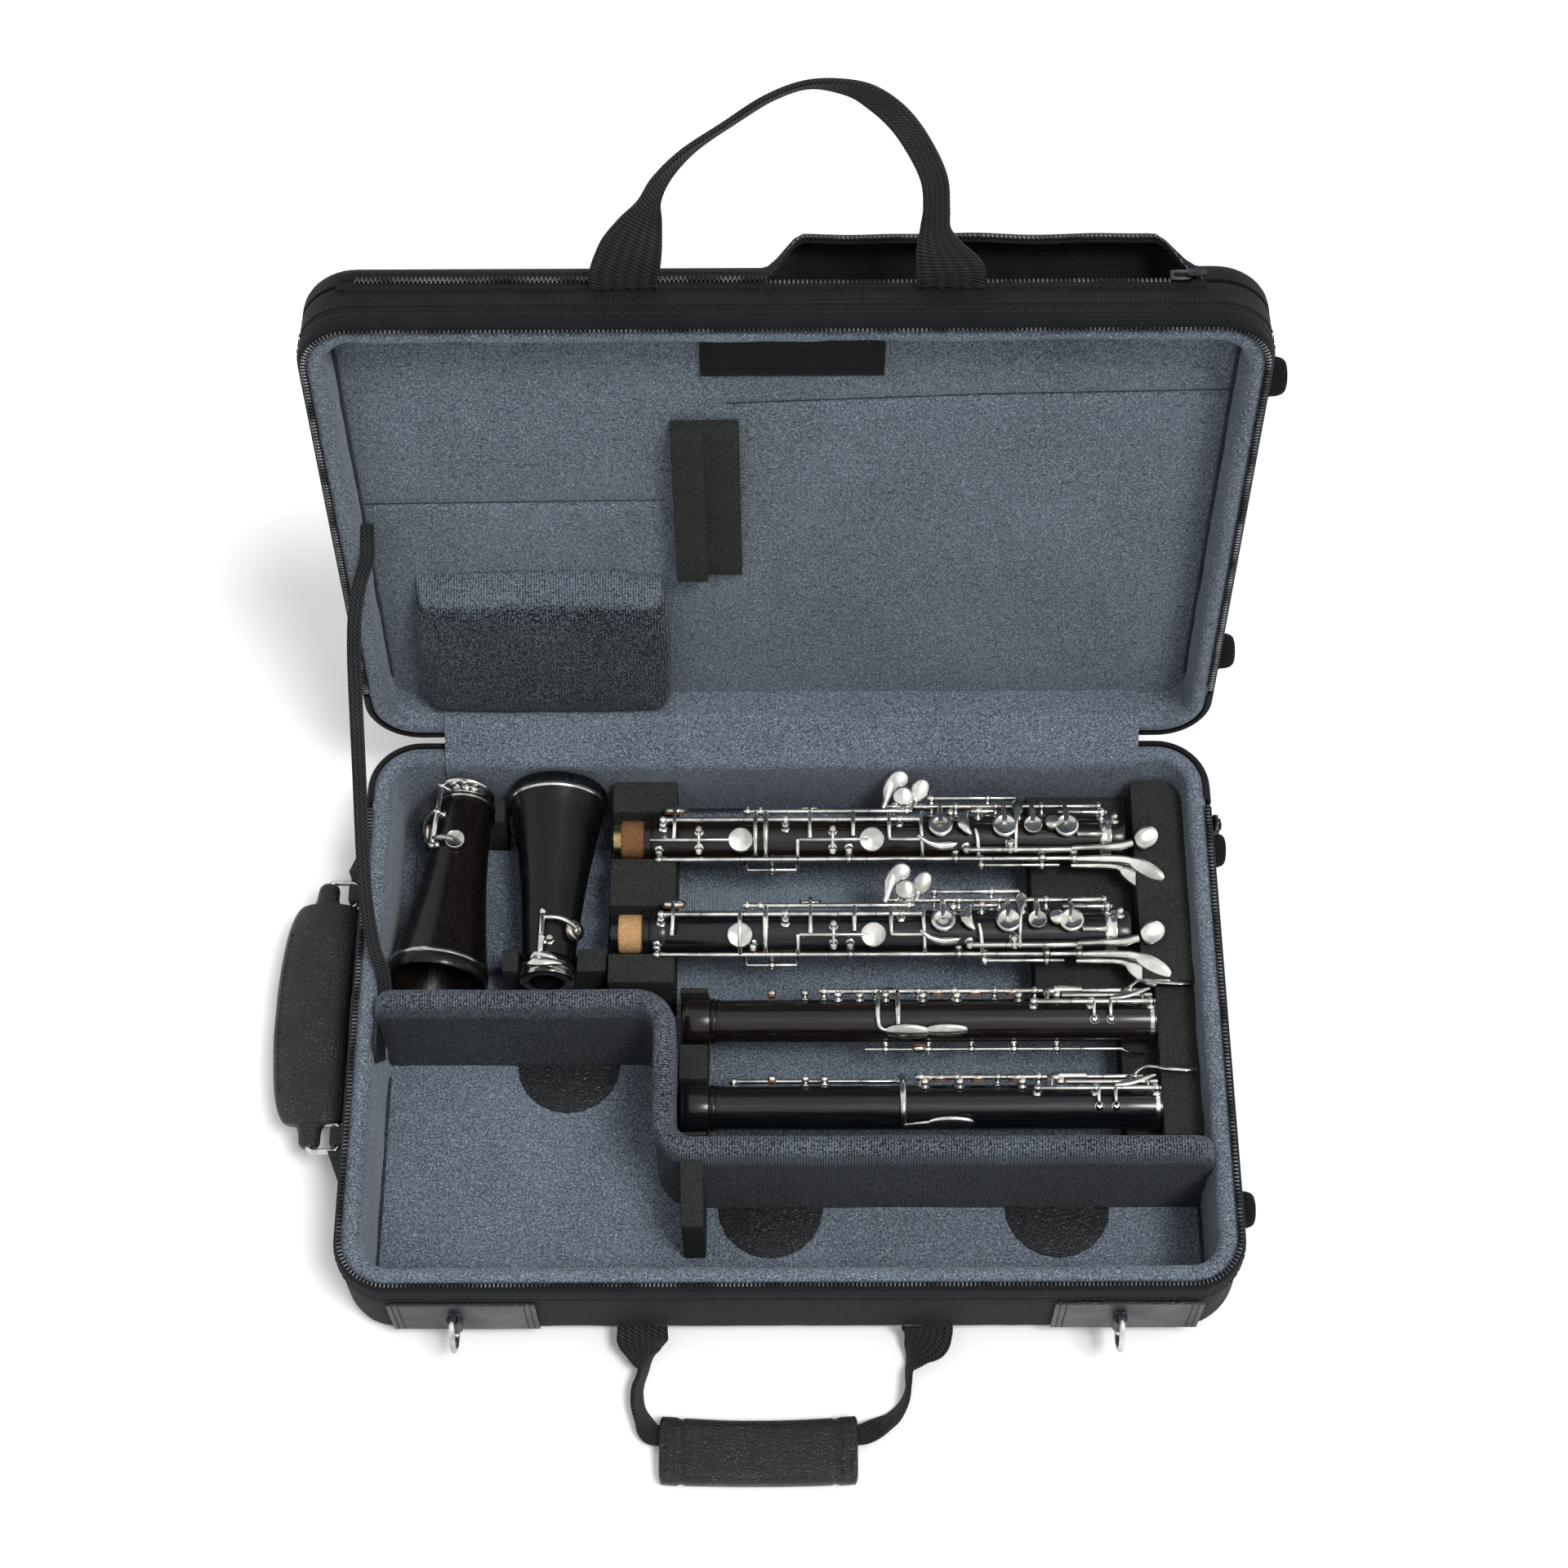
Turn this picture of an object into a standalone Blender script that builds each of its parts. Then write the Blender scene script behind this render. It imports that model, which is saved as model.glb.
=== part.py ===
# A twin oboe case, opened out flat on a table: a padded base and lid joined at the back,
# a velour divider, foam cradles, two oboes in three joints each, and the carrying handles.
# Metres, +Z up. The front, with the carrying handle, faces -Y. The origin is under the
# middle of the base. The lid is modelled closed and opened by its hinge empty.

import bmesh
import bpy
from math import atan2, cos, pi, radians, sin, tan
from mathutils import Matrix, Vector

# Sizes of the case
BASE_HEIGHT = 0.064
LID_HEIGHT = 0.0262
LID_OPEN_ANGLE = radians(98.4)
CORNER_RADIUS = 0.026
BASE_EDGE_RADIUS = 0.014
LID_EDGE_RADIUS = 0.0035
SHELL_THICKNESS = 0.0025
PAD_THICKNESS = 0.0095
BASE_FLOOR = 0.008
LID_FLOOR = 0.0067
ZIP_HEIGHT = 0.0095
ZIP_END_FROM_BACK = 0.036

# Clearances and counts
GAP = 0.0003
RIM_GAP = 0.0004
OVERRUN = 0.004
MERGE = 0.00001
CORNER_STEPS = 5
ARC_STEPS = 3
RIM_STEPS = 4
TURN_STEPS = 16
SMOOTH_ANGLE = radians(35)

# Divider between the instruments and the two accessory compartments
DIVIDER_THICKNESS = 0.0105
DIVIDER_LID_ROOM = 0.004
DIVIDER_END_RADIUS = 0.010
DIVIDER_BEND = 0.014
PATCH_RADIUS = 0.025
LEATHER_THICKNESS = 0.0015

# The two oboes
LOWER_LENGTH = 0.2525
LOWER_RADIUS = 0.0112
LOWER_AXIS_Z = 0.0435
UPPER_LENGTH = 0.2275
UPPER_RADIUS = 0.0105
UPPER_AXIS_Z = 0.040
BELL_LENGTH = 0.104
BELL_RADIUS = 0.0245
BELL_NECK_RADIUS = 0.0130
BELL_BED_HEIGHT = 0.0084
BELL_LEFT_SLANT = radians(5.7)
BELL_RIGHT_SLANT = radians(1.2)

# Room round the oboes: from the left wall to the right one, then from the back wall forward.
# The case is made to fit them.
BELL_SIDE_ROOM = 0.0059
BELL_BETWEEN = 0.0116
BELL_LOWER_ROOM = 0.0047
LOWER_END_ROOM = 0.0045
LOWER_END_BLOCK = 0.0257
DIVIDER_PAST_LOWER = 0.029
UPPER_SIDE_ROOM = 0.0065
UPPER_END_BLOCK = 0.0197
LOWER_BACK_ROOM = 0.0332
LOWER_PITCH = 0.0515
UPPER_FROM_LOWER = 0.045
UPPER_PITCH = 0.0445
UPPER_DIVIDER_ROOM = 0.033
ACCESSORY_DEPTH = 0.0522
BELL_BACK_ROOM = 0.0057
BELL_DIVIDER_ROOM = 0.0238
TENON_SHARE = 0.85
RING_SHARE = 1.08
BULB_SHARE = 1.19
KEY_RISE = 0.0042
ROD_RADIUS = 0.0011
POST_RADIUS = 0.0014
POST_PROUD = 0.0010
LINK_RADIUS = 0.0009
CUP_LIFT = 0.0030
CUP_HEIGHT = 0.0026
PAD_RADIUS = 0.0062
TOUCH_WIDTH = 0.0075
TOUCH_THICKNESS = 0.0030

# Lining sheet over the hinge, and the webbing stay that stops the lid
SPINE_THICKNESS = 0.0024
SPINE_LEFT_INSET = 0.0257
SPINE_RIGHT_INSET = 0.0227
SPINE_FOOT = 0.010
STAY_WIDTH = 0.0065
STAY_THICKNESS = 0.0015
STAY_FROM_DIVIDER = 0.0083
STAY_BASE_Z = 0.058
STAY_BOW = 0.0082
STAY_LID_UP = 0.150
STAY_LID_DEPTH = 0.010

# Soft block, pillow and label in the lid. Low and high are up from the hinge.
PILLOW_LEFT_INSET = 0.0157
PILLOW_BLOCK_ROOM = 0.0075
PILLOW_LOW = 0.0155
PILLOW_HIGH = 0.108
PILLOW_FACE_INSET = 0.004
PILLOW_FACE_HIGH = 0.097
PILLOW_DEPTH = 0.0148
LID_BLOCK_WIDTH = 0.0305
LID_BLOCK_STEP = 0.0145
LID_BLOCK_DEPTH = 0.011
LID_BLOCK_LOW_DEPTH = 0.0067
LID_BLOCK_LOWER_ROOM = 0.013
LID_BLOCK_DIVIDER_ROOM = 0.0105
LABEL_X = 0.0028
LABEL_WIDTH = 0.080
LABEL_MARGIN = 0.0057
LABEL_HEIGHT = 0.029
LABEL_THICKNESS = 0.0012

# Outer pocket on the lid
POCKET_SEAM_DEPTH = 0.0265
POCKET_HEIGHT = 0.0135
POCKET_EDGE_RADIUS = 0.009
POCKET_SKIN = 0.0022
POCKET_MOUTH_LEFT = -0.010
POCKET_MOUTH_INSET = 0.032
POCKET_FLAP_LENGTH = 0.062
POCKET_FLAP_ANGLE = radians(24.0)
POCKET_FLAP_GAP = 0.0008

# Handles, rings and feet
WEB_THICKNESS = 0.0022
LID_HANDLE_SPAN = 0.1379
LID_HANDLE_X = 0.0008
LID_HANDLE_RISE = 0.1075
LID_HANDLE_DEPTH = 0.0215
LID_HANDLE_ROOT = 0.029
LID_HANDLE_WEB = 0.0115
ROOT_CLEARANCE = 0.0003
FRONT_HANDLE_Z = 0.016
FRONT_HANDLE_SPAN = 0.1323
FRONT_HANDLE_X = -0.0023
FRONT_HANDLE_ROOT = 0.0235
FRONT_HANDLE_WEB = 0.011
GRIP_LENGTH = 0.091
GRIP_WIDTH = 0.031
GRIP_THICKNESS = 0.0115
GRIP_X = -0.0145
GRIP_REACH = 0.0555
GRIP_SLOT = 0.023
GRIP_FLOOR_GAP = 0.0005
SIDE_HANDLE_LENGTH = 0.111
SIDE_HANDLE_Y = 0.009
SIDE_HANDLE_BELOW_RIM = 0.034
SIDE_EAR_LENGTH = 0.0135
SIDE_HANDLE_WIDTH = 0.031
SIDE_HANDLE_THICKNESS = 0.013
SIDE_RING_WIRE = 0.0015
SIDE_RING_LENGTH = 0.014
SIDE_RING_REACH = 0.0145
SIDE_AXIS_OUT = 0.0060
BRACKET_LENGTH = 0.0085
BRACKET_TAIL = 0.034
BRACKET_WIDTH = 0.008
BRACKET_PLATE = 0.026
D_RING_HEIGHT = 0.022
D_RING_REACH = 0.0165
D_RING_WIRE = 0.0014
D_RING_LEFT_SHIFT = 0.004
D_RING_RIGHT_SHIFT = 0.0035
D_RING_BELOW_RIM = 0.033
D_RING_CORNER = 0.003
KEEPER_RADIUS = 0.0034
KEEPER_HEIGHT = 0.012
FRONT_PATCH_WIDTH = 0.068
FRONT_PATCH_HEIGHT = 0.034
FRONT_PATCH_LEFT_INSET = 0.058
FRONT_PATCH_RIGHT_INSET = 0.053
FOOT_RADIUS = 0.009
FOOT_HEIGHT = 0.0085
FOOT_BELOW_RIM = 0.029
FOOT_DEPTH = 0.0165
FOOT_INSET = 0.048
SLIDER_LENGTH = 0.009
SLIDER_HEIGHT = 0.005
SLIDER_THICKNESS = 0.0030
PULL_LENGTH = 0.0095
PULL_WIDTH = 0.0046

# Sizes and places that follow: the case round the oboes, then each piece from what it meets
WALL = SHELL_THICKNESS + GAP + PAD_THICKNESS
BELL_PITCH = BELL_RADIUS + BELL_NECK_RADIUS + BELL_BETWEEN
BELL_ZONE = BELL_SIDE_ROOM + BELL_RADIUS + BELL_PITCH + BELL_RADIUS + BELL_LOWER_ROOM
LOWER_ROW = BELL_ZONE + LOWER_LENGTH + LOWER_END_ROOM + LOWER_END_BLOCK
UPPER_ROW = BELL_ZONE + DIVIDER_PAST_LOWER + UPPER_SIDE_ROOM + UPPER_LENGTH + UPPER_END_BLOCK
OBOE_ROWS = LOWER_BACK_ROOM + LOWER_PITCH + UPPER_FROM_LOWER + UPPER_PITCH + UPPER_DIVIDER_ROOM
INNER_X = max(LOWER_ROW, UPPER_ROW) / 2
INNER_Y = (OBOE_ROWS + ACCESSORY_DEPTH) / 2
HALF_WIDTH = INNER_X + WALL
HALF_DEPTH = INNER_Y + WALL
CASE_WIDTH = 2 * HALF_WIDTH
CASE_DEPTH = 2 * HALF_DEPTH
BASE_SEAT = BASE_FLOOR + GAP
LID_INNER_DEPTH = LID_HEIGHT - LID_FLOOR
ZIP_END_Y = HALF_DEPTH - ZIP_END_FROM_BACK
WELL_BACK_Y = INNER_Y - SPINE_THICKNESS - 3 * GAP
RING_AXIS_Y = -(HALF_DEPTH + GAP + LEATHER_THICKNESS + KEEPER_RADIUS - 0.6 * LEATHER_THICKNESS)
BELL_AXIS_Z = BASE_SEAT + BELL_BED_HEIGHT + GAP + BELL_RADIUS
BELL_MIDDLE_Y = INNER_Y - BELL_BACK_ROOM - BELL_LENGTH / 2
BELL_LEFT_X = -INNER_X + BELL_SIDE_ROOM + BELL_RADIUS
BELL_RIGHT_X = BELL_LEFT_X + BELL_PITCH
LOWER_LEFT_X = -INNER_X + BELL_ZONE
LOWER_BACK_Y = INNER_Y - LOWER_BACK_ROOM
LOWER_FRONT_Y = LOWER_BACK_Y - LOWER_PITCH
DIVIDER_STEP_X = LOWER_LEFT_X + DIVIDER_PAST_LOWER
UPPER_LEFT_X = DIVIDER_STEP_X + UPPER_SIDE_ROOM
UPPER_BACK_Y = LOWER_FRONT_Y - UPPER_FROM_LOWER
UPPER_FRONT_Y = UPPER_BACK_Y - UPPER_PITCH
DIVIDER_LEFT_Y = BELL_MIDDLE_Y - BELL_LENGTH / 2 - BELL_DIVIDER_ROOM
DIVIDER_RIGHT_Y = UPPER_FRONT_Y - UPPER_DIVIDER_ROOM
DIVIDER_HEIGHT = BASE_HEIGHT + LID_INNER_DEPTH - DIVIDER_LID_ROOM - BASE_FLOOR
SPINE_LEFT_X = -INNER_X + SPINE_LEFT_INSET
SPINE_RIGHT_X = INNER_X - SPINE_RIGHT_INSET
STAY_BASE_Y = DIVIDER_LEFT_Y + STAY_FROM_DIVIDER
LID_BLOCK_X = UPPER_LEFT_X
LID_BLOCK_UP = HALF_DEPTH - LOWER_FRONT_Y + LID_BLOCK_LOWER_ROOM
LID_BLOCK_LENGTH = HALF_DEPTH - DIVIDER_RIGHT_Y - LID_BLOCK_DIVIDER_ROOM - LID_BLOCK_UP
PILLOW_LEFT_X = -INNER_X + PILLOW_LEFT_INSET
PILLOW_RIGHT_X = LID_BLOCK_X - PILLOW_BLOCK_ROOM
LABEL_UP = CASE_DEPTH - WALL - LABEL_MARGIN - LABEL_HEIGHT
POCKET_MOUTH_RIGHT = HALF_WIDTH - POCKET_MOUTH_INSET
FRONT_PATCH_LEFT_X = -HALF_WIDTH + FRONT_PATCH_LEFT_INSET
FRONT_PATCH_RIGHT_X = HALF_WIDTH - FRONT_PATCH_RIGHT_INSET
D_RING_LEFT_X = FRONT_PATCH_LEFT_X - D_RING_LEFT_SHIFT
D_RING_RIGHT_X = FRONT_PATCH_RIGHT_X - D_RING_RIGHT_SHIFT
D_RING_Z = BASE_HEIGHT - D_RING_BELOW_RIM
SIDE_HANDLE_Z = BASE_HEIGHT - SIDE_HANDLE_BELOW_RIM
FOOT_Z = BASE_HEIGHT - FOOT_BELOW_RIM
FOOT_SPREAD = HALF_DEPTH - FOOT_INSET

# Colours, roughness and metal share of the finishes
FINISHES = {
    "nylon": ((0.012, 0.012, 0.014), 0.75, 0.0),
    "velour": ((0.085, 0.105, 0.160), 0.90, 0.0),
    "zip_tape": ((0.010, 0.010, 0.011), 0.80, 0.0),
    "foam": ((0.022, 0.024, 0.022), 0.95, 0.0),
    "leather": ((0.018, 0.019, 0.021), 0.45, 0.0),
    "patch_leather": ((0.075, 0.085, 0.095), 0.45, 0.0),
    "webbing": ((0.010, 0.010, 0.011), 0.80, 0.0),
    "label_cloth": ((0.006, 0.006, 0.007), 0.70, 0.0),
    "rubber": ((0.012, 0.012, 0.012), 0.60, 0.0),
    "steel": ((0.70, 0.68, 0.64), 0.20, 1.0),
    "dark_metal": ((0.050, 0.050, 0.055), 0.35, 1.0),
    "silver": ((0.82, 0.80, 0.76), 0.18, 1.0),
    "brown_wood": ((0.035, 0.018, 0.012), 0.28, 0.0),
    "black_wood": ((0.012, 0.013, 0.015), 0.30, 0.0),
}


# Scene, collections and finishes

def clear_scene():
    for old in list(bpy.data.objects):
        bpy.data.objects.remove(old, do_unlink=True)


def new_collection(name):
    collection = bpy.data.collections.new(name)
    bpy.context.scene.collection.children.link(collection)
    return collection


clear_scene()
PARTS = new_collection("oboe_case")
CUTTERS = new_collection("cutters")


def finish(name, kind):
    """A material of the part's own, in one of the finishes above."""
    colour, roughness, metallic = FINISHES[kind]
    made = bpy.data.materials.new(name)
    made.use_nodes = True
    shader = made.node_tree.nodes["Principled BSDF"]
    shader.inputs["Base Color"].default_value = (*colour, 1.0)
    shader.inputs["Roughness"].default_value = roughness
    shader.inputs["Metallic"].default_value = metallic
    made.diffuse_color = (*colour, 1.0)
    return made


def place(name, data, kind, parent=None, location=(0, 0, 0), rotation=(0, 0, 0)):
    """Puts a mesh or curve in the scene as one named part."""
    part = bpy.data.objects.new(name, data)
    PARTS.objects.link(part)
    data.materials.append(finish(name, kind))
    part.parent = parent
    part.location = location
    part.rotation_euler = rotation
    return part


def pivot(name, parent=None, location=(0, 0, 0), rotation=(0, 0, 0)):
    """An empty on a joint's axis."""
    empty = bpy.data.objects.new(name, None)
    PARTS.objects.link(empty)
    empty.parent = parent
    empty.location = location
    empty.rotation_euler = rotation
    return empty


def mesh_from(name, shape):
    """Turns a bmesh into a mesh with outward faces, smooth but for its sharp edges."""
    bmesh.ops.recalc_face_normals(shape, faces=shape.faces)
    mesh = bpy.data.meshes.new(name)
    shape.to_mesh(mesh)
    shape.free()
    mesh.shade_smooth()
    mesh.set_sharp_from_angle(angle=SMOOTH_ANGLE)
    return mesh


def cutter(name, shape, parent=None, location=(0, 0, 0), rotation=(0, 0, 0)):
    """A helper solid that Boolean modifiers read."""
    guide = bpy.data.objects.new(name, mesh_from(name, shape))
    CUTTERS.objects.link(guide)
    guide.parent = parent
    guide.location = location
    guide.rotation_euler = rotation
    guide.hide_render = True
    guide.display_type = "WIRE"
    return guide


def combine(part, other, operation):
    """Joins another solid to a part, or cuts it away."""
    step = part.modifiers.new(operation.title(), "BOOLEAN")
    step.operation = operation
    step.solver = "EXACT"
    step.use_self = operation == "UNION"
    step.object = other
    return step


def soften(part, width, segments=2):
    """Rounds the sharp edges of a part."""
    step = part.modifiers.new("Bevel", "BEVEL")
    step.width = width
    step.segments = segments
    step.limit_method = "ANGLE"
    return step


# Shapes that many parts share

def loft(name, rings):
    """A closed skin through rings of points, with a flat face at each end."""
    shape = bmesh.new()
    rows = [[shape.verts.new(point) for point in ring] for ring in rings]
    for low, high in zip(rows, rows[1:]):
        for i in range(len(low)):
            j = (i + 1) % len(low)
            shape.faces.new((low[i], low[j], high[j], high[i]))
    shape.faces.new(list(reversed(rows[0])))
    shape.faces.new(rows[-1])
    return mesh_from(name, shape)


def cuboid(shape, size, centre):
    """Adds a box to a bmesh."""
    made = bmesh.ops.create_cube(shape, size=1)
    bmesh.ops.scale(shape, vec=Vector(size), verts=made["verts"])
    bmesh.ops.translate(shape, vec=Vector(centre), verts=made["verts"])


def block(name, size, centre, kind, edge=0, parent=None):
    """A box with rounded edges."""
    shape = bmesh.new()
    cuboid(shape, size, centre)
    part = place(name, mesh_from(name, shape), kind, parent)
    if edge:
        soften(part, edge)
    return part


def towards(start, end):
    """The turn and place that lay a Z cylinder from one point to another."""
    line = Vector(end) - Vector(start)
    turn = line.to_track_quat("Z", "Y").to_matrix().to_4x4()
    return Matrix.Translation((Vector(start) + Vector(end)) / 2) @ turn, line.length


def rod(shape, start, end, radius, sides=8):
    """Adds a round bar to a bmesh."""
    matrix, length = towards(start, end)
    bmesh.ops.create_cone(
        shape, cap_ends=True, segments=sides, radius1=radius, radius2=radius, depth=length, matrix=matrix
    )


def ball(shape, centre, size, turn=0.0, sides=8, rows=6):
    """Adds an egg shape of that full size to a bmesh, turned about X."""
    matrix = Matrix.Translation(Vector(centre)) @ Matrix.Rotation(turn, 4, "X") @ Matrix.Diagonal((*size, 1))
    bmesh.ops.create_uvsphere(shape, u_segments=sides, v_segments=rows, radius=0.5, matrix=matrix)


def turned(name, profile, kind, parent=None, location=(0, 0, 0), rotation=(0, 0, 0), hollow=False):
    """A turned piece. The profile holds (radius, height) from the top down its outer side."""
    mesh = bpy.data.meshes.new(name)
    edges = [(i, i + 1) for i in range(len(profile) - 1)]
    if hollow:
        edges.append((len(profile) - 1, 0))
    mesh.from_pydata([(radius, 0, height) for radius, height in profile], edges, [])
    part = place(name, mesh, kind, parent, location, rotation)
    step = part.modifiers.new("Screw", "SCREW")
    step.steps = TURN_STEPS
    step.render_steps = TURN_STEPS
    step.use_merge_vertices = True
    step.merge_threshold = MERGE
    step.use_smooth_shade = True
    return part


def flat_outline(name, points, thickness, kind, parent=None, location=(0, 0, 0), rotation=(0, 0, 0)):
    """A flat outline with a thickness, as a filled 2D curve."""
    curve = bpy.data.curves.new(name, "CURVE")
    curve.dimensions = "2D"
    curve.fill_mode = "BOTH"
    curve.extrude = thickness / 2
    line = curve.splines.new("POLY")
    line.points.add(len(points) - 1)
    for spot, (x, y) in zip(line.points, points):
        spot.co = (x, y, 0, 1)
    line.use_cyclic_u = True
    return place(name, curve, kind, parent, location, rotation)


def wire(name, points, radius, kind, closed, parent=None, location=(0, 0, 0), rotation=(0, 0, 0)):
    """A round wire along points."""
    curve = bpy.data.curves.new(name, "CURVE")
    curve.dimensions = "3D"
    curve.bevel_depth = radius
    curve.bevel_resolution = 2
    curve.use_fill_caps = not closed
    line = curve.splines.new("POLY")
    line.points.add(len(points) - 1)
    for spot, point in zip(line.points, points):
        spot.co = (*point, 1)
    line.use_cyclic_u = closed
    return place(name, curve, kind, parent, location, rotation)


def arc(centre, radius, start, end, steps):
    """Points along an arc, with both ends."""
    return [
        (centre[0] + radius * cos(start + (end - start) * i / steps),
         centre[1] + radius * sin(start + (end - start) * i / steps))
        for i in range(steps + 1)
    ]


def rounded_outline(width, depth, radius):
    """A rectangle with round corners, anticlockwise from its right side."""
    x = width / 2 - radius
    y = depth / 2 - radius
    corners = ((x, y), (-x, y), (-x, -y), (x, -y))
    return [
        point
        for i, centre in enumerate(corners)
        for point in arc(centre, radius, i * pi / 2, (i + 1) * pi / 2, CORNER_STEPS)
    ]


def inset_ring(inset, height):
    """The case's outline in plan, drawn in by an inset, at a height."""
    outline = rounded_outline(CASE_WIDTH - 2 * inset, CASE_DEPTH - 2 * inset, CORNER_RADIUS - inset)
    return [(x, y, height) for x, y in outline]


# Shells, linings and zips. Base and lid are the same tray: the lid's is turned over.

def thicken(part, thickness):
    """Gives an open skin a thickness, on its inner side."""
    step = part.modifiers.new("Solidify", "SOLIDIFY")
    step.thickness = thickness
    step.offset = -1
    step.use_even_offset = True
    return part


def open_skin(name, rows, closed):
    """An open skin through rows of points, with a flat foot under a closed one."""
    shape = bmesh.new()
    made = [[shape.verts.new(point) for point in row] for row in rows]
    count = len(rows[0])
    for low, high in zip(made, made[1:]):
        for i in range(count if closed else count - 1):
            j = (i + 1) % count
            shape.faces.new((low[i], low[j], high[j], high[i]))
    if closed:
        shape.faces.new(list(reversed(made[0])))
    mesh = bpy.data.meshes.new(name)
    shape.to_mesh(mesh)
    shape.free()
    mesh.shade_smooth()
    mesh.set_sharp_from_angle(angle=SMOOTH_ANGLE)
    return mesh


def foot_sections(outer, radius):
    """(inset, height) pairs round the foot of a tray, from its floor up its side."""
    return [
        (outer + radius * (1 - sin(angle)), outer + radius * (1 - cos(angle)))
        for angle in (pi / 2 * i / ARC_STEPS for i in range(ARC_STEPS + 1))
    ]


def tray_shell(name, top, edge_radius, thickness, parent, location, rotation):
    """An outer tray, rounded at its foot."""
    sections = foot_sections(0, edge_radius) + [(0, top)]
    mesh = open_skin(name, [inset_ring(*section) for section in sections], True)
    return thicken(place(name, mesh, "nylon", parent, location, rotation), thickness)


def tray_lining(name, height, floor, edge_radius, parent, location, rotation):
    """The padded velour tray, with a rolled rim."""
    outer = SHELL_THICKNESS + GAP
    rim = PAD_THICKNESS / 2
    top = height - RIM_GAP / 2
    sections = foot_sections(outer, edge_radius - outer)
    sections += [
        (outer + rim * (1 - cos(angle)), top - rim * (1 - sin(angle)))
        for angle in (pi * i / RIM_STEPS for i in range(RIM_STEPS + 1))
    ]
    sections.append((WALL, floor))
    mesh = loft(name, [inset_ring(*section) for section in sections])
    return place(name, mesh, "velour", parent, location, rotation)


def band_path(front):
    """The front and sides of the case's outline, or its back, as an open path."""
    if front:
        corners = ((-1, -1, pi), (1, -1, 3 * pi / 2))
        ends = ((-HALF_WIDTH, ZIP_END_Y), (HALF_WIDTH, ZIP_END_Y))
    else:
        corners = ((1, 1, 0), (-1, 1, pi / 2))
        ends = ((HALF_WIDTH, ZIP_END_Y + GAP), (-HALF_WIDTH, ZIP_END_Y + GAP))
    x = HALF_WIDTH - CORNER_RADIUS
    y = HALF_DEPTH - CORNER_RADIUS
    path = [ends[0]]
    for side, end, start in corners:
        path += arc((side * x, end * y), CORNER_RADIUS, start, start + pi / 2, CORNER_STEPS)
    return path + [ends[1]]


def rim_band(name, front, height, kind, parent, location, rotation):
    """A strip round part of the rim, above the shell and outside the lining."""
    heights = (height - ZIP_HEIGHT, height - RIM_GAP / 2)
    rows = [[(x, y, z) for x, y in band_path(front)] for z in heights]
    mesh = open_skin(name, rows, False)
    return thicken(place(name, mesh, kind, parent, location, rotation), SHELL_THICKNESS)


def tray(side, height, floor, edge_radius, parent=None, location=(0, 0, 0), rotation=(0, 0, 0)):
    where = (parent, location, rotation)
    tray_shell(side + "_shell", height - ZIP_HEIGHT - GAP, edge_radius, SHELL_THICKNESS, *where)
    tray_lining(side + "_lining", height, floor, edge_radius, *where)
    rim_band(side + "_zip", True, height, "zip_tape", *where)
    rim_band(side + "_hinge_band", False, height, "nylon", *where)


# Divider, leather patches and foam in the base

def divider_path():
    """The divider's middle line in plan: left part, step and right part with round bends."""
    end = INNER_X - GAP
    inner = [end - DIVIDER_END_RADIUS * (1 - cos(pi / 4)), end - DIVIDER_END_RADIUS]
    first = (DIVIDER_STEP_X - DIVIDER_BEND, DIVIDER_LEFT_Y - DIVIDER_BEND)
    second = (DIVIDER_STEP_X + DIVIDER_BEND, DIVIDER_RIGHT_Y + DIVIDER_BEND)
    return (
        [(-x, DIVIDER_LEFT_Y) for x in (end, *inner)]
        + arc(first, DIVIDER_BEND, pi / 2, 0, CORNER_STEPS)
        + arc(second, DIVIDER_BEND, pi, 3 * pi / 2, CORNER_STEPS)
        + [(x, DIVIDER_RIGHT_Y) for x in (*reversed(inner), end)]
    )


def divider_wall():
    """A padded wall with a round top and round upper ends, lofted along its middle line."""
    path = [Vector(point) for point in divider_path()]
    half = DIVIDER_THICKNESS / 2
    rings = []
    for i, spot in enumerate(path):
        along = (path[min(i + 1, len(path) - 1)] - path[max(i - 1, 0)]).normalized()
        across = Vector((-along.y, along.x))
        high = BASE_FLOOR + DIVIDER_HEIGHT
        if i in (0, len(path) - 1):
            high -= DIVIDER_END_RADIUS
        elif i in (1, len(path) - 2):
            high -= DIVIDER_END_RADIUS * (1 - sin(pi / 4))
        section = [(-half, BASE_SEAT)] + arc((0, high - half), half, pi, 0, RIM_STEPS) + [(half, BASE_SEAT)]
        rings.append([(*(spot + across * side), height) for side, height in section])
    place("divider_wall", loft("divider_wall", rings), "velour")


def floor_patch(name, x, front_y):
    """A half round leather patch on the floor at the divider's foot."""
    outline = arc((0, 0), PATCH_RADIUS, pi, 2 * pi, 2 * CORNER_STEPS)
    flat_outline(
        name, outline, LEATHER_THICKNESS, "leather",
        location=(x, front_y - GAP, BASE_SEAT + LEATHER_THICKNESS / 2),
    )


def floor_patches():
    left_inset = 0.0881
    from_divider = 0.049
    right_inset = 0.0682
    left_y = DIVIDER_LEFT_Y - DIVIDER_THICKNESS / 2
    right_y = DIVIDER_RIGHT_Y - DIVIDER_THICKNESS / 2
    floor_patch("floor_patch_left", -INNER_X + left_inset, left_y)
    floor_patch("floor_patch_middle", DIVIDER_STEP_X + from_divider, right_y)
    floor_patch("floor_patch_right", INNER_X - right_inset, right_y)


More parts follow.
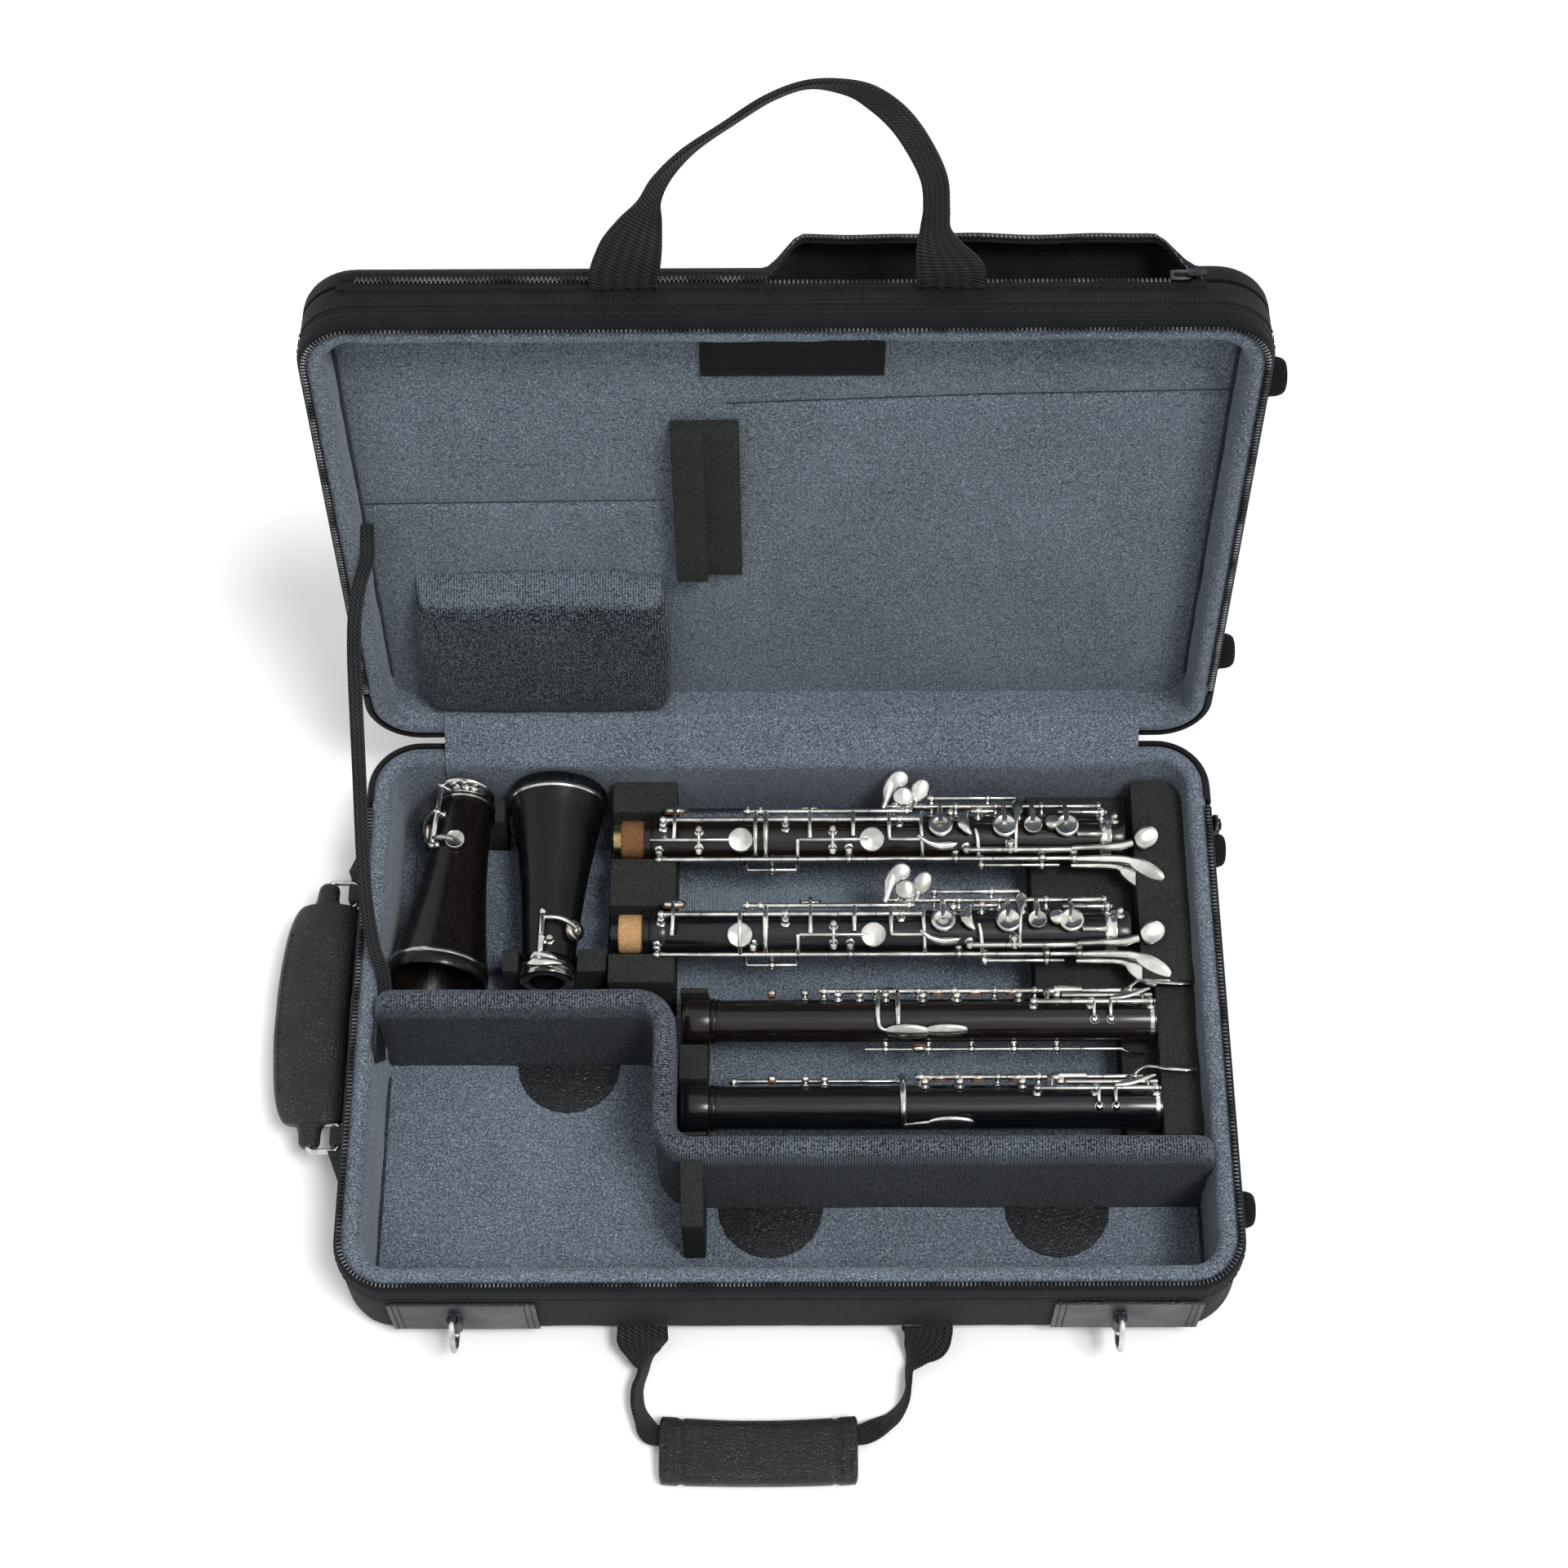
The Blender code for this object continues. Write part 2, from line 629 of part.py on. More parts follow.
def notched(low_y, high_y, height, notches):
    """The outline of a foam cradle seen along the instruments, with round notches in its top."""
    steps = 2 * ARC_STEPS
    points = [(low_y, 0), (high_y, 0), (high_y, height)]
    for y, z, radius in sorted(notches, reverse=True):
        clear = radius / cos(pi / (2 * steps))
        points += [(y + clear, height)]
        points += arc((y, z), clear, 0, -pi, steps)
        points += [(y - clear, height)]
    return points + [(low_y, height)]


def cradle(name, low_x, high_x, low_y, high_y, height, notches=()):
    """A foam cradle across the instruments. Notches hold (y, height, radius) of what lies in them."""
    seats = [(y, z - BASE_SEAT, radius + GAP) for y, z, radius in notches]
    flat_outline(
        name, notched(low_y, high_y, height, seats), high_x - low_x, "foam",
        location=((low_x + high_x) / 2, 0, BASE_SEAT), rotation=(pi / 2, 0, pi / 2),
    )


def lower_cradles():
    """The blocks under the two lower joints: tenon end, middle rest and end stop."""
    over_axis = 0.0053
    left_width = 0.032
    left_margin = 0.0005
    middle_width = 0.050
    front_margin = 0.028
    height = LOWER_AXIS_Z - BASE_SEAT + over_axis
    ring = LOWER_RADIUS * RING_SHARE
    front = LOWER_FRONT_Y - front_margin
    left = LOWER_LEFT_X - left_margin
    right = LOWER_LEFT_X + LOWER_LENGTH + LOWER_END_ROOM
    seats = [(y, LOWER_AXIS_Z, ring) for y in (LOWER_BACK_Y, LOWER_FRONT_Y)]
    rest = LOWER_AXIS_Z - ring - GAP - BASE_SEAT
    cradle("cradle_lower_left", left, left + left_width, front, WELL_BACK_Y, height, seats)
    cradle("cradle_lower_middle", right - middle_width, right - GAP, front, WELL_BACK_Y, rest)
    end = INNER_X - GAP
    corner = CORNER_RADIUS - WALL
    plan = [(right, front), (end, front)]
    plan += arc((end - corner, WELL_BACK_Y - corner), corner, 0, pi / 2, CORNER_STEPS)
    plan.append((right, WELL_BACK_Y))
    flat_outline("cradle_lower_right", plan, height, "foam", location=(0, 0, BASE_SEAT + height / 2))


def upper_cradles():
    """The blocks under the two upper joints: a notch for each bulb, and a stepped end stop."""
    over_axis = 0.0043
    back_margin = 0.0162
    front_margin = 0.0155
    left_width = 0.0135
    ledge = 0.016
    height = UPPER_AXIS_Z - BASE_SEAT + over_axis
    back = UPPER_BACK_Y + back_margin
    front = UPPER_FRONT_Y - front_margin
    bulb = UPPER_RADIUS * BULB_SHARE
    left = DIVIDER_STEP_X + DIVIDER_THICKNESS / 2 + GAP
    seats = [(y, UPPER_AXIS_Z, bulb) for y in (UPPER_BACK_Y, UPPER_FRONT_Y)]
    cradle("cradle_upper_left", left, left + left_width, front, back, height, seats)
    end = UPPER_LEFT_X + UPPER_LENGTH
    rest = UPPER_AXIS_Z - UPPER_RADIUS - GAP - BASE_SEAT
    step = [
        (end - ledge, 0), (INNER_X - GAP, 0), (INNER_X - GAP, height),
        (end + GAP, height), (end + GAP, rest), (end - ledge, rest),
    ]
    flat_outline(
        "cradle_upper_right", step, back - front, "foam",
        location=(0, (back + front) / 2, BASE_SEAT), rotation=(pi / 2, 0, 0),
    )


def bell_rest(name, ends, y, neck_x, slant):
    """A foam rest under the neck of a bell, notched for it."""
    thickness = 0.012
    over_axis = 0.0028
    height = BELL_AXIS_Z - BASE_SEAT + over_axis
    slack = 2 * GAP + thickness / 2 * tan(slant)
    notch = (neck_x, BELL_AXIS_Z - BASE_SEAT, BELL_NECK_RADIUS + slack)
    outline = notched(*ends, height, [notch])
    flat_outline(name, outline, thickness, "foam", location=(0, y, BASE_SEAT), rotation=(pi / 2, 0, 0))


def bell_rests():
    """A rest for the neck of each bell, and a padded bed under the wide parts."""
    from_end = 0.011
    back_y = BELL_MIDDLE_Y + BELL_LENGTH / 2 - from_end
    front_y = BELL_MIDDLE_Y - BELL_LENGTH / 2 + from_end
    back_x = BELL_LEFT_X + (back_y - BELL_MIDDLE_Y) * tan(BELL_LEFT_SLANT)
    front_x = BELL_RIGHT_X + (front_y - BELL_MIDDLE_Y) * tan(BELL_RIGHT_SLANT)
    side_inset = 0.0117
    back_width = 0.0425
    front_left = 0.0228
    lower_room = 0.0015
    back_left = -INNER_X + side_inset
    front_ends = (BELL_RIGHT_X - front_left, LOWER_LEFT_X - lower_room)
    bell_rest("bell_rest_back", (back_left, back_left + back_width), back_y, back_x, BELL_LEFT_SLANT)
    bell_rest("bell_rest_front", front_ends, front_y, front_x, BELL_RIGHT_SLANT)
    bed_inset = 0.0077
    bed_room = 0.0025
    bed_margin = 0.008
    bed_left = -INNER_X + bed_inset
    bed_right = LOWER_LEFT_X - bed_room
    low = front_y + bed_margin
    high = back_y - bed_margin
    block(
        "bell_bed", (bed_right - bed_left, high - low, BELL_BED_HEIGHT),
        ((bed_left + bed_right) / 2, (low + high) / 2, BASE_SEAT + BELL_BED_HEIGHT / 2), "velour",
    )


def accessory_plate():
    """The upright foam plate that parts the two accessory compartments, higher at its back."""
    thickness = 0.0105
    front_height = 0.045
    back_height = 0.065
    from_divider = 0.008
    plate_depth = 0.0305
    left = DIVIDER_STEP_X + from_divider
    front = DIVIDER_RIGHT_Y - plate_depth
    back = DIVIDER_RIGHT_Y - DIVIDER_THICKNESS / 2 - GAP
    outline = [(front, 0), (back, 0), (back, back_height), (front, front_height)]
    flat_outline(
        "accessory_plate", outline, thickness, "foam",
        location=(left + thickness / 2, 0, BASE_SEAT), rotation=(pi / 2, 0, pi / 2),
    )


# Outside of the base: feet, leather patches with their rings, and zip sliders

def foot(name, parent, location):
    """A rubber foot on the right side, which the case stands on when it is carried upright."""
    profile = [
        (0, FOOT_HEIGHT), (0.60 * FOOT_RADIUS, FOOT_HEIGHT), (0.88 * FOOT_RADIUS, 0.80 * FOOT_HEIGHT),
        (FOOT_RADIUS, 0.40 * FOOT_HEIGHT), (FOOT_RADIUS, 0), (0, 0),
    ]
    turned(name, profile, "rubber", parent, location, (0, pi / 2, 0))


def ring_patch(name, x, ring_x):
    """A leather patch on the front with a sleeve for the upright bar of a ring."""
    bore = D_RING_WIRE + 0.5 * LEATHER_THICKNESS
    face = -HALF_DEPTH - GAP
    patch_z = D_RING_Z
    part = block(
        name, (FRONT_PATCH_WIDTH, LEATHER_THICKNESS, FRONT_PATCH_HEIGHT),
        (x, face - LEATHER_THICKNESS / 2, patch_z), "patch_leather",
    )
    low = patch_z - KEEPER_HEIGHT / 2
    high = patch_z + KEEPER_HEIGHT / 2
    sleeve = bmesh.new()
    rod(sleeve, (ring_x, RING_AXIS_Y, low), (ring_x, RING_AXIS_Y, high), KEEPER_RADIUS, 12)
    combine(part, cutter(name + "_sleeve", sleeve), "UNION")
    hole = bmesh.new()
    rod(hole, (ring_x, RING_AXIS_Y, low - OVERRUN), (ring_x, RING_AXIS_Y, high + OVERRUN), bore, 12)
    combine(part, cutter(name + "_hole", hole), "DIFFERENCE")


def d_ring(name, x):
    """A D-shaped wire ring that swings on its upright bar."""
    half = D_RING_HEIGHT / 2
    c = D_RING_CORNER
    bow_steps = 10
    points = [(0, -half + c), (0, half - c)]
    points += arc((-c, half - c), c, 0, pi / 2, 2)[1:]
    for i in range(1, bow_steps):
        angle = pi * i / bow_steps
        points.append((-c - (D_RING_REACH - c) * sin(angle), half * cos(angle)))
    points += arc((-c, -half + c), c, -pi / 2, 0, 2)[:-1]
    axis = pivot(name + "_axis", location=(x, RING_AXIS_Y, D_RING_Z))
    wire(name, [(0, y, z) for y, z in points], D_RING_WIRE, "steel", True, parent=axis)


def slider(name, pull_down, parent, location, rotation):
    """A zip slider with its pull below it or beside it, as one flat outline."""
    half = SLIDER_LENGTH / 2
    if pull_down:
        side = PULL_WIDTH / 2
        outline = [
            (-side, -PULL_LENGTH), (side, -PULL_LENGTH), (side, 0), (half, 0),
            (half, SLIDER_HEIGHT), (-half, SLIDER_HEIGHT), (-half, 0), (-side, 0),
        ]
    else:
        low = (SLIDER_HEIGHT - PULL_WIDTH) / 2
        outline = [
            (-half, 0), (half, 0), (half, low), (half + PULL_LENGTH, low),
            (half + PULL_LENGTH, low + PULL_WIDTH), (half, low + PULL_WIDTH),
            (half, SLIDER_HEIGHT), (-half, SLIDER_HEIGHT),
        ]
    return flat_outline(name, outline, SLIDER_THICKNESS, "dark_metal", parent, location, rotation)


# Handles of webbing and leather

def webbing(name, stations, normal, thickness, parent, round_roots=False):
    """Webbing through (place, half width, twist) stations, turned about its own line.

    A round root is a half round end about the joint's axis, so that it swings clear of its wall.
    """
    places = [Vector(spot) for spot, _, _ in stations]
    rings = []
    for i, (_, half_width, twist) in enumerate(stations):
        along = (places[min(i + 1, len(places) - 1)] - places[max(i - 1, 0)]).normalized()
        across = along.cross(normal).normalized()
        out = across.cross(along).normalized()
        wide = half_width * (cos(twist) * across + sin(twist) * out)
        thick = thickness / 2 * (cos(twist) * out - sin(twist) * across)
        rings.append((places[i], wide, thick))
    if round_roots:
        for end, beside in ((0, 1), (-1, -2)):
            spot, wide, thick = rings[end]
            back = (places[end] - places[beside]).normalized() * thickness / 2
            caps = [
                (spot + back * sin(angle), wide, thick * cos(angle))
                for angle in (radians(30), radians(60), radians(84))
            ]
            rings = caps[::-1] + rings if end == 0 else rings + caps
    rings = [
        [spot + wide + thick, spot - wide + thick, spot - wide - thick, spot + wide - thick]
        for spot, wide, thick in rings
    ]
    return place(name, loft(name, rings), "webbing", parent)


def lid_handle(lid):
    """The webbing loop on the lid's front wall: flat at its roots, folded narrow over the arch."""
    fold = WEB_THICKNESS * 1.6
    root_y = -(CASE_DEPTH + fold / 2 + ROOT_CLEARANCE)
    axis = pivot("lid_handle_axis", lid, (LID_HANDLE_X, root_y, LID_HANDLE_DEPTH))
    root = LID_HANDLE_ROOT / 2
    web = LID_HANDLE_WEB / 2
    # across as a share of the half span, up as a share of the rise, width share, quarter turns
    arch_shares = [
        (-1.00, 0.00, 1.00, 0.00), (-1.00, 0.05, 1.00, 0.00), (-0.97, 0.13, 0.96, 0.02),
        (-0.93, 0.23, 0.80, 0.08), (-0.87, 0.35, 0.42, 0.30), (-0.81, 0.45, 0.00, 0.60),
        (-0.73, 0.56, 0.00, 0.75), (-0.57, 0.69, 0.00, 0.85), (-0.33, 0.82, 0.00, 0.90),
        (-0.09, 0.94, 0.00, 0.85), (0.14, 1.00, 0.00, 0.75), (0.38, 0.98, 0.00, 0.45),
        (0.53, 0.92, 0.00, 0.15), (0.67, 0.82, 0.00, 0.00), (0.79, 0.68, 0.00, 0.00),
        (0.87, 0.54, 0.00, 0.08), (0.89, 0.40, 0.00, 0.22), (0.89, 0.30, 0.10, 0.22),
        (0.92, 0.20, 0.50, 0.10), (0.97, 0.11, 0.88, 0.02), (1.00, 0.05, 1.00, 0.00),
        (1.00, 0.00, 1.00, 0.00),
    ]
    stations = [
        ((across * LID_HANDLE_SPAN / 2, -up * LID_HANDLE_RISE, 0), web + (root - web) * wide, turn * pi / 2)
        for across, up, wide, turn in arch_shares
    ]
    webbing("lid_handle", stations, Vector((0, 0, 1)), fold, axis, True)


def front_handle():
    """The front carrying handle, lying on the table: a webbing loop through a leather grip."""
    root_y = -(HALF_DEPTH + WEB_THICKNESS / 2 + ROOT_CLEARANCE)
    axis = pivot("front_handle_axis", location=(FRONT_HANDLE_X, root_y, FRONT_HANDLE_Z))
    root = FRONT_HANDLE_ROOT / 2
    web = FRONT_HANDLE_WEB / 2
    half_span = FRONT_HANDLE_SPAN / 2
    flat = GRIP_SLOT / 2 - 2 * GAP
    grip_middle = GRIP_FLOOR_GAP + GRIP_THICKNESS / 2
    lie = web + GRIP_FLOOR_GAP - FRONT_HANDLE_Z
    grip_lie = grip_middle - FRONT_HANDLE_Z
    grip_x = GRIP_X - FRONT_HANDLE_X
    # shares of the half span, of the grip's reach and of the way down, half width, quarter turns
    left_shares = [
        (-1.00, 0.00, 0.0, root, 0.0), (-1.00, 0.04, 0.0, root, 0.0), (-1.00, 0.12, 0.20, root, 0.05),
        (-0.995, 0.21, 0.55, 0.7 * root, 0.35), (-0.995, 0.30, 0.95, web, 0.80),
        (-1.015, 0.40, 1.0, web, 0.90), (-1.035, 0.50, 1.0, web, 0.80),
        (-1.025, 0.64, 1.0, web, 0.70), (-0.98, 0.76, 1.0, web, 0.50),
    ]
    right_shares = [
        (0.69, 0.78, 1.0, web, 0.45), (0.76, 0.72, 1.0, web, 0.60), (0.83, 0.60, 1.0, web, 0.80),
        (0.865, 0.46, 1.0, web, 0.95), (0.875, 0.32, 0.95, web, 0.85),
        (0.92, 0.21, 0.55, 0.7 * root, 0.35), (0.975, 0.12, 0.20, root, 0.05),
        (1.00, 0.04, 0.0, root, 0.0), (1.00, 0.00, 0.0, root, 0.0),
    ]
    inside = GRIP_LENGTH / 2
    entry = 0.008
    left = [((a * half_span, -o * GRIP_REACH, d * lie), w, t * pi / 2) for a, o, d, w, t in left_shares]
    right = [((a * half_span, -o * GRIP_REACH, d * lie), w, t * pi / 2) for a, o, d, w, t in right_shares]
    near = -0.86 * GRIP_REACH
    middle = [
        ((grip_x - inside - 0.5 * entry, near, grip_lie), 0.3 * flat, 0),
        ((grip_x - inside + 0.5 * entry, -0.89 * GRIP_REACH, grip_lie), 0.3 * flat, 0),
        ((grip_x - inside + 3 * entry, -GRIP_REACH, grip_lie), flat, 0),
        ((grip_x + inside - 3 * entry, -GRIP_REACH, grip_lie), flat, 0),
        ((grip_x + inside - 0.5 * entry, -0.89 * GRIP_REACH, grip_lie), 0.3 * flat, 0),
        ((grip_x + inside + 0.5 * entry, near, grip_lie), 0.3 * flat, 0),
    ]
    webbing("front_handle_webbing", left + middle + right, Vector((0, 0, 1)), WEB_THICKNESS, axis, True)
    edge = 0.004
    grip = block(
        "front_handle_grip", (GRIP_LENGTH, GRIP_WIDTH, GRIP_THICKNESS), (grip_x, -GRIP_REACH, grip_lie),
        "leather", edge, axis,
    )
    slot = bmesh.new()
    slot_height = WEB_THICKNESS + 2 * GAP
    cuboid(slot, (GRIP_LENGTH + 2 * OVERRUN, GRIP_SLOT, slot_height), (grip_x, -GRIP_REACH, grip_lie))
    combine(grip, cutter("front_handle_grip_slot", slot, axis), "DIFFERENCE")


def side_handle():
    """The leather side handle on two wire rings, each in a leather bracket on the left wall."""
    axis_x = -(HALF_WIDTH + SIDE_AXIS_OUT)
    axis = pivot("side_handle_axis", location=(axis_x, SIDE_HANDLE_Y, SIDE_HANDLE_Z))
    half = SIDE_HANDLE_LENGTH / 2
    reach = half + SIDE_EAR_LENGTH
    sides = 10
    # along as a share of the half length, out as a share of the reach, width share, thickness share
    half_shares = [
        (1.00, 1.00, 0.20, 0.50), (0.97, 1.02, 0.28, 0.58), (0.85, 1.06, 0.36, 0.62),
        (0.81, 1.07, 0.80, 0.78), (0.62, 1.22, 0.96, 0.95), (0.28, 1.35, 1.00, 1.00),
    ]
    swell_shares = [(-along, *rest) for along, *rest in half_shares]
    swell_shares += [(0, 1.38, 1, 1)] + half_shares[::-1]
    rings = []
    for along, out, wide, thick in swell_shares:
        rings.append([
            (-out * SIDE_RING_REACH + wide * SIDE_HANDLE_WIDTH / 2 * cos(2 * pi * k / sides), along * reach,
             thick * SIDE_HANDLE_THICKNESS / 2 * sin(2 * pi * k / sides))
            for k in range(sides)
        ])
    grip = place("side_handle_grip", loft("side_handle_grip", rings), "leather", axis)
    slots = bmesh.new()
    margin = SIDE_RING_WIRE + 2 * GAP
    for end, name in ((1, "back"), (-1, "front")):
        middle = end * (half + SIDE_RING_WIRE + SIDE_RING_LENGTH / 2)
        side_ring("side_handle_ring_" + name, middle, axis)
        side_bracket("side_handle_bracket_" + name, SIDE_HANDLE_Y + middle, axis_x, end)
        size = (SIDE_RING_REACH + margin, SIDE_RING_LENGTH + 2 * margin, 2 * margin)
        cuboid(slots, size, (-size[0] / 2, middle, 0))
    combine(grip, cutter("side_handle_slots", slots, axis), "DIFFERENCE")


def side_ring(name, y, axis):
    """A rounded wire loop lying flat, with its inner bar on the handle's axis."""
    corner = 0.003
    half_x = SIDE_RING_REACH / 2
    half_y = SIDE_RING_LENGTH / 2
    points = [
        (px - half_x, py + y, 0)
        for i, (cx, cy) in enumerate(((1, 1), (-1, 1), (-1, -1), (1, -1)))
        for px, py in arc(
            (cx * (half_x - corner), cy * (half_y - corner)), corner, i * pi / 2, (i + 1) * pi / 2, 2
        )
    ]
    wire(name, points, SIDE_RING_WIRE, "steel", True, parent=axis)


def side_bracket(name, y, axis_x, end):
    """A leather plate on the wall, with a sleeve round the ring's inner bar and a tail behind it."""
    face = -(HALF_WIDTH + GAP)
    plate_end = y + end * BRACKET_TAIL
    plate_start = y - end * BRACKET_LENGTH
    part = block(
        name, (LEATHER_THICKNESS, abs(plate_end - plate_start), BRACKET_PLATE),
        (face - LEATHER_THICKNESS / 2, (plate_end + plate_start) / 2, SIDE_HANDLE_Z), "leather",
    )
    solid = bmesh.new()
    inner = face - LEATHER_THICKNESS / 2
    outer = axis_x - BRACKET_WIDTH / 2
    cuboid(solid, (inner - outer, BRACKET_LENGTH, BRACKET_WIDTH), ((inner + outer) / 2, y, SIDE_HANDLE_Z))
    clear = y + end * (SIDE_RING_LENGTH / 2 + SIDE_RING_WIRE + 3 * GAP)
    low = SIDE_HANDLE_Z - BRACKET_WIDTH
    high = SIDE_HANDLE_Z + BRACKET_WIDTH
    corners = [(inner, clear), (outer, clear), (face - LEATHER_THICKNESS, plate_end - end * OVERRUN),
               (inner, plate_end - end * OVERRUN)]
    feet = [solid.verts.new((px, py, low)) for px, py in corners]
    heads = [solid.verts.new((px, py, high)) for px, py in corners]
    solid.faces.new(feet)
    solid.faces.new(heads)
    for i in range(len(corners)):
        j = (i + 1) % len(corners)
        solid.faces.new((feet[i], feet[j], heads[j], heads[i]))
    combine(part, cutter(name + "_sleeve", solid), "UNION")
    hole = bmesh.new()
    reach = BRACKET_LENGTH / 2 + GAP
    bore = SIDE_RING_WIRE + 2 * GAP
    rod(hole, (axis_x, y - reach, SIDE_HANDLE_Z), (axis_x, y + reach, SIDE_HANDLE_Z), bore, 12)
    combine(part, cutter(name + "_hole", hole), "DIFFERENCE")


# What is inside the lid, and the pocket outside it

def pillow(lid):
    """The lid's pillow: a coarse cage with a crown and a sloping upper end, made smooth."""
    crown = 0.0018
    draw_in = 0.002
    edge_share = 0.80
    shape = bmesh.new()
    bmesh.ops.create_cube(shape, size=2)
    bmesh.ops.subdivide_edges(shape, edges=shape.edges, cuts=2, use_grid_fill=True)
    middle_x = (PILLOW_LEFT_X + PILLOW_RIGHT_X) / 2
    half_x = (PILLOW_RIGHT_X - PILLOW_LEFT_X) / 2
    for vert in shape.verts:
        x, y, z = (value if abs(value) > edge_share else value * 3 * edge_share for value in vert.co)
        share = (1 - z) / 2
        waist = draw_in * (1 - z * z)
        high = PILLOW_HIGH + (PILLOW_FACE_HIGH - PILLOW_HIGH) * share
        reach = half_x - PILLOW_FACE_INSET * share - waist * (1 - y * y)
        up = PILLOW_LOW + (high - PILLOW_LOW) * (1 - y) / 2
        rise = crown * (1 - x * x) * (1 - y * y)
        depth = LID_INNER_DEPTH - GAP - (PILLOW_DEPTH + rise) * share
        vert.co = (middle_x + reach * x, -up, depth)
    part = place("lid_pillow", mesh_from("lid_pillow", shape), "velour", lid)
    step = part.modifiers.new("Subdivision", "SUBSURF")
    step.levels = 2
    step.render_levels = 2


def lid_block(lid):
    """The stepped foam block that presses on the joints when the lid is shut."""
    top = LID_INNER_DEPTH - GAP
    outline = [
        (0, top), (0, top - LID_BLOCK_DEPTH), (LID_BLOCK_STEP, top - LID_BLOCK_DEPTH),
        (LID_BLOCK_STEP, top - LID_BLOCK_LOW_DEPTH), (LID_BLOCK_WIDTH, top - LID_BLOCK_LOW_DEPTH),
        (LID_BLOCK_WIDTH, top),
    ]
    flat_outline(
        "lid_foam_block", outline, LID_BLOCK_LENGTH, "foam", lid,
        (LID_BLOCK_X, -(LID_BLOCK_UP + LID_BLOCK_LENGTH / 2), 0), (pi / 2, 0, 0),
    )


def lid_label(lid):
    """The bare cloth label sewn to the lid's lining."""
    block(
        "lid_label", (LABEL_WIDTH, LABEL_HEIGHT, LABEL_THICKNESS),
        (LABEL_X, -(LABEL_UP + LABEL_HEIGHT / 2), LID_INNER_DEPTH - GAP - LABEL_THICKNESS / 2),
        "label_cloth", 0, lid,
    )


def mouth_cut(name, margin, parent, origin):
    """The corner of the pocket that its zip frees, as a helper prism drawn in by a margin."""
    corner = 0.0115
    low = CASE_DEPTH - POCKET_FLAP_LENGTH + margin
    high = CASE_DEPTH + OVERRUN
    left = POCKET_MOUTH_LEFT + margin
    right = POCKET_MOUTH_RIGHT - margin
    top = POCKET_SEAM_DEPTH + POCKET_HEIGHT + OVERRUN
    bottom = POCKET_SEAM_DEPTH - POCKET_FLAP_GAP + margin
    outline = [(right, top), (left, top)]
    outline += arc((left + corner, bottom + corner), corner, pi, 3 * pi / 2, CORNER_STEPS)
    outline += arc((right - corner, bottom + corner), corner, 3 * pi / 2, 2 * pi, CORNER_STEPS)
    shape = bmesh.new()
    near = [shape.verts.new(Vector((x, -high, depth)) - Vector(origin)) for x, depth in outline]
    far = [shape.verts.new(Vector((x, -low, depth)) - Vector(origin)) for x, depth in outline]
    for i in range(len(outline)):
        j = (i + 1) % len(outline)
        shape.faces.new((near[i], near[j], far[j], far[i]))
    shape.faces.new(near)
    shape.faces.new(far)
    return cutter(name, shape, parent)


def pocket(lid):
    """The outer pocket: a soft tray over the lid's face, with a corner that opens as a flap."""
    outer = POCKET_SEAM_DEPTH + POCKET_HEIGHT
    over = (0, pi, 0)
    size = (POCKET_HEIGHT, POCKET_EDGE_RADIUS, POCKET_SKIN)
    pouch = tray_shell("pocket_pouch", *size, lid, (0, -HALF_DEPTH, outer), over)
    combine(pouch, mouth_cut("pocket_mouth", 0, lid, (0, 0, 0)), "DIFFERENCE")
    hinge = (0, -(CASE_DEPTH - POCKET_FLAP_LENGTH), outer - POCKET_SKIN / 2)
    axis = pivot("pocket_flap_axis", lid, hinge, (-POCKET_FLAP_ANGLE, 0, 0))
    middle = (0, -HALF_DEPTH - hinge[1], outer - hinge[2])
    flap = tray_shell("pocket_flap", *size, axis, middle, over)
    combine(flap, mouth_cut("pocket_flap_edge", POCKET_FLAP_GAP, axis, hinge), "INTERSECT")


# Lining sheet over the hinge, and the stay

def spine_panel():
    """The lining sheet from the base's back wall, over both rims, to the lid's hinge wall."""
    roll = PAD_THICKNESS / 2
    from_face = SHELL_THICKNESS + GAP + roll
    hinge = Vector((HALF_DEPTH, BASE_HEIGHT))
    up = Vector((-cos(LID_OPEN_ANGLE), sin(LID_OPEN_ANGLE)))
    into = Vector((sin(LID_OPEN_ANGLE), cos(LID_OPEN_ANGLE)))
    base_roll = hinge - Vector((from_face, RIM_GAP / 2 + roll))
    lid_roll = hinge + up * from_face + into * (RIM_GAP / 2 + roll)
    over = (lid_roll - base_roll).normalized()
    crossing = atan2(over.y, over.x) + pi / 2
    landing = atan2(up.y, up.x)
    low_z = BASE_SEAT + SPINE_FOOT
    run = LID_INNER_DEPTH - roll - RIM_GAP / 2 - GAP

    def side(radius):
        points = [(base_roll.x - radius, low_z)]
        points += arc(base_roll, radius, pi, crossing, RIM_STEPS)
        points += arc(lid_roll, radius, crossing, landing, RIM_STEPS)
        return points + [tuple(lid_roll + up * radius + into * run)]

    near = side(roll + GAP)
    far = side(roll + GAP + SPINE_THICKNESS)
    flat_outline(
        "spine_panel", far + near[::-1], SPINE_RIGHT_X - SPINE_LEFT_X, "velour",
        location=((SPINE_LEFT_X + SPINE_RIGHT_X) / 2, 0, 0), rotation=(pi / 2, 0, pi / 2),
    )


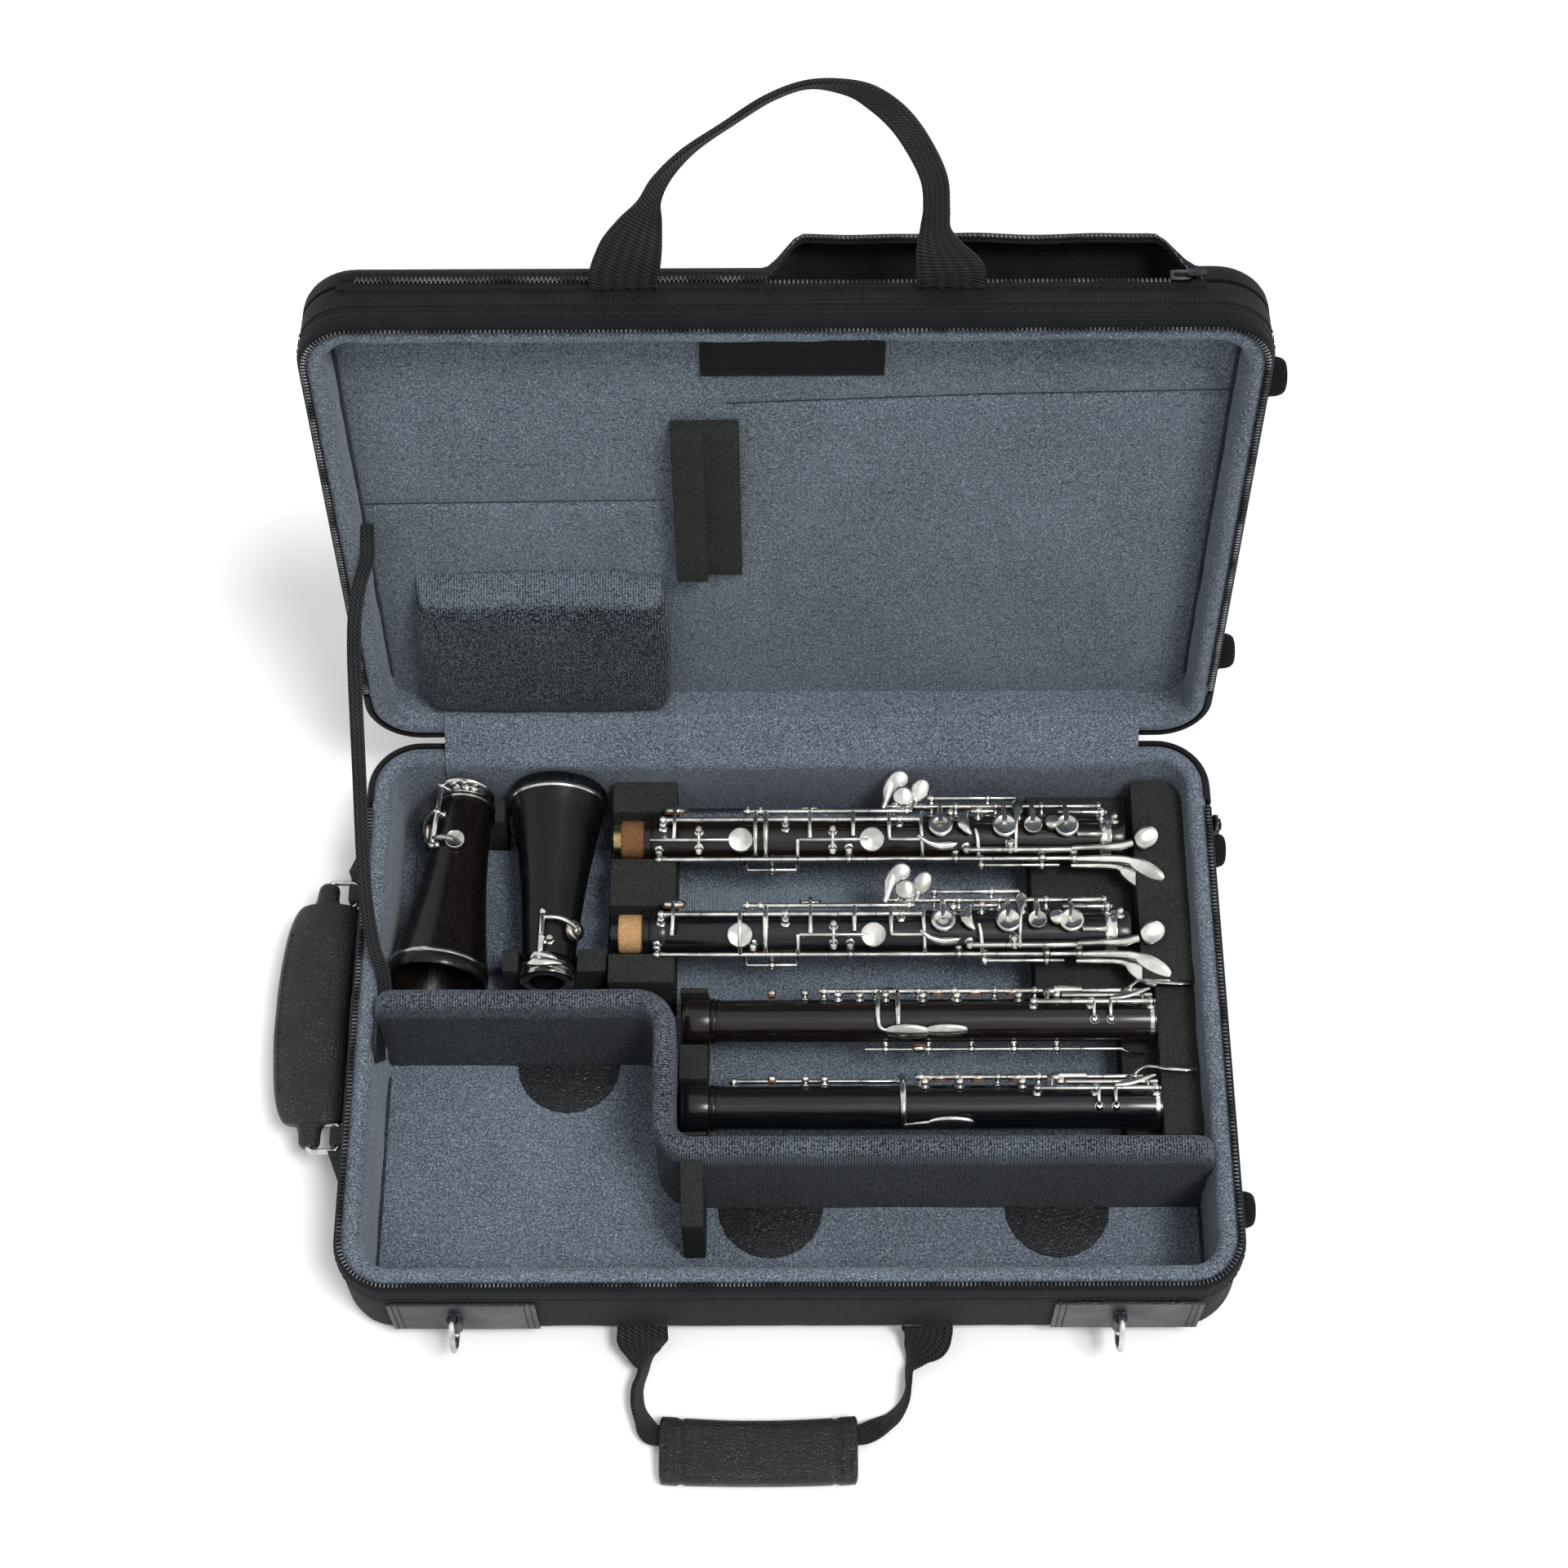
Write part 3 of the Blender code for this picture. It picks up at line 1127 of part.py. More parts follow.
def stay_strap():
    """The webbing stay between the left walls of the base and the lid, drawn tight."""
    up = Vector((0, -cos(LID_OPEN_ANGLE), sin(LID_OPEN_ANGLE)))
    into = Vector((0, sin(LID_OPEN_ANGLE), cos(LID_OPEN_ANGLE)))
    x = -INNER_X + GAP + STAY_WIDTH / 2
    low = Vector((x, STAY_BASE_Y, STAY_BASE_Z))
    high = Vector((x, HALF_DEPTH, BASE_HEIGHT)) + up * STAY_LID_UP + into * STAY_LID_DEPTH
    # way along, and how far out over the rims as a share of the bow
    bow_shares = [
        (0, 0), (0.06, 0.10), (0.12, 0.60), (0.25, 0.95), (0.5, 1), (0.75, 1), (0.86, 0.65), (0.93, 0.05),
        (0.96, 0), (1, 0),
    ]
    stations = [
        (low.lerp(high, share) - Vector((STAY_BOW * bow, 0, 0)), STAY_WIDTH / 2, 0)
        for share, bow in bow_shares
    ]
    webbing("stay_strap", stations, Vector((0, -1, 1)).normalized(), STAY_THICKNESS, None)


def stay_tab():
    """The leather tab that anchors the stay on the base's left wall."""
    tab_top = 0.066
    tab_length = 0.019
    tab_height = 0.034
    front = DIVIDER_LEFT_Y - DIVIDER_THICKNESS / 2 - GAP
    shares = [(1, 0.25), (0.35, 1), (0, 0.80), (0, 0), (0.70, 0)]
    outline = [(front - along * tab_length, tab_top - down * tab_height) for along, down in shares]
    flat_outline(
        "stay_tab", outline, LEATHER_THICKNESS, "leather",
        location=(-INNER_X + GAP + LEATHER_THICKNESS / 2, 0, 0), rotation=(pi / 2, 0, pi / 2),
    )


# The oboes. Each joint lies along its own X axis, from its left end, with +Z up.

def joint_axis(name, place_at, turn=0.0):
    return pivot(name, location=place_at, rotation=(0, 0, turn))


def joint_body(name, profile_shares, length, radius, kind, axis, hollow=False):
    """A turned joint. Shares are (of its radius, of its length), from its right end down."""
    profile = [(r * radius, z * length) for r, z in profile_shares]
    turned(name, profile, kind, axis, rotation=(0, pi / 2, 0), hollow=hollow)


def around(x, angle, reach):
    """A point beside a joint: along it, round from its top towards +Y, and out from its axis."""
    return Vector((x, reach * sin(angle), reach * cos(angle)))


def keywork(name, axis, length, radius, rods, posts, cups, links, touches):
    """Rods, posts, pad cups and finger touches joined into one silver body, clear of the wood.

    Rods are (angle, start share, end share), posts (angle, share), cups (angle, share, share of
    the pad radius), links (share, angle, share, angle) and touches (angle, share, out as a share of
    the rise, length as a share of the width, turn, and the angle and share of the arm's root).
    """
    rise = KEY_RISE
    reach = radius + rise
    bars = bmesh.new()
    for angle, start, end in rods:
        rod(bars, around(start * length, angle, reach), around(end * length, angle, reach), ROD_RADIUS)
    extras = bmesh.new()
    for angle, share in posts:
        x = share * length
        foot_reach = radius + GAP
        rod(extras, around(x, angle, foot_reach), around(x, angle, reach + POST_PROUD), POST_RADIUS, 6)
    for angle, share, size in cups:
        x = share * length
        low = around(x, angle, radius + CUP_LIFT)
        high = around(x, angle, radius + CUP_LIFT + CUP_HEIGHT)
        rod(extras, low, high, size * PAD_RADIUS, 12)
    for start, first, end, last in links:
        rod(extras, around(start * length, first, reach), around(end * length, last, reach), LINK_RADIUS, 6)
    for angle, share, out, touch_length, turn, root_angle, root in touches:
        centre = around(share * length, angle, reach + out * rise)
        ball(extras, centre, (touch_length * TOUCH_WIDTH, TOUCH_WIDTH, TOUCH_THICKNESS), turn)
        rod(extras, around(root * length, root_angle, reach), centre, LINK_RADIUS, 6)
    part = place(name, mesh_from(name, bars), "silver", axis)
    combine(part, cutter(name + "_extras", extras, axis), "UNION")


def lower_joint(name, y, wood):
    """A lower joint: a tenon, a ringed body and its two lines of keys."""
    axis = joint_axis(name + "_axis", (LOWER_LEFT_X, y, LOWER_AXIS_Z))
    profile_shares = [
        (0.0, 0.975), (0.45, 0.975), (0.45, 1.0), (RING_SHARE, 1.0), (RING_SHARE, 0.955),
        (1.0, 0.95), (1.0, 0.105), (RING_SHARE, 0.10), (RING_SHARE, 0.075), (TENON_SHARE, 0.07),
        (TENON_SHARE, 0.004), (0.78, 0.0), (0.0, 0.0),
    ]
    joint_body(name, profile_shares, LOWER_LENGTH, LOWER_RADIUS, wood, axis)
    back = radians(56)
    top = radians(20)
    front = radians(-62)
    flat = radians(-14)
    rods = [(back, 0.145, 0.925), (front, 0.145, 1.03), (top, 0.145, 0.50)]
    posts = [(back, s) for s in (0.16, 0.36, 0.56, 0.74, 0.90)]
    posts += [(front, s) for s in (0.16, 0.42, 0.66, 0.88)]
    posts += [(top, s) for s in (0.16, 0.33, 0.48)]
    cups = [(flat, 0.25, 1.0), (flat, 0.505, 1.0), (radians(10), 0.64, 1.0)]
    cups += [(radians(12), 0.755, 0.97), (radians(14), 0.815, 0.74), (radians(10), 0.885, 1.0)]
    links = [(s, back, s, radians(12)) for s in (0.64, 0.755, 0.815, 0.885)]
    links += [(0.25, top, 0.25, flat), (0.25, flat, 0.27, front), (0.505, flat, 0.51, front)]
    links += [(0.36, top, 0.36, back), (0.49, top, 0.505, flat), (0.47, front, 0.47, flat)]
    touches = [
        (radians(66), 0.54, 1.55, 1.6, 0.3, back, 0.53), (radians(66), 0.575, 1.8, 1.9, 0.3, back, 0.575),
        (radians(66), 0.61, 1.55, 1.6, 0.3, back, 0.62), (front, 1.03, 0.5, 2.9, -0.7, front, 1.0),
        (radians(-38), 1.02, 0.35, 2.1, -0.5, front, 0.96),
    ]
    keywork(name + "_keys", axis, LOWER_LENGTH, LOWER_RADIUS, rods, posts, cups, links, touches)


def upper_joint(name, y, wood):
    """An upper joint: the bulb at its left end, and keys along its back."""
    axis = joint_axis(name + "_axis", (UPPER_LEFT_X, y, UPPER_AXIS_Z))
    profile_shares = [
        (0.0, 0.97), (0.50, 0.97), (0.50, 1.0), (1.0, 1.0), (1.0, 0.12), (0.98, 0.085), (1.06, 0.08),
        (1.06, 0.066), (BULB_SHARE, 0.058), (BULB_SHARE, 0.018), (1.08, 0.002), (0.45, 0.0),
        (0.45, 0.05), (0.0, 0.05),
    ]
    joint_body(name, profile_shares, UPPER_LENGTH, UPPER_RADIUS, wood, axis)
    back = radians(62)
    top = radians(22)
    front = radians(-34)
    rods = [(back, 0.33, 0.955), (top, 0.62, 0.97)]
    posts = [(back, s) for s in (0.36, 0.52, 0.68, 0.82, 0.94)]
    posts += [(top, s) for s in (0.66, 0.80, 0.94)]
    posts += [(radians(56), 0.30), (radians(30), 0.80), (radians(18), 0.86)]
    cups = [(radians(46), s, 0.68) for s in (0.44, 0.60, 0.74, 0.88)]
    links = [(s, back, s, radians(44)) for s in (0.44, 0.60, 0.74, 0.88)]
    links += [(0.70, top, 0.70, back), (0.30, radians(56), 0.35, back), (0.80, top, 0.80, radians(32))]
    links += [(0.475, back, 0.475, radians(12))]
    touches = [
        (front, 0.565, 0.0, 4.0, -0.5, radians(12), 0.475),
        (radians(58), 1.025, 0.0, 2.7, 0.5, back, 0.94),
    ]
    keywork(name + "_keys", axis, UPPER_LENGTH, UPPER_RADIUS, rods, posts, cups, links, touches)


def bell(name, x, turn, wood):
    """A bell: a ringed neck that swells to the mouth, bored through, with one key."""
    half = BELL_LENGTH / 2
    heading = Vector((cos(turn), sin(turn)))
    start = Vector((x, BELL_MIDDLE_Y)) - heading * half
    axis = joint_axis(name + "_axis", (start.x, start.y, BELL_AXIS_Z), turn)
    neck = BELL_NECK_RADIUS / BELL_RADIUS
    profile_shares = [
        (0.985, 1.0), (1.0, 0.985), (0.985, 0.955), (0.90, 0.86), (0.77, 0.66), (0.64, 0.46),
        (0.53, 0.28), (0.49, 0.13), (neck, 0.12), (neck, 0.0), (0.36, 0.0), (0.36, 0.16),
        (0.32, 0.17), (0.42, 0.46), (0.62, 0.70), (0.78, 0.86), (0.90, 0.975),
    ]
    joint_body(name, profile_shares, BELL_LENGTH, BELL_RADIUS, wood, axis, hollow=True)
    key_radius = 0.58 * BELL_RADIUS
    side = radians(14)
    rods = [(side, 0.02, 0.34)]
    posts = [(side, 0.05), (side, 0.19), (side, 0.32)]
    cups = [(radians(-22), 0.29, 0.8)]
    links = [(0.29, side, 0.29, radians(-22))]
    touches = [(radians(-18), 0.08, 0.25, 1.9, 0.0, side, 0.08)]
    keywork(name + "_keys", axis, BELL_LENGTH, key_radius, rods, posts, cups, links, touches)


# Putting the case together

def build_base():
    tray("base", BASE_HEIGHT, BASE_FLOOR, BASE_EDGE_RADIUS)
    divider_wall()
    floor_patches()
    lower_cradles()
    upper_cradles()
    bell_rests()
    accessory_plate()
    spine_panel()
    stay_strap()
    stay_tab()
    ring_patch("front_patch_left", FRONT_PATCH_LEFT_X, D_RING_LEFT_X)
    ring_patch("front_patch_right", FRONT_PATCH_RIGHT_X, D_RING_RIGHT_X)
    d_ring("d_ring_left", D_RING_LEFT_X)
    d_ring("d_ring_right", D_RING_RIGHT_X)
    foot_x = HALF_WIDTH + GAP
    foot("base_foot_front", None, (foot_x, -FOOT_SPREAD, FOOT_Z))
    foot("base_foot_back", None, (foot_x, FOOT_SPREAD, FOOT_Z))


def build_sliders(lid):
    parked = ZIP_END_Y - SLIDER_LENGTH
    face = HALF_WIDTH + GAP + SLIDER_THICKNESS / 2
    low = BASE_HEIGHT - ZIP_HEIGHT + GAP
    for side, name in ((-1, "left"), (1, "right")):
        slider("zip_slider_" + name, True, None, (side * face, parked, low), (pi / 2, 0, -pi / 2))
    across = POCKET_MOUTH_RIGHT - SLIDER_LENGTH
    out = -(CASE_DEPTH + GAP + SLIDER_THICKNESS / 2)
    slider("pocket_slider", False, lid, (across, out, POCKET_SEAM_DEPTH - SLIDER_HEIGHT / 2), (pi / 2, 0, 0))


def build_lid():
    lid = pivot("lid_hinge", location=(0, HALF_DEPTH, BASE_HEIGHT), rotation=(-LID_OPEN_ANGLE, 0, 0))
    tray("lid", LID_HEIGHT, LID_FLOOR, LID_EDGE_RADIUS, lid, (0, -HALF_DEPTH, LID_HEIGHT), (0, pi, 0))
    pillow(lid)
    lid_block(lid)
    lid_label(lid)
    pocket(lid)
    lid_handle(lid)
    foot_x = HALF_WIDTH + GAP
    foot("lid_foot_front", lid, (foot_x, -HALF_DEPTH - FOOT_SPREAD, FOOT_DEPTH))
    foot("lid_foot_back", lid, (foot_x, -HALF_DEPTH + FOOT_SPREAD, FOOT_DEPTH))
    return lid


def build_oboes():
    lower_joint("lower_joint_brown", LOWER_BACK_Y, "brown_wood")
    lower_joint("lower_joint_black", LOWER_FRONT_Y, "black_wood")
    upper_joint("upper_joint_brown", UPPER_BACK_Y, "brown_wood")
    upper_joint("upper_joint_black", UPPER_FRONT_Y, "black_wood")
    bell("bell_brown", BELL_LEFT_X, -pi / 2 - BELL_LEFT_SLANT, "brown_wood")
    bell("bell_black", BELL_RIGHT_X, pi / 2 - BELL_RIGHT_SLANT, "black_wood")


build_base()
build_sliders(build_lid())
front_handle()
side_handle()
build_oboes()
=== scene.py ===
from math import atan2, cos, pi, radians, sin

import bmesh
import bpy
import numpy as np
from mathutils import Matrix, Vector, noise


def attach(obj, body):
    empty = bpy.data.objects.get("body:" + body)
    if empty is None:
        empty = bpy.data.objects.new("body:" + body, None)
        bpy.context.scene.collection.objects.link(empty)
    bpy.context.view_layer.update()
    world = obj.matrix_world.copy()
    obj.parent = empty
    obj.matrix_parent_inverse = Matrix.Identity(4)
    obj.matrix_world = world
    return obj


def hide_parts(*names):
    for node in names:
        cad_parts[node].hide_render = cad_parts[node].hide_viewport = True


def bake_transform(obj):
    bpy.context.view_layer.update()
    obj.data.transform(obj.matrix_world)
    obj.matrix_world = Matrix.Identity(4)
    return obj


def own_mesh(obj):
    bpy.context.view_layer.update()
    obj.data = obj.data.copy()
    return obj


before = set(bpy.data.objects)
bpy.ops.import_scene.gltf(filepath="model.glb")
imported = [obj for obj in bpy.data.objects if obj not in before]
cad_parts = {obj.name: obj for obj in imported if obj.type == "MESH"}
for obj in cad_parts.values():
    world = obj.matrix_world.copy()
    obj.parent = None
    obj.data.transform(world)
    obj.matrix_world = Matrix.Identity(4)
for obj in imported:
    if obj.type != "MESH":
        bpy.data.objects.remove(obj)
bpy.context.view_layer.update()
scene = bpy.context.scene

# Sizes that the pieces share, in metres, as the CAD has them
case = {
    "halfWidth": 0.208, "halfDepth": 0.142, "baseHeight": 0.064, "lidHeight": 0.0262, "corner": 0.026,
    "shell": 0.0025, "wall": 0.0123, "gap": 0.0003, "floor": 0.0083, "lidFloor": 0.0195, "lidReach": 0.284,
    "lidAngle": radians(98.4), "zipEnd": 0.106, "zipHeight": 0.0095, "leather": 0.0015,
}
lidHinge = Matrix.Translation((0, case["halfDepth"], case["baseHeight"]))
lidLocal = lidHinge @ Matrix.Rotation(-case["lidAngle"], 4, "X")
xAxis, yAxis, zAxis = Vector((1, 0, 0)), Vector((0, 1, 0)), Vector((0, 0, 1))
lidDown = lidLocal.to_3x3() @ zAxis  # from the lid's rim to its outside


def lidPoint(x, rise, depth):  # across, up from the hinge, down from the rim, on the open lid
    return lidLocal @ Vector((x, -rise, depth))


# Node tools

def feed(tree, socket, value):  # a link from another node, or a plain value
    if isinstance(value, bpy.types.NodeSocket):
        tree.links.new(value, socket)
    else:
        socket.default_value = value


def put(tree, kind, values=None, **options):
    node = tree.nodes.new(kind)
    for key, value in options.items():
        setattr(node, key, value)
    for key, value in (values or {}).items():
        feed(tree, node.inputs[key], value)
    return node


def calc(tree, operation, first, second=0.0, third=0.0):
    return put(tree, "ShaderNodeMath", {0: first, 1: second, 2: third}, operation=operation).outputs[0]


def blendColour(tree, share, first, second):
    return put(tree, "ShaderNodeMix", {0: share, 6: first, 7: second}, data_type="RGBA").outputs[2]


def speckle(tree, place, scale, detail, **more):
    return put(tree, "ShaderNodeTexNoise", {"Vector": place, "Scale": scale, "Detail": detail, **more}).outputs[0]


def remap(tree, value, low, high, newLow=0.0, newHigh=1.0):
    values = {"Value": value, "From Min": low, "From Max": high, "To Min": newLow, "To Max": newHigh}
    return put(tree, "ShaderNodeMapRange", values, interpolation_type="SMOOTHSTEP").outputs[0]


def newGroup(name, inputs, outputs):
    tree = bpy.data.node_groups.new(name, "ShaderNodeTree")
    kinds = {"f": "NodeSocketFloat", "v": "NodeSocketVector", "c": "NodeSocketColor"}
    for label, kind, value in inputs:
        socket = tree.interface.new_socket(name=label, in_out="INPUT", socket_type=kinds[kind])
        if value is not None:
            socket.default_value = value
    for label, kind in outputs:
        tree.interface.new_socket(name=label, in_out="OUTPUT", socket_type=kinds[kind])
    return tree, tree.nodes.new("NodeGroupInput").outputs, tree.nodes.new("NodeGroupOutput").inputs


def rgb(red, green, blue):  # screen values of 0 to 255 as a linear colour
    return tuple((value / 255 / 12.92) if value < 11 else ((value / 255 + 0.055) / 1.055) ** 2.4
                 for value in (red, green, blue)) + (1.0,)


# Effects that several finishes share

def makeVelourPile():
    inputs = (("Place", "v", None), ("Along", "f", 0.0), ("Rim", "f", 0.0), ("Level", "f", 0.42), ("Ribs", "f", 0.0),
              ("Dark", "c", None), ("Light", "c", None), ("Fleck", "c", None))
    tree, given, result = newGroup("velourPile", inputs, (("Colour", "c"), ("Height", "f")))
    fine = speckle(tree, given["Place"], 1150.0, 2.0)
    broad = speckle(tree, given["Place"], 17.0, 3.0)
    cells = put(tree, "ShaderNodeTexVoronoi", {"Vector": given["Place"], "Scale": 1250.0})
    chance = put(tree, "ShaderNodeSeparateColor", {"Color": cells.outputs["Color"]}).outputs[0]
    # painted glints: bright specks in the fleck colour scattered over the pile
    spot = calc(tree, "MULTIPLY", calc(tree, "LESS_THAN", cells.outputs["Distance"], 0.36),
                calc(tree, "GREATER_THAN", chance, 0.86))
    rib = calc(tree, "SINE", calc(tree, "MULTIPLY", given["Along"], 2 * pi / 0.0013))
    ribbed = calc(tree, "MAXIMUM", given["Rim"], given["Ribs"])
    rib = calc(tree, "MULTIPLY", calc(tree, "MULTIPLY_ADD", rib, 0.5, 0.5), ribbed)
    share = calc(tree, "MULTIPLY_ADD", remap(tree, fine, 0.32, 0.68), 0.62, given["Level"])
    share = calc(tree, "SUBTRACT", share, 0.31)
    share = calc(tree, "ADD", share, calc(tree, "MULTIPLY_ADD", broad, 0.30, -0.15))
    # painted highlight: the rim band is made lighter, on top of its ribs
    share = calc(tree, "ADD", share, calc(tree, "MULTIPLY", given["Rim"], 0.42))
    share = calc(tree, "MAXIMUM", calc(tree, "SUBTRACT", share, calc(tree, "MULTIPLY", rib, 0.30)), 0.0)
    colour = blendColour(tree, share, given["Dark"], given["Light"])
    colour = blendColour(tree, calc(tree, "MULTIPLY", spot, 0.55), colour, given["Fleck"])
    tree.links.new(colour, result["Colour"])
    tree.links.new(calc(tree, "MULTIPLY_ADD", rib, -0.8, fine), result["Height"])
    return tree


def makeClothWeave():
    inputs = (("Place", "v", None), ("Pitch", "f", 800.0), ("Slant", "f", 1.0), ("Cross", "f", 0.3))
    tree, given, result = newGroup("clothWeave", inputs, (("Thread", "f"), ("Height", "f")))
    parts = put(tree, "ShaderNodeSeparateXYZ", {"Vector": given["Place"]}).outputs
    slanted = calc(tree, "MULTIPLY_ADD", parts[1], given["Slant"], parts[0])
    turn = calc(tree, "MULTIPLY", given["Pitch"], 2 * pi)
    twill = calc(tree, "SINE", calc(tree, "MULTIPLY", slanted, turn))
    cross = calc(tree, "SINE", calc(tree, "MULTIPLY", parts[1], turn))
    weave = calc(tree, "MULTIPLY_ADD", cross, given["Cross"], twill)
    weave = calc(tree, "MULTIPLY_ADD", weave, 0.38, 0.5)
    patchy = speckle(tree, given["Place"], 60.0, 3.0)
    tree.links.new(calc(tree, "MULTIPLY", weave, remap(tree, patchy, 0.2, 0.8, 0.65, 1.15)), result["Thread"])
    tree.links.new(weave, result["Height"])
    return tree


def makeLeatherGrain():
    inputs = (("Place", "v", None), ("Size", "f", 700.0))
    tree, given, result = newGroup("leatherGrain", inputs, (("Shade", "f"), ("Height", "f"), ("Gloss", "f")))
    bend = put(tree, "ShaderNodeTexNoise", {"Vector": given["Place"], "Scale": 160.0, "Detail": 2.0})
    shifted = put(tree, "ShaderNodeVectorMath", {0: bend.outputs["Color"], 1: (0.0012,) * 3, 2: given["Place"]},
                  operation="MULTIPLY_ADD").outputs[0]
    cells = put(tree, "ShaderNodeTexVoronoi", {"Vector": shifted, "Scale": given["Size"]},
                feature="DISTANCE_TO_EDGE").outputs["Distance"]
    grain = remap(tree, cells, 0.0, 0.22)
    worn = speckle(tree, given["Place"], 45.0, 4.0)
    drawn = put(tree, "ShaderNodeVectorMath", {0: shifted, 1: (0.45, 1.0, 1.0)}, operation="MULTIPLY").outputs[0]
    folds = speckle(tree, drawn, 330.0, 3.0, Distortion=0.3)
    folds = remap(tree, calc(tree, "ABSOLUTE", calc(tree, "SUBTRACT", folds, 0.5)), 0.0, 0.075)
    both = calc(tree, "MULTIPLY_ADD", folds, 0.22, calc(tree, "MULTIPLY", grain, 0.4))
    tree.links.new(calc(tree, "MULTIPLY_ADD", both, 0.35, calc(tree, "MULTIPLY", worn, 0.5)), result["Shade"])
    tree.links.new(calc(tree, "MULTIPLY_ADD", worn, 0.8, both), result["Height"])
    tree.links.new(remap(tree, worn, 0.3, 0.7, 0.52, 0.30), result["Gloss"])
    return tree


def makeFoamCells():
    tree, given, result = newGroup("foamCells", (("Place", "v", None),), (("Shade", "f"), ("Height", "f")))
    cells = put(tree, "ShaderNodeTexVoronoi", {"Vector": given["Place"], "Scale": 1150.0}).outputs["Distance"]
    rough = speckle(tree, given["Place"], 1100.0, 3.0)
    broad = speckle(tree, given["Place"], 35.0, 2.0)
    shade = calc(tree, "MULTIPLY_ADD", remap(tree, rough, 0.3, 0.7), 0.6, calc(tree, "MULTIPLY", broad, 0.4))
    tree.links.new(shade, result["Shade"])
    tree.links.new(calc(tree, "ADD", cells, rough), result["Height"])
    return tree


def makeTarnish():
    tree, given, result = newGroup("tarnish", (("Place", "v", None),), (("Shade", "f"), ("Gloss", "f")))
    broad = speckle(tree, given["Place"], 70.0, 3.0)
    fine = speckle(tree, given["Place"], 900.0, 2.0)
    tree.links.new(remap(tree, broad, 0.35, 0.65), result["Shade"])
    tree.links.new(calc(tree, "MULTIPLY_ADD", fine, 0.12, calc(tree, "MULTIPLY", broad, 0.18)), result["Gloss"])
    return tree


def makeWoodGrain():
    inputs = (("Place", "v", None), ("Stretch", "v", (0.05, 1.0, 1.0)))
    tree, given, result = newGroup("woodGrain", inputs, (("Shade", "f"), ("Height", "f")))
    drawn = put(tree, "ShaderNodeVectorMath", {0: given["Place"], 1: given["Stretch"]}, operation="MULTIPLY")
    grain = speckle(tree, drawn.outputs[0], 900.0, 5.0)
    broad = speckle(tree, drawn.outputs[0], 160.0, 2.0)
    shade = calc(tree, "MULTIPLY_ADD", remap(tree, grain, 0.35, 0.68), 0.6, calc(tree, "MULTIPLY", broad, 0.5))
    tree.links.new(shade, result["Shade"])
    tree.links.new(grain, result["Height"])
    return tree


velourPile, clothWeave, leatherGrain = makeVelourPile(), makeClothWeave(), makeLeatherGrain()
foamCells, tarnish, woodGrain = makeFoamCells(), makeTarnish(), makeWoodGrain()
print("effects ready")


# Finishes

def startSkin(name, roughness, metallic=0.0, **sockets):
    made = bpy.data.materials.new(name)
    made.use_nodes = True
    tree = made.node_tree
    shader = tree.nodes["Principled BSDF"]
    shader.inputs["Roughness"].default_value = roughness
    shader.inputs["Metallic"].default_value = metallic
    for key, value in sockets.items():
        shader.inputs[key.replace("_", " ")].default_value = value
    coords = tree.nodes.new("ShaderNodeTexCoord").outputs
    return made, tree, shader, coords


def useGroup(tree, group, values):
    return put(tree, "ShaderNodeGroup", values, node_tree=group).outputs


def colourBetween(tree, shader, share, first, second):
    tree.links.new(blendColour(tree, share, rgb(*first), rgb(*second)), shader.inputs["Base Color"])


def relief(tree, shader, height, depth):
    bump = put(tree, "ShaderNodeBump", {"Height": height, "Distance": depth})
    tree.links.new(bump.outputs[0], shader.inputs["Normal"])


# rim is where the stretched, ribbed part lies along the second texture coordinate, in metres; there the pile is also
# painted lighter, a painted highlight. The fleck colour is the colour of painted glints on the pile
def velourSkin(name, dark, light, rim=None, glintFleck=(198, 208, 216), level=0.42, ribs=0.0, sheen=0.22):
    made, tree, shader, coords = startSkin(name, 0.88, Sheen_Weight=sheen, Sheen_Roughness=0.45,
                                           Sheen_Tint=(0.78, 0.84, 0.92, 1), Specular_IOR_Level=0.15)
    flat = put(tree, "ShaderNodeSeparateXYZ", {"Vector": coords["UV"]}).outputs
    values = {"Place": coords["Object"], "Along": flat[0], "Level": level, "Ribs": ribs,
              "Dark": rgb(*dark), "Light": rgb(*light), "Fleck": rgb(*glintFleck)}
    if rim:
        rise = remap(tree, flat[1], rim[0], rim[1])
        values["Rim"] = calc(tree, "MULTIPLY", rise, remap(tree, flat[1], rim[2], rim[3], 1.0, 0.0))
    pile = useGroup(tree, velourPile, values)
    tree.links.new(pile["Colour"], shader.inputs["Base Color"])
    relief(tree, shader, pile["Height"], 0.0006)
    return made


def clothSkin(name, dark, light, pitch, slant, cross=0.3, roughness=0.8, depth=0.0003, sheen=0.03):
    made, tree, shader, coords = startSkin(name, roughness, Sheen_Weight=sheen, Specular_IOR_Level=0.14)
    weave = useGroup(tree, clothWeave, {"Place": coords["UV"], "Pitch": pitch, "Slant": slant, "Cross": cross})
    colourBetween(tree, shader, weave["Thread"], dark, light)
    relief(tree, shader, weave["Height"], depth)
    return made


def leatherSkin(name, dark, light, size=700.0, depth=0.0005):
    made, tree, shader, coords = startSkin(name, 0.5, Specular_IOR_Level=0.36)
    grain = useGroup(tree, leatherGrain, {"Place": coords["Object"], "Size": size})
    colourBetween(tree, shader, grain["Shade"], dark, light)
    tree.links.new(grain["Gloss"], shader.inputs["Roughness"])
    relief(tree, shader, grain["Height"], depth)
    return made


def foamSkin(name, dark, light, roughness=0.95, gleam=0.15, depth=0.0005):
    made, tree, shader, coords = startSkin(name, roughness, Specular_IOR_Level=gleam)
    cells = useGroup(tree, foamCells, {"Place": coords["Object"]})
    colourBetween(tree, shader, cells["Shade"], dark, light)
    relief(tree, shader, cells["Height"], depth)
    return made


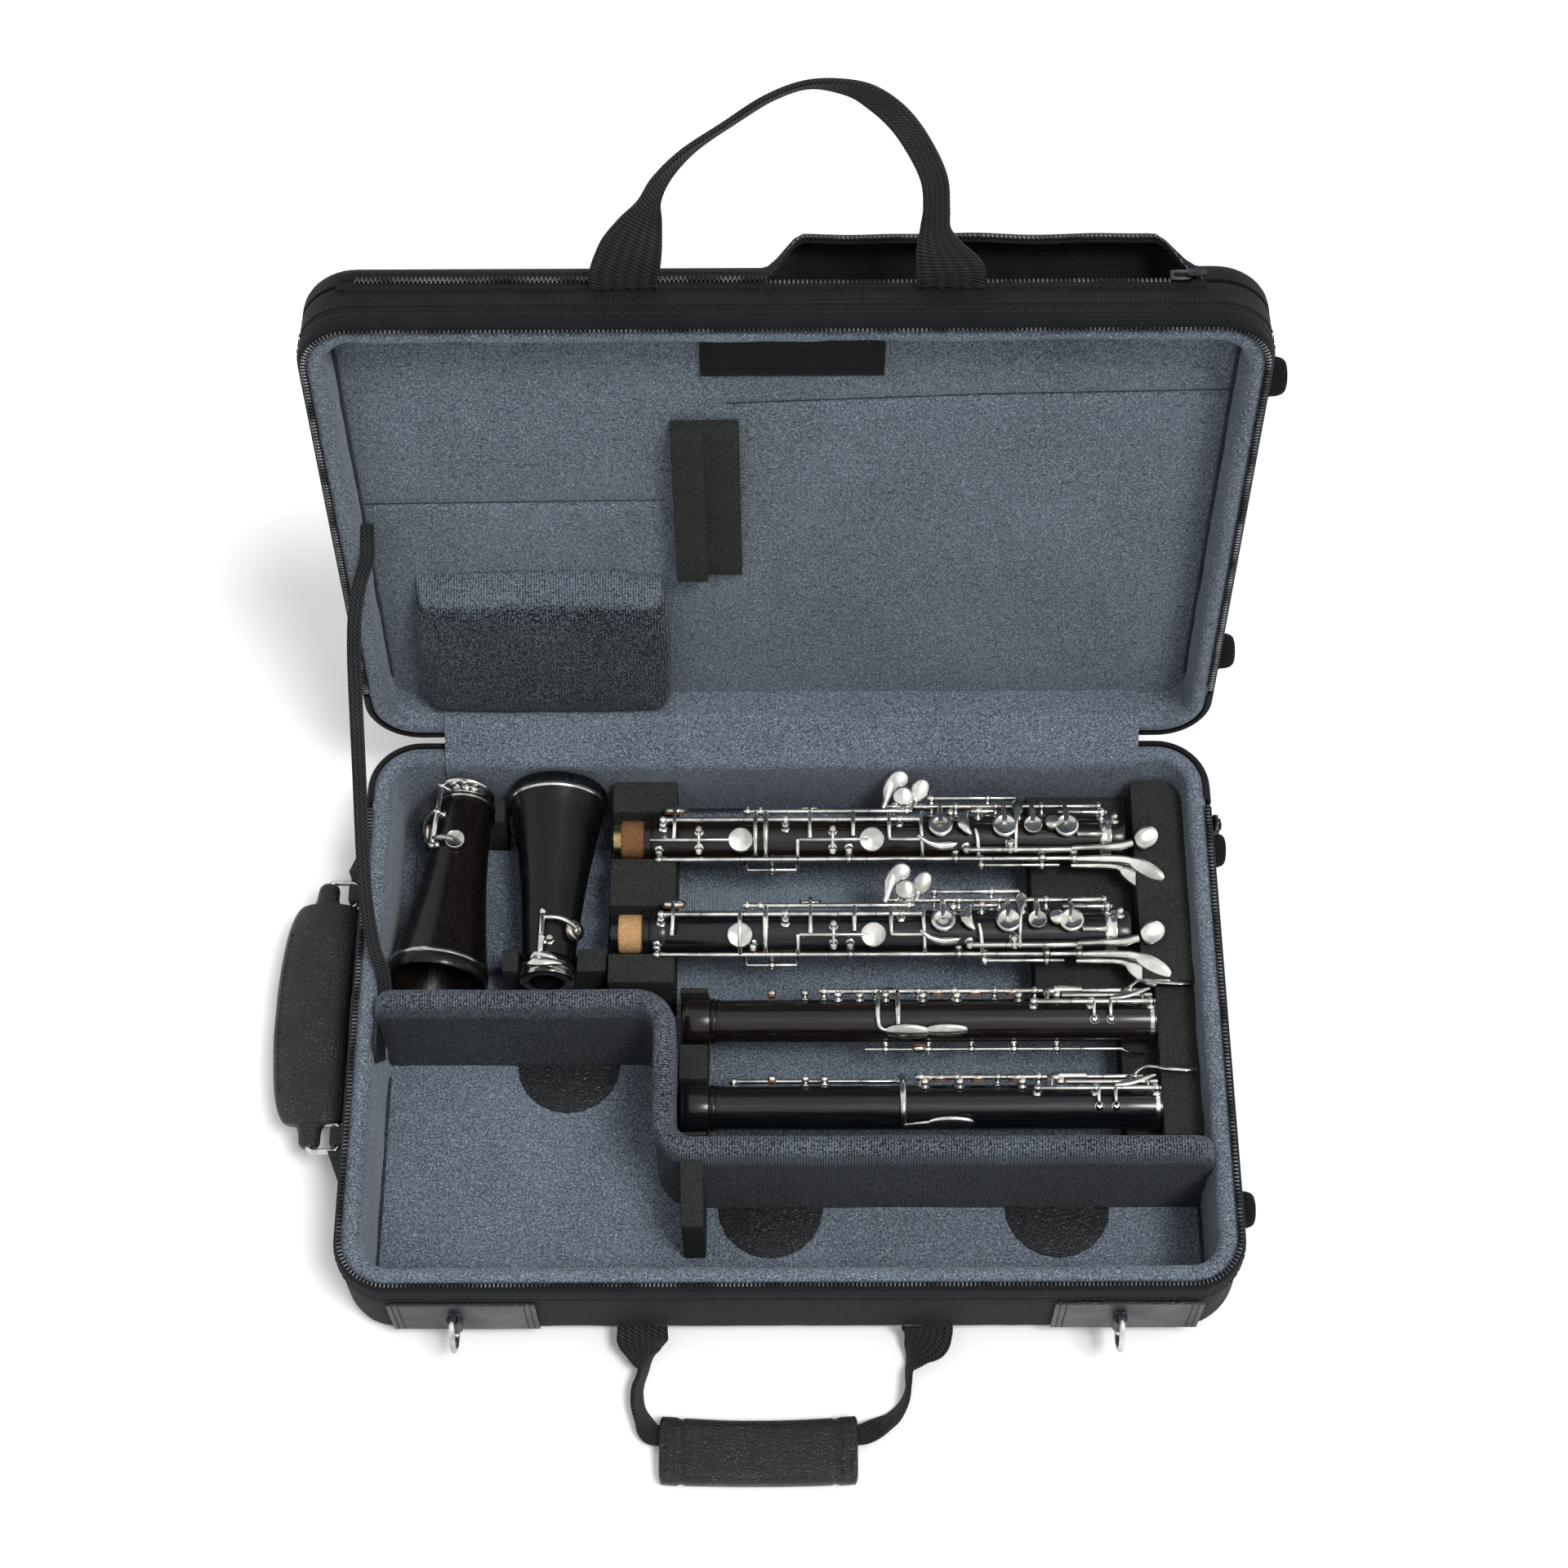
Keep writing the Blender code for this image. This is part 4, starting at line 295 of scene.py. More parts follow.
def metalSkin(name, dark, light, gloss):
    made, tree, shader, coords = startSkin(name, gloss, 1.0)
    film = useGroup(tree, tarnish, {"Place": coords["Object"]})
    colourBetween(tree, shader, film["Shade"], light, dark)
    tree.links.new(calc(tree, "ADD", film["Gloss"], gloss - 0.12), shader.inputs["Roughness"])
    return made


def woodSkin(name, dark, light, stretch, gloss, coat):
    made, tree, shader, coords = startSkin(name, gloss, Coat_Roughness=0.16, Specular_IOR_Level=0.22)
    grain = useGroup(tree, woodGrain, {"Place": coords["Object"], "Stretch": stretch})
    colourBetween(tree, shader, grain["Shade"], dark, light)
    tree.links.new(remap(tree, grain["Shade"], 0.2, 0.8, gloss - 0.06, gloss + 0.10), shader.inputs["Roughness"])
    tree.links.new(remap(tree, grain["Shade"], 0.2, 0.8, coat, coat * 0.6), shader.inputs["Coat Weight"])
    relief(tree, shader, grain["Height"], 0.00008)
    return made


skins = {
    "nylon": clothSkin("nylonCloth", (3, 3, 4), (38, 39, 42), 560.0, 1.0),
    "hingeCloth": clothSkin("hingeCloth", (4, 4, 5), (36, 37, 40), 700.0, 0.0),
    "tape": clothSkin("zipTape", (3, 3, 4), (34, 35, 38), 900.0, 0.6, 0.6),
    "webbing": clothSkin("ribbedWebbing", (3, 3, 4), (52, 54, 57), 480.0, 0.9, 0.5, 0.7, 0.0006, 0.05),
    # the lining velours are painted lighter along their rim band, a painted highlight
    "velour": velourSkin("liningVelour", (44, 51, 61), (133, 145, 157), (0.062, 0.068, 0.083, 0.090)),
    "lidVelour": velourSkin("lidLiningVelour", (44, 51, 61), (133, 145, 157), (0.020, 0.026, 0.040, 0.047)),
    "panelVelour": velourSkin("panelVelour", (44, 51, 61), (133, 145, 157)),
    # painted shade and highlight: a dark copy of the lining velour for the divider's faces, painted lighter along its
    # top roll
    "dividerVelourPaintedShade": velourSkin("dividerVelourPaintedShade", (9, 12, 19), (138, 149, 163), (0.060, 0.066, 0.088, 0.094),
                                (120, 130, 144), -0.01, 0.45, 0.12),
    # painted shade and highlight: a dark copy of the lining velour for the pillow's face, painted lighter on its top
    "pillowVelourPaintedShade": velourSkin("pillowVelourPaintedShade", (11, 14, 21), (134, 146, 159), (0.094, 0.102, 0.5, 0.6),
                               (140, 150, 162), 0.20, 0.7, 0.12),
    # painted shade: a darker copy of the lining velour for the bed down in the bell well
    "bellBedVelourPaintedShade": velourSkin("wellVelourPaintedShade", (38, 44, 56), (122, 134, 148)),
    # dark cords for the seams, also used for painted shadow lines along the creases at the foot of the walls
    "seam": velourSkin("seamAndCreaseShadeVelour", (20, 24, 31), (72, 80, 92), None, (100, 108, 118), 0.3),
    "foam": foamSkin("blackFoam", (27, 29, 27), (58, 62, 57)),
    "leather": leatherSkin("blackLeather", (5, 6, 7), (40, 43, 46)),
    "patchLeather": leatherSkin("greyLeather", (26, 29, 34), (56, 61, 68), 620.0, 0.0003),
    "label": clothSkin("labelCloth", (4, 4, 5), (24, 24, 26), 1300.0, 0.0, 0.8, 0.6, 0.0002),
    "thread": clothSkin("sewingThread", (10, 10, 12), (56, 57, 60), 1500.0, 2.0, 0.2, 0.6, 0.0001),
    "teeth": metalSkin("zipTeeth", (46, 47, 50), (112, 114, 118), 0.38),
    "darkMetal": metalSkin("darkMetal", (30, 31, 34), (78, 80, 84), 0.32),
    "steel": metalSkin("brightSteel", (168, 168, 166), (214, 213, 208), 0.20),
    "silver": metalSkin("silverPlate", (172, 171, 166), (232, 230, 224), 0.16),
    "brass": metalSkin("brassPlate", (150, 132, 96), (208, 190, 148), 0.22),
    "rubber": foamSkin("footRubber", (10, 10, 11), (26, 26, 28)),
    "brownWood": woodSkin("brownWood", (12, 9, 7), (25, 18, 14), (0.05, 1.0, 1.0), 0.24, 0.45),
    "brownBellWood": woodSkin("brownBellWood", (12, 9, 7), (20, 14, 11), (1.0, 0.08, 1.0), 0.26, 0.10),
    "blackWood": woodSkin("blackWood", (7, 9, 11), (17, 20, 23), (0.05, 1.0, 1.0), 0.26, 0.45),
    "blackBellWood": woodSkin("blackBellWood", (7, 8, 9), (12, 14, 16), (1.0, 0.08, 1.0), 0.28, 0.10),
    "brownCork": foamSkin("brownCork", (70, 46, 28), (138, 98, 62), 0.8, 0.25, 0.0002),
    "tanCork": foamSkin("tanCork", (150, 112, 72), (204, 164, 116), 0.8, 0.25, 0.0002),
}
print("finishes ready")


# Mesh tools. A form is a pair: points, and faces as index lists.

def gridForm(rows, ringClosed=True, pathClosed=False, capped=True):
    count, size = len(rows), len(rows[0])
    points = [tuple(point) for row in rows for point in row]
    faces, flat = [], []
    along = np.zeros(count + 1)
    across = np.zeros(size + 1)
    table = np.array(points).reshape(count, size, 3)
    for i in range(count):
        along[i + 1] = along[i] + np.linalg.norm(table[(i + 1) % count] - table[i], axis=1).max()
    middle = table[count // 2]
    for j in range(size):
        across[j + 1] = across[j] + float(np.linalg.norm(middle[(j + 1) % size] - middle[j]))
    for i in range(count if pathClosed else count - 1):
        k = (i + 1) % count
        for j in range(size if ringClosed else size - 1):
            m = (j + 1) % size
            faces.append((i * size + j, i * size + m, k * size + m, k * size + j))
            flat += [(along[i], across[j]), (along[i], across[j + 1]), (along[i + 1], across[j + 1]),
                     (along[i + 1], across[j])]
    if capped and ringClosed and not pathClosed:
        for row, order in ((0, range(size - 1, -1, -1)), (count - 1, range(size))):
            faces.append([row * size + j for j in order])
            flat += [(table[row][j][0], table[row][j][1]) for j in order]
    return points, faces, flat


def joinForms(forms):
    points, faces, flat = [], [], []
    for form in forms:
        start = len(points)
        points += [tuple(point) for point in form[0]]
        faces += [[index + start for index in face] for face in form[1]]
        flat += form[2] if form[2:] else [tuple(form[0][index])[:2] for face in form[1] for index in face]
    return points, faces, flat


def placed(form, matrix):
    return ([tuple(matrix @ Vector(point)) for point in form[0]], *form[1:])


def stamped(form, matrices):
    base = np.array(form[0])
    count = len(base)
    points, faces = [], []
    for n, matrix in enumerate(matrices):
        turn = np.array(matrix.to_3x3())
        points.append(base @ turn.T + np.array(matrix.translation))
        faces += [[index + n * count for index in face] for face in form[1]]
    return [tuple(point) for point in np.concatenate(points)], faces


def meshOf(name, form):
    mesh = bpy.data.meshes.new(name)
    mesh.from_pydata([tuple(point) for point in form[0]], [], [list(face) for face in form[1]])
    if form[2:]:
        layer = mesh.uv_layers.new(name="flat")
        layer.data.foreach_set("uv", np.array(form[2], dtype=np.float32).ravel())
    shape = bmesh.new()
    shape.from_mesh(mesh)
    bmesh.ops.recalc_face_normals(shape, faces=shape.faces)
    shape.to_mesh(mesh)
    shape.free()
    return mesh


def addObject(name, data):
    made = bpy.data.objects.new(name, data)
    scene.collection.objects.link(made)
    return made


def addSkinned(name, mesh, skin, sharp):
    mesh.shade_smooth()
    mesh.set_sharp_from_angle(angle=radians(sharp))
    mesh.materials.append(skins[skin])
    return addObject(name, mesh)


def addPiece(name, form, skin, body, nodes=(), sharp=40):
    made = addSkinned(name, meshOf(name, form), skin, sharp)
    finishPiece(made, body, nodes)
    return made


def applied(made):  # its mesh after the modifiers
    return bpy.data.meshes.new_from_object(made.evaluated_get(bpy.context.evaluated_depsgraph_get()))


def splitLong(shape, length, limit, rounds):  # edges longer than the limit are halved
    for _ in range(rounds):
        long = [edge for edge in shape.edges if length(edge) > limit]
        if not long:
            break
        bmesh.ops.subdivide_edges(shape, edges=long, cuts=1)
        bmesh.ops.triangulate(shape, faces=[face for face in shape.faces if len(face.verts) > 4])


def finishPiece(made, body, nodes=()):
    if body:
        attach(made, body)
    if nodes:
        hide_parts(*nodes)


def tangentOf(points, index, closed=False):
    count = len(points)
    if closed:
        return (Vector(points[(index + 1) % count]) - Vector(points[index - 1])).normalized()
    return (Vector(points[min(index + 1, count - 1)]) - Vector(points[max(index - 1, 0)])).normalized()


def circle(count):  # cosine and sine round a full turn
    return [(cos(2 * pi * k / count), sin(2 * pi * k / count)) for k in range(count)]


def arc(x, y, radius, start, sweep, steps):
    turns = [start + sweep * k / steps for k in range(steps + 1)]
    return [(x + radius * cos(turn), y + radius * sin(turn)) for turn in turns]


def squared(value, power):  # rounds a cosine or sine towards a box
    return abs(value) ** power * (1 if value > 0 else -1)


def tubeForm(points, radius, sides=10, closed=False, normal=None):
    rows, side = [], None
    for i, point in enumerate(points):
        way = tangentOf(points, i, closed)
        if side is None:
            side = way.cross(normal or (zAxis if abs(way.z) < 0.9 else xAxis)).normalized()
        side = (side - way * side.dot(way)).normalized()
        lift = side.cross(way)
        rows.append([Vector(point) + radius * (c * side + d * lift) for c, d in circle(sides)])
    return gridForm(rows, True, closed)


def latheRows(profile, matrix, steps):  # (radius, place) pairs along the matrix's X axis
    return [[matrix @ Vector((place, radius * d, radius * c)) for c, d in circle(steps)] for radius, place in profile]


def latheForm(profile, matrix, steps=40):
    return gridForm(latheRows([(max(radius, 0.00002), place) for radius, place in profile], matrix, steps))


def toothForm():
    shape = bmesh.new()
    bmesh.ops.create_cube(shape, size=1)
    bmesh.ops.scale(shape, vec=Vector(zipSizes["tooth"]), verts=shape.verts)
    bmesh.ops.bevel(shape, geom=shape.edges[:], offset=zipSizes["edge"], segments=1, profile=0.5, affect="EDGES")
    return takeForm(shape)


def takeForm(shape):
    shape.verts.index_update()
    points = [tuple(vert.co) for vert in shape.verts]
    faces = [[vert.index for vert in face.verts] for face in shape.faces]
    shape.free()
    return points, faces


def along(points, pitch, margin=0.0):  # even places along a line, each with its direction
    spots = [Vector(point) for point in points]
    lengths = [0.0]
    for first, second in zip(spots, spots[1:]):
        lengths.append(lengths[-1] + (second - first).length)
    usable = lengths[-1] - 2 * margin
    count = max(int(usable / pitch), 1)
    found, k = [], 0
    for n in range(count + 1):
        want = margin + usable * n / count
        while k < len(lengths) - 2 and lengths[k + 1] < want:
            k += 1
        share = (want - lengths[k]) / max(lengths[k + 1] - lengths[k], 1e-9)
        found.append((spots[k].lerp(spots[k + 1], share), (spots[k + 1] - spots[k]).normalized()))
    return found


def frameAt(spot, forward, out):
    side = out.cross(forward).normalized()
    lift = forward.cross(side).normalized()
    matrix = Matrix((forward, side, lift)).transposed().to_4x4()
    matrix.translation = spot
    return matrix


stitchSizes = {"length": 0.0026, "width": 0.00055, "pitch": 0.0036, "lift": 0.00015}


def stitchForm(scale=1.0):
    half, width = stitchSizes["length"] * scale / 2, stitchSizes["width"] * scale / 2
    rows = [[(share * half, width * size * cos(pi * k / 3), width * size * sin(pi * k / 3)) for k in range(6)]
            for share, size in ((-1, 0.35), (-0.6, 1), (0.6, 1), (1, 0.35))]
    return gridForm(rows)[:2]


def stitchRow(points, out, scale=1.0, margin=0.002):  # out is the surface's direction, or a function of a place
    places = along(points, stitchSizes["pitch"] * scale, margin)
    matrices = []
    for spot, forward in places:
        lift = (out(spot) if callable(out) else out).normalized()
        matrices.append(frameAt(spot + lift * stitchSizes["lift"], forward, lift))
    return stamped(stitchForm(scale), matrices)


def smoothPath(stations, steps):  # a soft curve through stations of any number of values
    table = np.array(stations, dtype=float)
    table = np.vstack([2 * table[0] - table[1], table, 2 * table[-1] - table[-2]])
    found = []
    for i in range(1, len(table) - 2):
        before, first, second, after = table[i - 1:i + 3]
        slope, bow = second - before, 2 * before - 5 * first + 4 * second - after
        twist = 3 * first - before - 3 * second + after
        for n in range(steps):
            t = n / steps
            found.append(0.5 * (2 * first + slope * t + bow * t * t + twist * t ** 3))
    found.append(table[-2])
    return found


def ripple(x, y, z=0.0, size=1.0, depth=2):  # soft unevenness from -1 to 1
    value, scale, share = 0.0, 1.0 / size, 1.0
    for _ in range(depth):
        value += share * noise.noise(Vector((x, y, z)) * scale)
        scale *= 2.1
        share *= 0.5
    return value


# The case's outline in plan, from the middle of the back, round by the left side
ringSteps = {"corner": 12, "long": 96, "side": 60}


def caseRing(inset):  # (x, y, and the outward direction) round the case
    x, y = case["halfWidth"] - case["corner"], case["halfDepth"] - case["corner"]
    radius = case["corner"] - inset
    points = []
    for sx, sy, start, straight in ((-1, 1, pi / 2, "side"), (-1, -1, pi, "long"), (1, -1, 1.5 * pi, "side"),
                                    (1, 1, 0, "long")):
        for k in range(ringSteps["corner"] + 1):
            angle = start + pi / 2 * k / ringSteps["corner"]
            points.append((sx * x + radius * cos(angle), sy * y + radius * sin(angle), cos(angle), sin(angle)))
        last = points[-1]
        size = 2 * (y if straight == "side" else x)
        angle = start + pi / 2
        for k in range(1, ringSteps[straight]):
            step = size * k / ringSteps[straight]
            points.append((last[0] - sin(angle) * step, last[1] + cos(angle) * step, cos(angle), sin(angle)))
    half = ringSteps["long"] // 2
    return points[-half:] + points[:-half]


def frontPart(ring):  # the front and the sides, where the zip runs
    return [spot for spot in ring if spot[1] <= case["zipEnd"] + 1e-6]


def backPart(ring):
    half = len(ring) // 2
    return [spot for spot in ring[half:] + ring[:half] if spot[1] >= case["zipEnd"] + case["gap"] - 1e-6]


# The outer shells

shellSizes = {"topGap": 0.0098, "baseRadius": 0.014, "lidRadius": 0.0035, "wrinkle": 0.00035, "seamDown": 0.0030,
              "seamDepth": 0.0007}


def trayShell(height, radius):  # sections as (inset, height), from the foot up the outside and down the inside
    top = height - shellSizes["topGap"]
    shell = case["shell"]
    steps = 8
    outer = [(radius * (1 - sin(pi / 2 * k / steps)),
              radius * (1 - cos(pi / 2 * k / steps))) for k in range(steps + 1)]
    rise = max(top - radius, 0.002)
    outer += [(0.0, radius + rise * share) for share in (0.15, 0.3, 0.45, 0.6, 0.75)]
    seam = top - shellSizes["seamDown"] * min(1, rise / 0.02)
    outer += [(0.0002, seam - 0.0008), (shellSizes["seamDepth"], seam), (0.0001, seam + 0.0008), (0.0, top - 0.0006)]
    outer += [(0.0006, top), (shell - 0.0004, top), (shell, top - 0.0005)]
    return outer + [(shell, radius + 0.004), (radius + 0.002, shell + 0.0003)]


def shellRows(sections, seed):
    rows = []
    for inset, height in sections:
        ring = caseRing(min(inset, case["corner"] - 0.001))
        row = []
        for x, y, nx, ny in ring:
            push = 0.0
            if inset < 0.0022 and 0.004 < height:
                push = -abs(ripple(x + seed, y, height * 2, 0.035)) * shellSizes["wrinkle"] * 2
            row.append((x + nx * push, y + ny * push, height))
        rows.append(row)
    return rows


baseShellForm = gridForm(shellRows(trayShell(case["baseHeight"], shellSizes["baseRadius"]), 0.3))
addPiece("baseShell", baseShellForm, "nylon", "base", ["base_shell"])
lidTurn = lidLocal @ Matrix.Translation((0, -case["halfDepth"], case["lidHeight"])) @ Matrix.Rotation(pi, 4, "Y")
lidShellForm = gridForm(shellRows(trayShell(case["lidHeight"], shellSizes["lidRadius"]), 1.7))
addPiece("lidShell", placed(lidShellForm, lidTurn), "nylon", "lid", ["lid_shell"])
print("shells")


# Zip tapes with their teeth, and the cloth hinge bands behind

zipSizes = {"pitch": 0.0019, "tooth": (0.00105, 0.0025, 0.0012), "edge": 0.0004, "toothInset": 0.0029,
            "tapeEdge": 0.0036}


def tapeSections(height):
    low = height - case["zipHeight"]
    return [(0.0, low), (-0.0001, height - 0.0045), (0.0004, height - 0.0020), (0.0016, height - 0.0006),
            (zipSizes["tapeEdge"], height - 0.0002), (zipSizes["tapeEdge"] - 0.0001, height - 0.0012),
            (0.0022, height - 0.0018), (0.0016, height - 0.0030), (0.0014, height - 0.0050), (0.0014, low)]


def bandRows(part, sections):
    rings = [part(caseRing(inset)) for inset, _ in sections]
    return [[(ring[i][0], ring[i][1], height) for ring, (_, height) in zip(rings, sections)]
            for i in range(len(rings[0]))]


def teethForm(height):
    line = [(x, y, height + 0.0004) for x, y, _, _ in frontPart(caseRing(zipSizes["toothInset"]))]
    return stamped(toothForm(), [frameAt(spot, way, zAxis) for spot, way in along(line, zipSizes["pitch"], 0.001)])


def dressRim(side, height, matrix, body):
    tape = gridForm(bandRows(frontPart, tapeSections(height)))
    addPiece(side + "ZipTape", placed(tape, matrix), "tape", body, [side + "_zip"])
    addPiece(side + "ZipTeeth", placed(teethForm(height), matrix), "teeth", body, sharp=50)
    band = gridForm(bandRows(backPart, tapeSections(height)))
    addPiece(side + "HingeBand", placed(band, matrix), "hingeCloth", body, [side + "_hinge_band"])
    rows = []
    for inset, level in ((-0.0001, height - 0.0072), (-0.0001, height - 0.0130)):
        for part in (frontPart, backPart):
            ring = part(caseRing(inset))
            rows.append(stitchRow([(x, y, level) for x, y, _, _ in ring], ringOut))
    addPiece(side + "RimStitches", placed(joinForms(rows), matrix), "thread", body)


def ringOut(spot):  # outwards from the case's side at a place beside it
    x = max(abs(spot[0]) - (case["halfWidth"] - case["corner"]), 0.0)
    y = max(abs(spot[1]) - (case["halfDepth"] - case["corner"]), 0.0)
    if x + y < 1e-6:
        x = 1.0
    return Vector((x if spot[0] > 0 else -x, y if spot[1] > 0 else -y, 0)).normalized()


dressRim("base", case["baseHeight"], Matrix(), "base")
dressRim("lid", case["lidHeight"], lidTurn, "lid")
print("zips")


# Padded velour linings: a rolled rim, a soft wall, and a floor

liningSizes = {"outer": 0.0028, "roll": 0.00475, "fillet": 0.0022, "sag": 0.0010, "rimWave": 0.0004}


def liningRows(height, floor, footRadius, seed):
    outer, roll, wall = liningSizes["outer"], liningSizes["roll"], case["wall"]
    top = height - 0.0002
    foot = footRadius - outer
    sections = [(outer + foot * (1 - sin(pi / 2 * k / 5)),
                 outer + foot * (1 - cos(pi / 2 * k / 5))) for k in range(6)]
    sections += [(outer, top - roll * 1.6)]
    sections += [(outer + roll * (1 - cos(pi * k / 12)), top - roll * (1 - sin(pi * k / 12))) for k in range(13)]
    fillet = liningSizes["fillet"]
    drop = top - roll - floor - fillet
    sections += [(wall + liningSizes["sag"] * sin(pi * share), top - roll - drop * share)
                 for share in (0.12, 0.25, 0.4, 0.55, 0.7, 0.85)]
    sections += [(wall + fillet * (1 - cos(pi / 2 * k / 5)), floor + fillet * (1 - sin(pi / 2 * k / 5)))
                 for k in range(6)]
    rows = []
    for inset, level in sections:
        row = []
        for x, y, nx, ny in caseRing(min(inset, case["corner"] - 0.002)):
            push = 0.0
            if inset > outer + 0.002 and level > floor + 0.001:
                push = ripple(x * 1.3 + seed, y * 1.3, level * 3, 0.028) * liningSizes["rimWave"] * 2
            row.append((x - nx * push, y - ny * push, min(level + push * 0.4, top)))
        rows.append(row)
    return rows


baseLining = gridForm(liningRows(case["baseHeight"], case["floor"] - 0.0003, 0.014, 0.0))
addPiece("baseLining", baseLining, "velour", "base", ["base_lining"])
lidFloorLevel = case["lidHeight"] - case["lidFloor"]
lidLining = gridForm(liningRows(case["lidHeight"], lidFloorLevel, 0.0035, 4.0))
addPiece("lidLining", placed(lidLining, lidTurn), "lidVelour", "lid", ["lid_lining"])

# The lid's floor is four panels of velour sewn together: seams as (from, to) across and up, in metres
lidPanels = {"thickness": 0.0008, "puff": 0.0011, "seamWidth": 0.0020, "seamDepth": 0.0014,
             "columns": 230, "rows": 160, "left": -0.1965, "right": 0.1965, "low": 0.0115, "high": 0.2725,
             "seams": (((-0.026, 0.2180), (0.085, 0.2230)), ((0.085, 0.2230), (0.194, 0.2254)),
                       ((-0.194, 0.1532), (-0.056, 0.1552)))}


def seamDistance(x, rise, seam):
    (x0, r0), (x1, r1) = seam
    run = max(min(((x - x0) * (x1 - x0) + (rise - r0) * (r1 - r0)) / ((x1 - x0) ** 2 + (r1 - r0) ** 2), 1), 0)
    return ((x - x0 - run * (x1 - x0)) ** 2 + (rise - r0 - run * (r1 - r0)) ** 2) ** 0.5


def lidFloorLift(x, rise):  # how far the floor stands towards the viewer
    lift = 0.0
    edge = min(case["halfWidth"] - case["wall"] - abs(x), rise - case["wall"], case["lidReach"] - case["wall"] - rise)
    nearest = min(seamDistance(x, rise, seam) for seam in lidPanels["seams"])
    lift += lidPanels["puff"] * (1 - np.exp(-nearest / 0.014)) * min(max(edge, 0) / 0.02, 1)
    lift -= lidPanels["seamDepth"] * np.exp(-(nearest / lidPanels["seamWidth"]) ** 2)
    lift += 0.00045 * ripple(x, rise, 3.0, 0.055) * min(max(edge, 0) / 0.01, 1)
    pull = np.exp(-(nearest / 0.010)) * ripple(x * 3.0, rise * 3.0, 8.0, 0.030, 1) * 0.0006
    return max(lift + pull, -0.0006)


def lidFloorPoint(x, rise):
    return lidPoint(x, rise, case["lidFloor"] - lidPanels["thickness"] - lidFloorLift(x, rise))


def lidFloorForm():
    x0, x1, r0, r1 = (lidPanels[name] for name in ("left", "right", "low", "high"))
    rows = []
    for j in range(lidPanels["rows"] + 1):
        rise = r0 + (r1 - r0) * j / lidPanels["rows"]
        row = []
        for i in range(lidPanels["columns"] + 1):
            row.append(lidFloorPoint(x0 + (x1 - x0) * i / lidPanels["columns"], rise))
        rows.append(row)
    front = gridForm(rows, False, False, False)
    depth = case["lidFloor"] + 0.0004
    corners = [(x0, r0), (x1, r0), (x1, r1), (x0, r1)]
    size, count = len(rows[0]), len(rows)
    base = len(front[0])
    points = list(front[0]) + [tuple(lidPoint(x, rise, depth)) for x, rise in corners]
    edge = list(range(size)) + [size * k + size - 1 for k in range(1, count)]
    edge += [size * (count - 1) + k for k in range(size - 2, -1, -1)] + [size * k for k in range(count - 2, 0, -1)]
    stops = [0, size - 1, size - 1 + count - 1, 2 * (size - 1) + count - 1, len(edge)]
    faces, flat = list(front[1]), list(front[2])
    for n in range(4):
        run = [edge[k % len(edge)] for k in range(stops[n], stops[n + 1] + 1)]
        faces.append(run + [base + (n + 1) % 4, base + n])
    faces.append([base, base + 1, base + 2, base + 3])
    for face in faces[len(front[1]):]:
        flat += [(points[index][0], points[index][2]) for index in face]
    return points, faces, flat


addPiece("lidFloorPanels", lidFloorForm(), "panelVelour", "lid", sharp=60)


def seamAndCreaseShadowLines():  # the shut seams of the lid's floor, and painted shadow lines in the creases at the foot of the side walls
    forms = []
    for (x0, r0), (x1, r1) in lidPanels["seams"]:
        spots = [lidFloorPoint(x0 + (x1 - x0) * k / 59, r0 + (r1 - r0) * k / 59) for k in range(60)]
        forms.append(tubeForm(spots, 0.00038, 6))
    # painted shadow lines along the foot of the lid's side walls and top wall
    x = case["halfWidth"] - case["wall"] - 0.0010
    for side in (-1, 1):
        spots = [lidPoint(side * x, 0.030 + 0.230 * k / 30, case["lidFloor"] - 0.0016) for k in range(31)]
        forms.append(tubeForm(spots, 0.0011, 8))
    rise = case["lidReach"] - case["wall"] - 0.0009
    spots = [lidPoint(-0.172 + 0.344 * k / 50, rise, case["lidFloor"] - 0.0016) for k in range(51)]
    forms.append(tubeForm(spots, 0.0010, 8))
    return joinForms(forms)


# painted shadow lines in the creases at the foot of the base's side walls and front wall
def baseCreaseShadowLines():
    forms = []
    x, y = case["halfWidth"] - case["wall"] - 0.0008, case["halfDepth"] - case["wall"] - 0.0008
    z = case["floor"] + 0.0009
    for side in (-1, 1):
        low, high = (-0.112, -0.016) if side < 0 else (-0.112, 0.100)
        forms.append(tubeForm([Vector((side * x, low + (high - low) * k / 30, z)) for k in range(31)], 0.0010, 8))
    forms.append(tubeForm([Vector((-0.172 + 0.344 * k / 50, -y, z)) for k in range(51)], 0.0010, 8))
    return joinForms(forms)


# the dark cords: seams on the lid's floor, and painted crease shadows at the foot of the walls
addPiece("lidSeamsAndCreaseShadows", seamAndCreaseShadowLines(), "seam", "lid")
addPiece("baseCreaseShadows", baseCreaseShadowLines(), "seam", "base")
print("linings")


# Divider: one padded wall that runs across the base in a long S

dividerSizes = {"thickness": 0.0105, "low": 0.0080, "high": 0.0795, "leftY": -0.0038, "rightY": -0.0775,
                "stepX": -0.058, "bend": 0.014, "endDrop": 0.010, "endX": 0.1954}


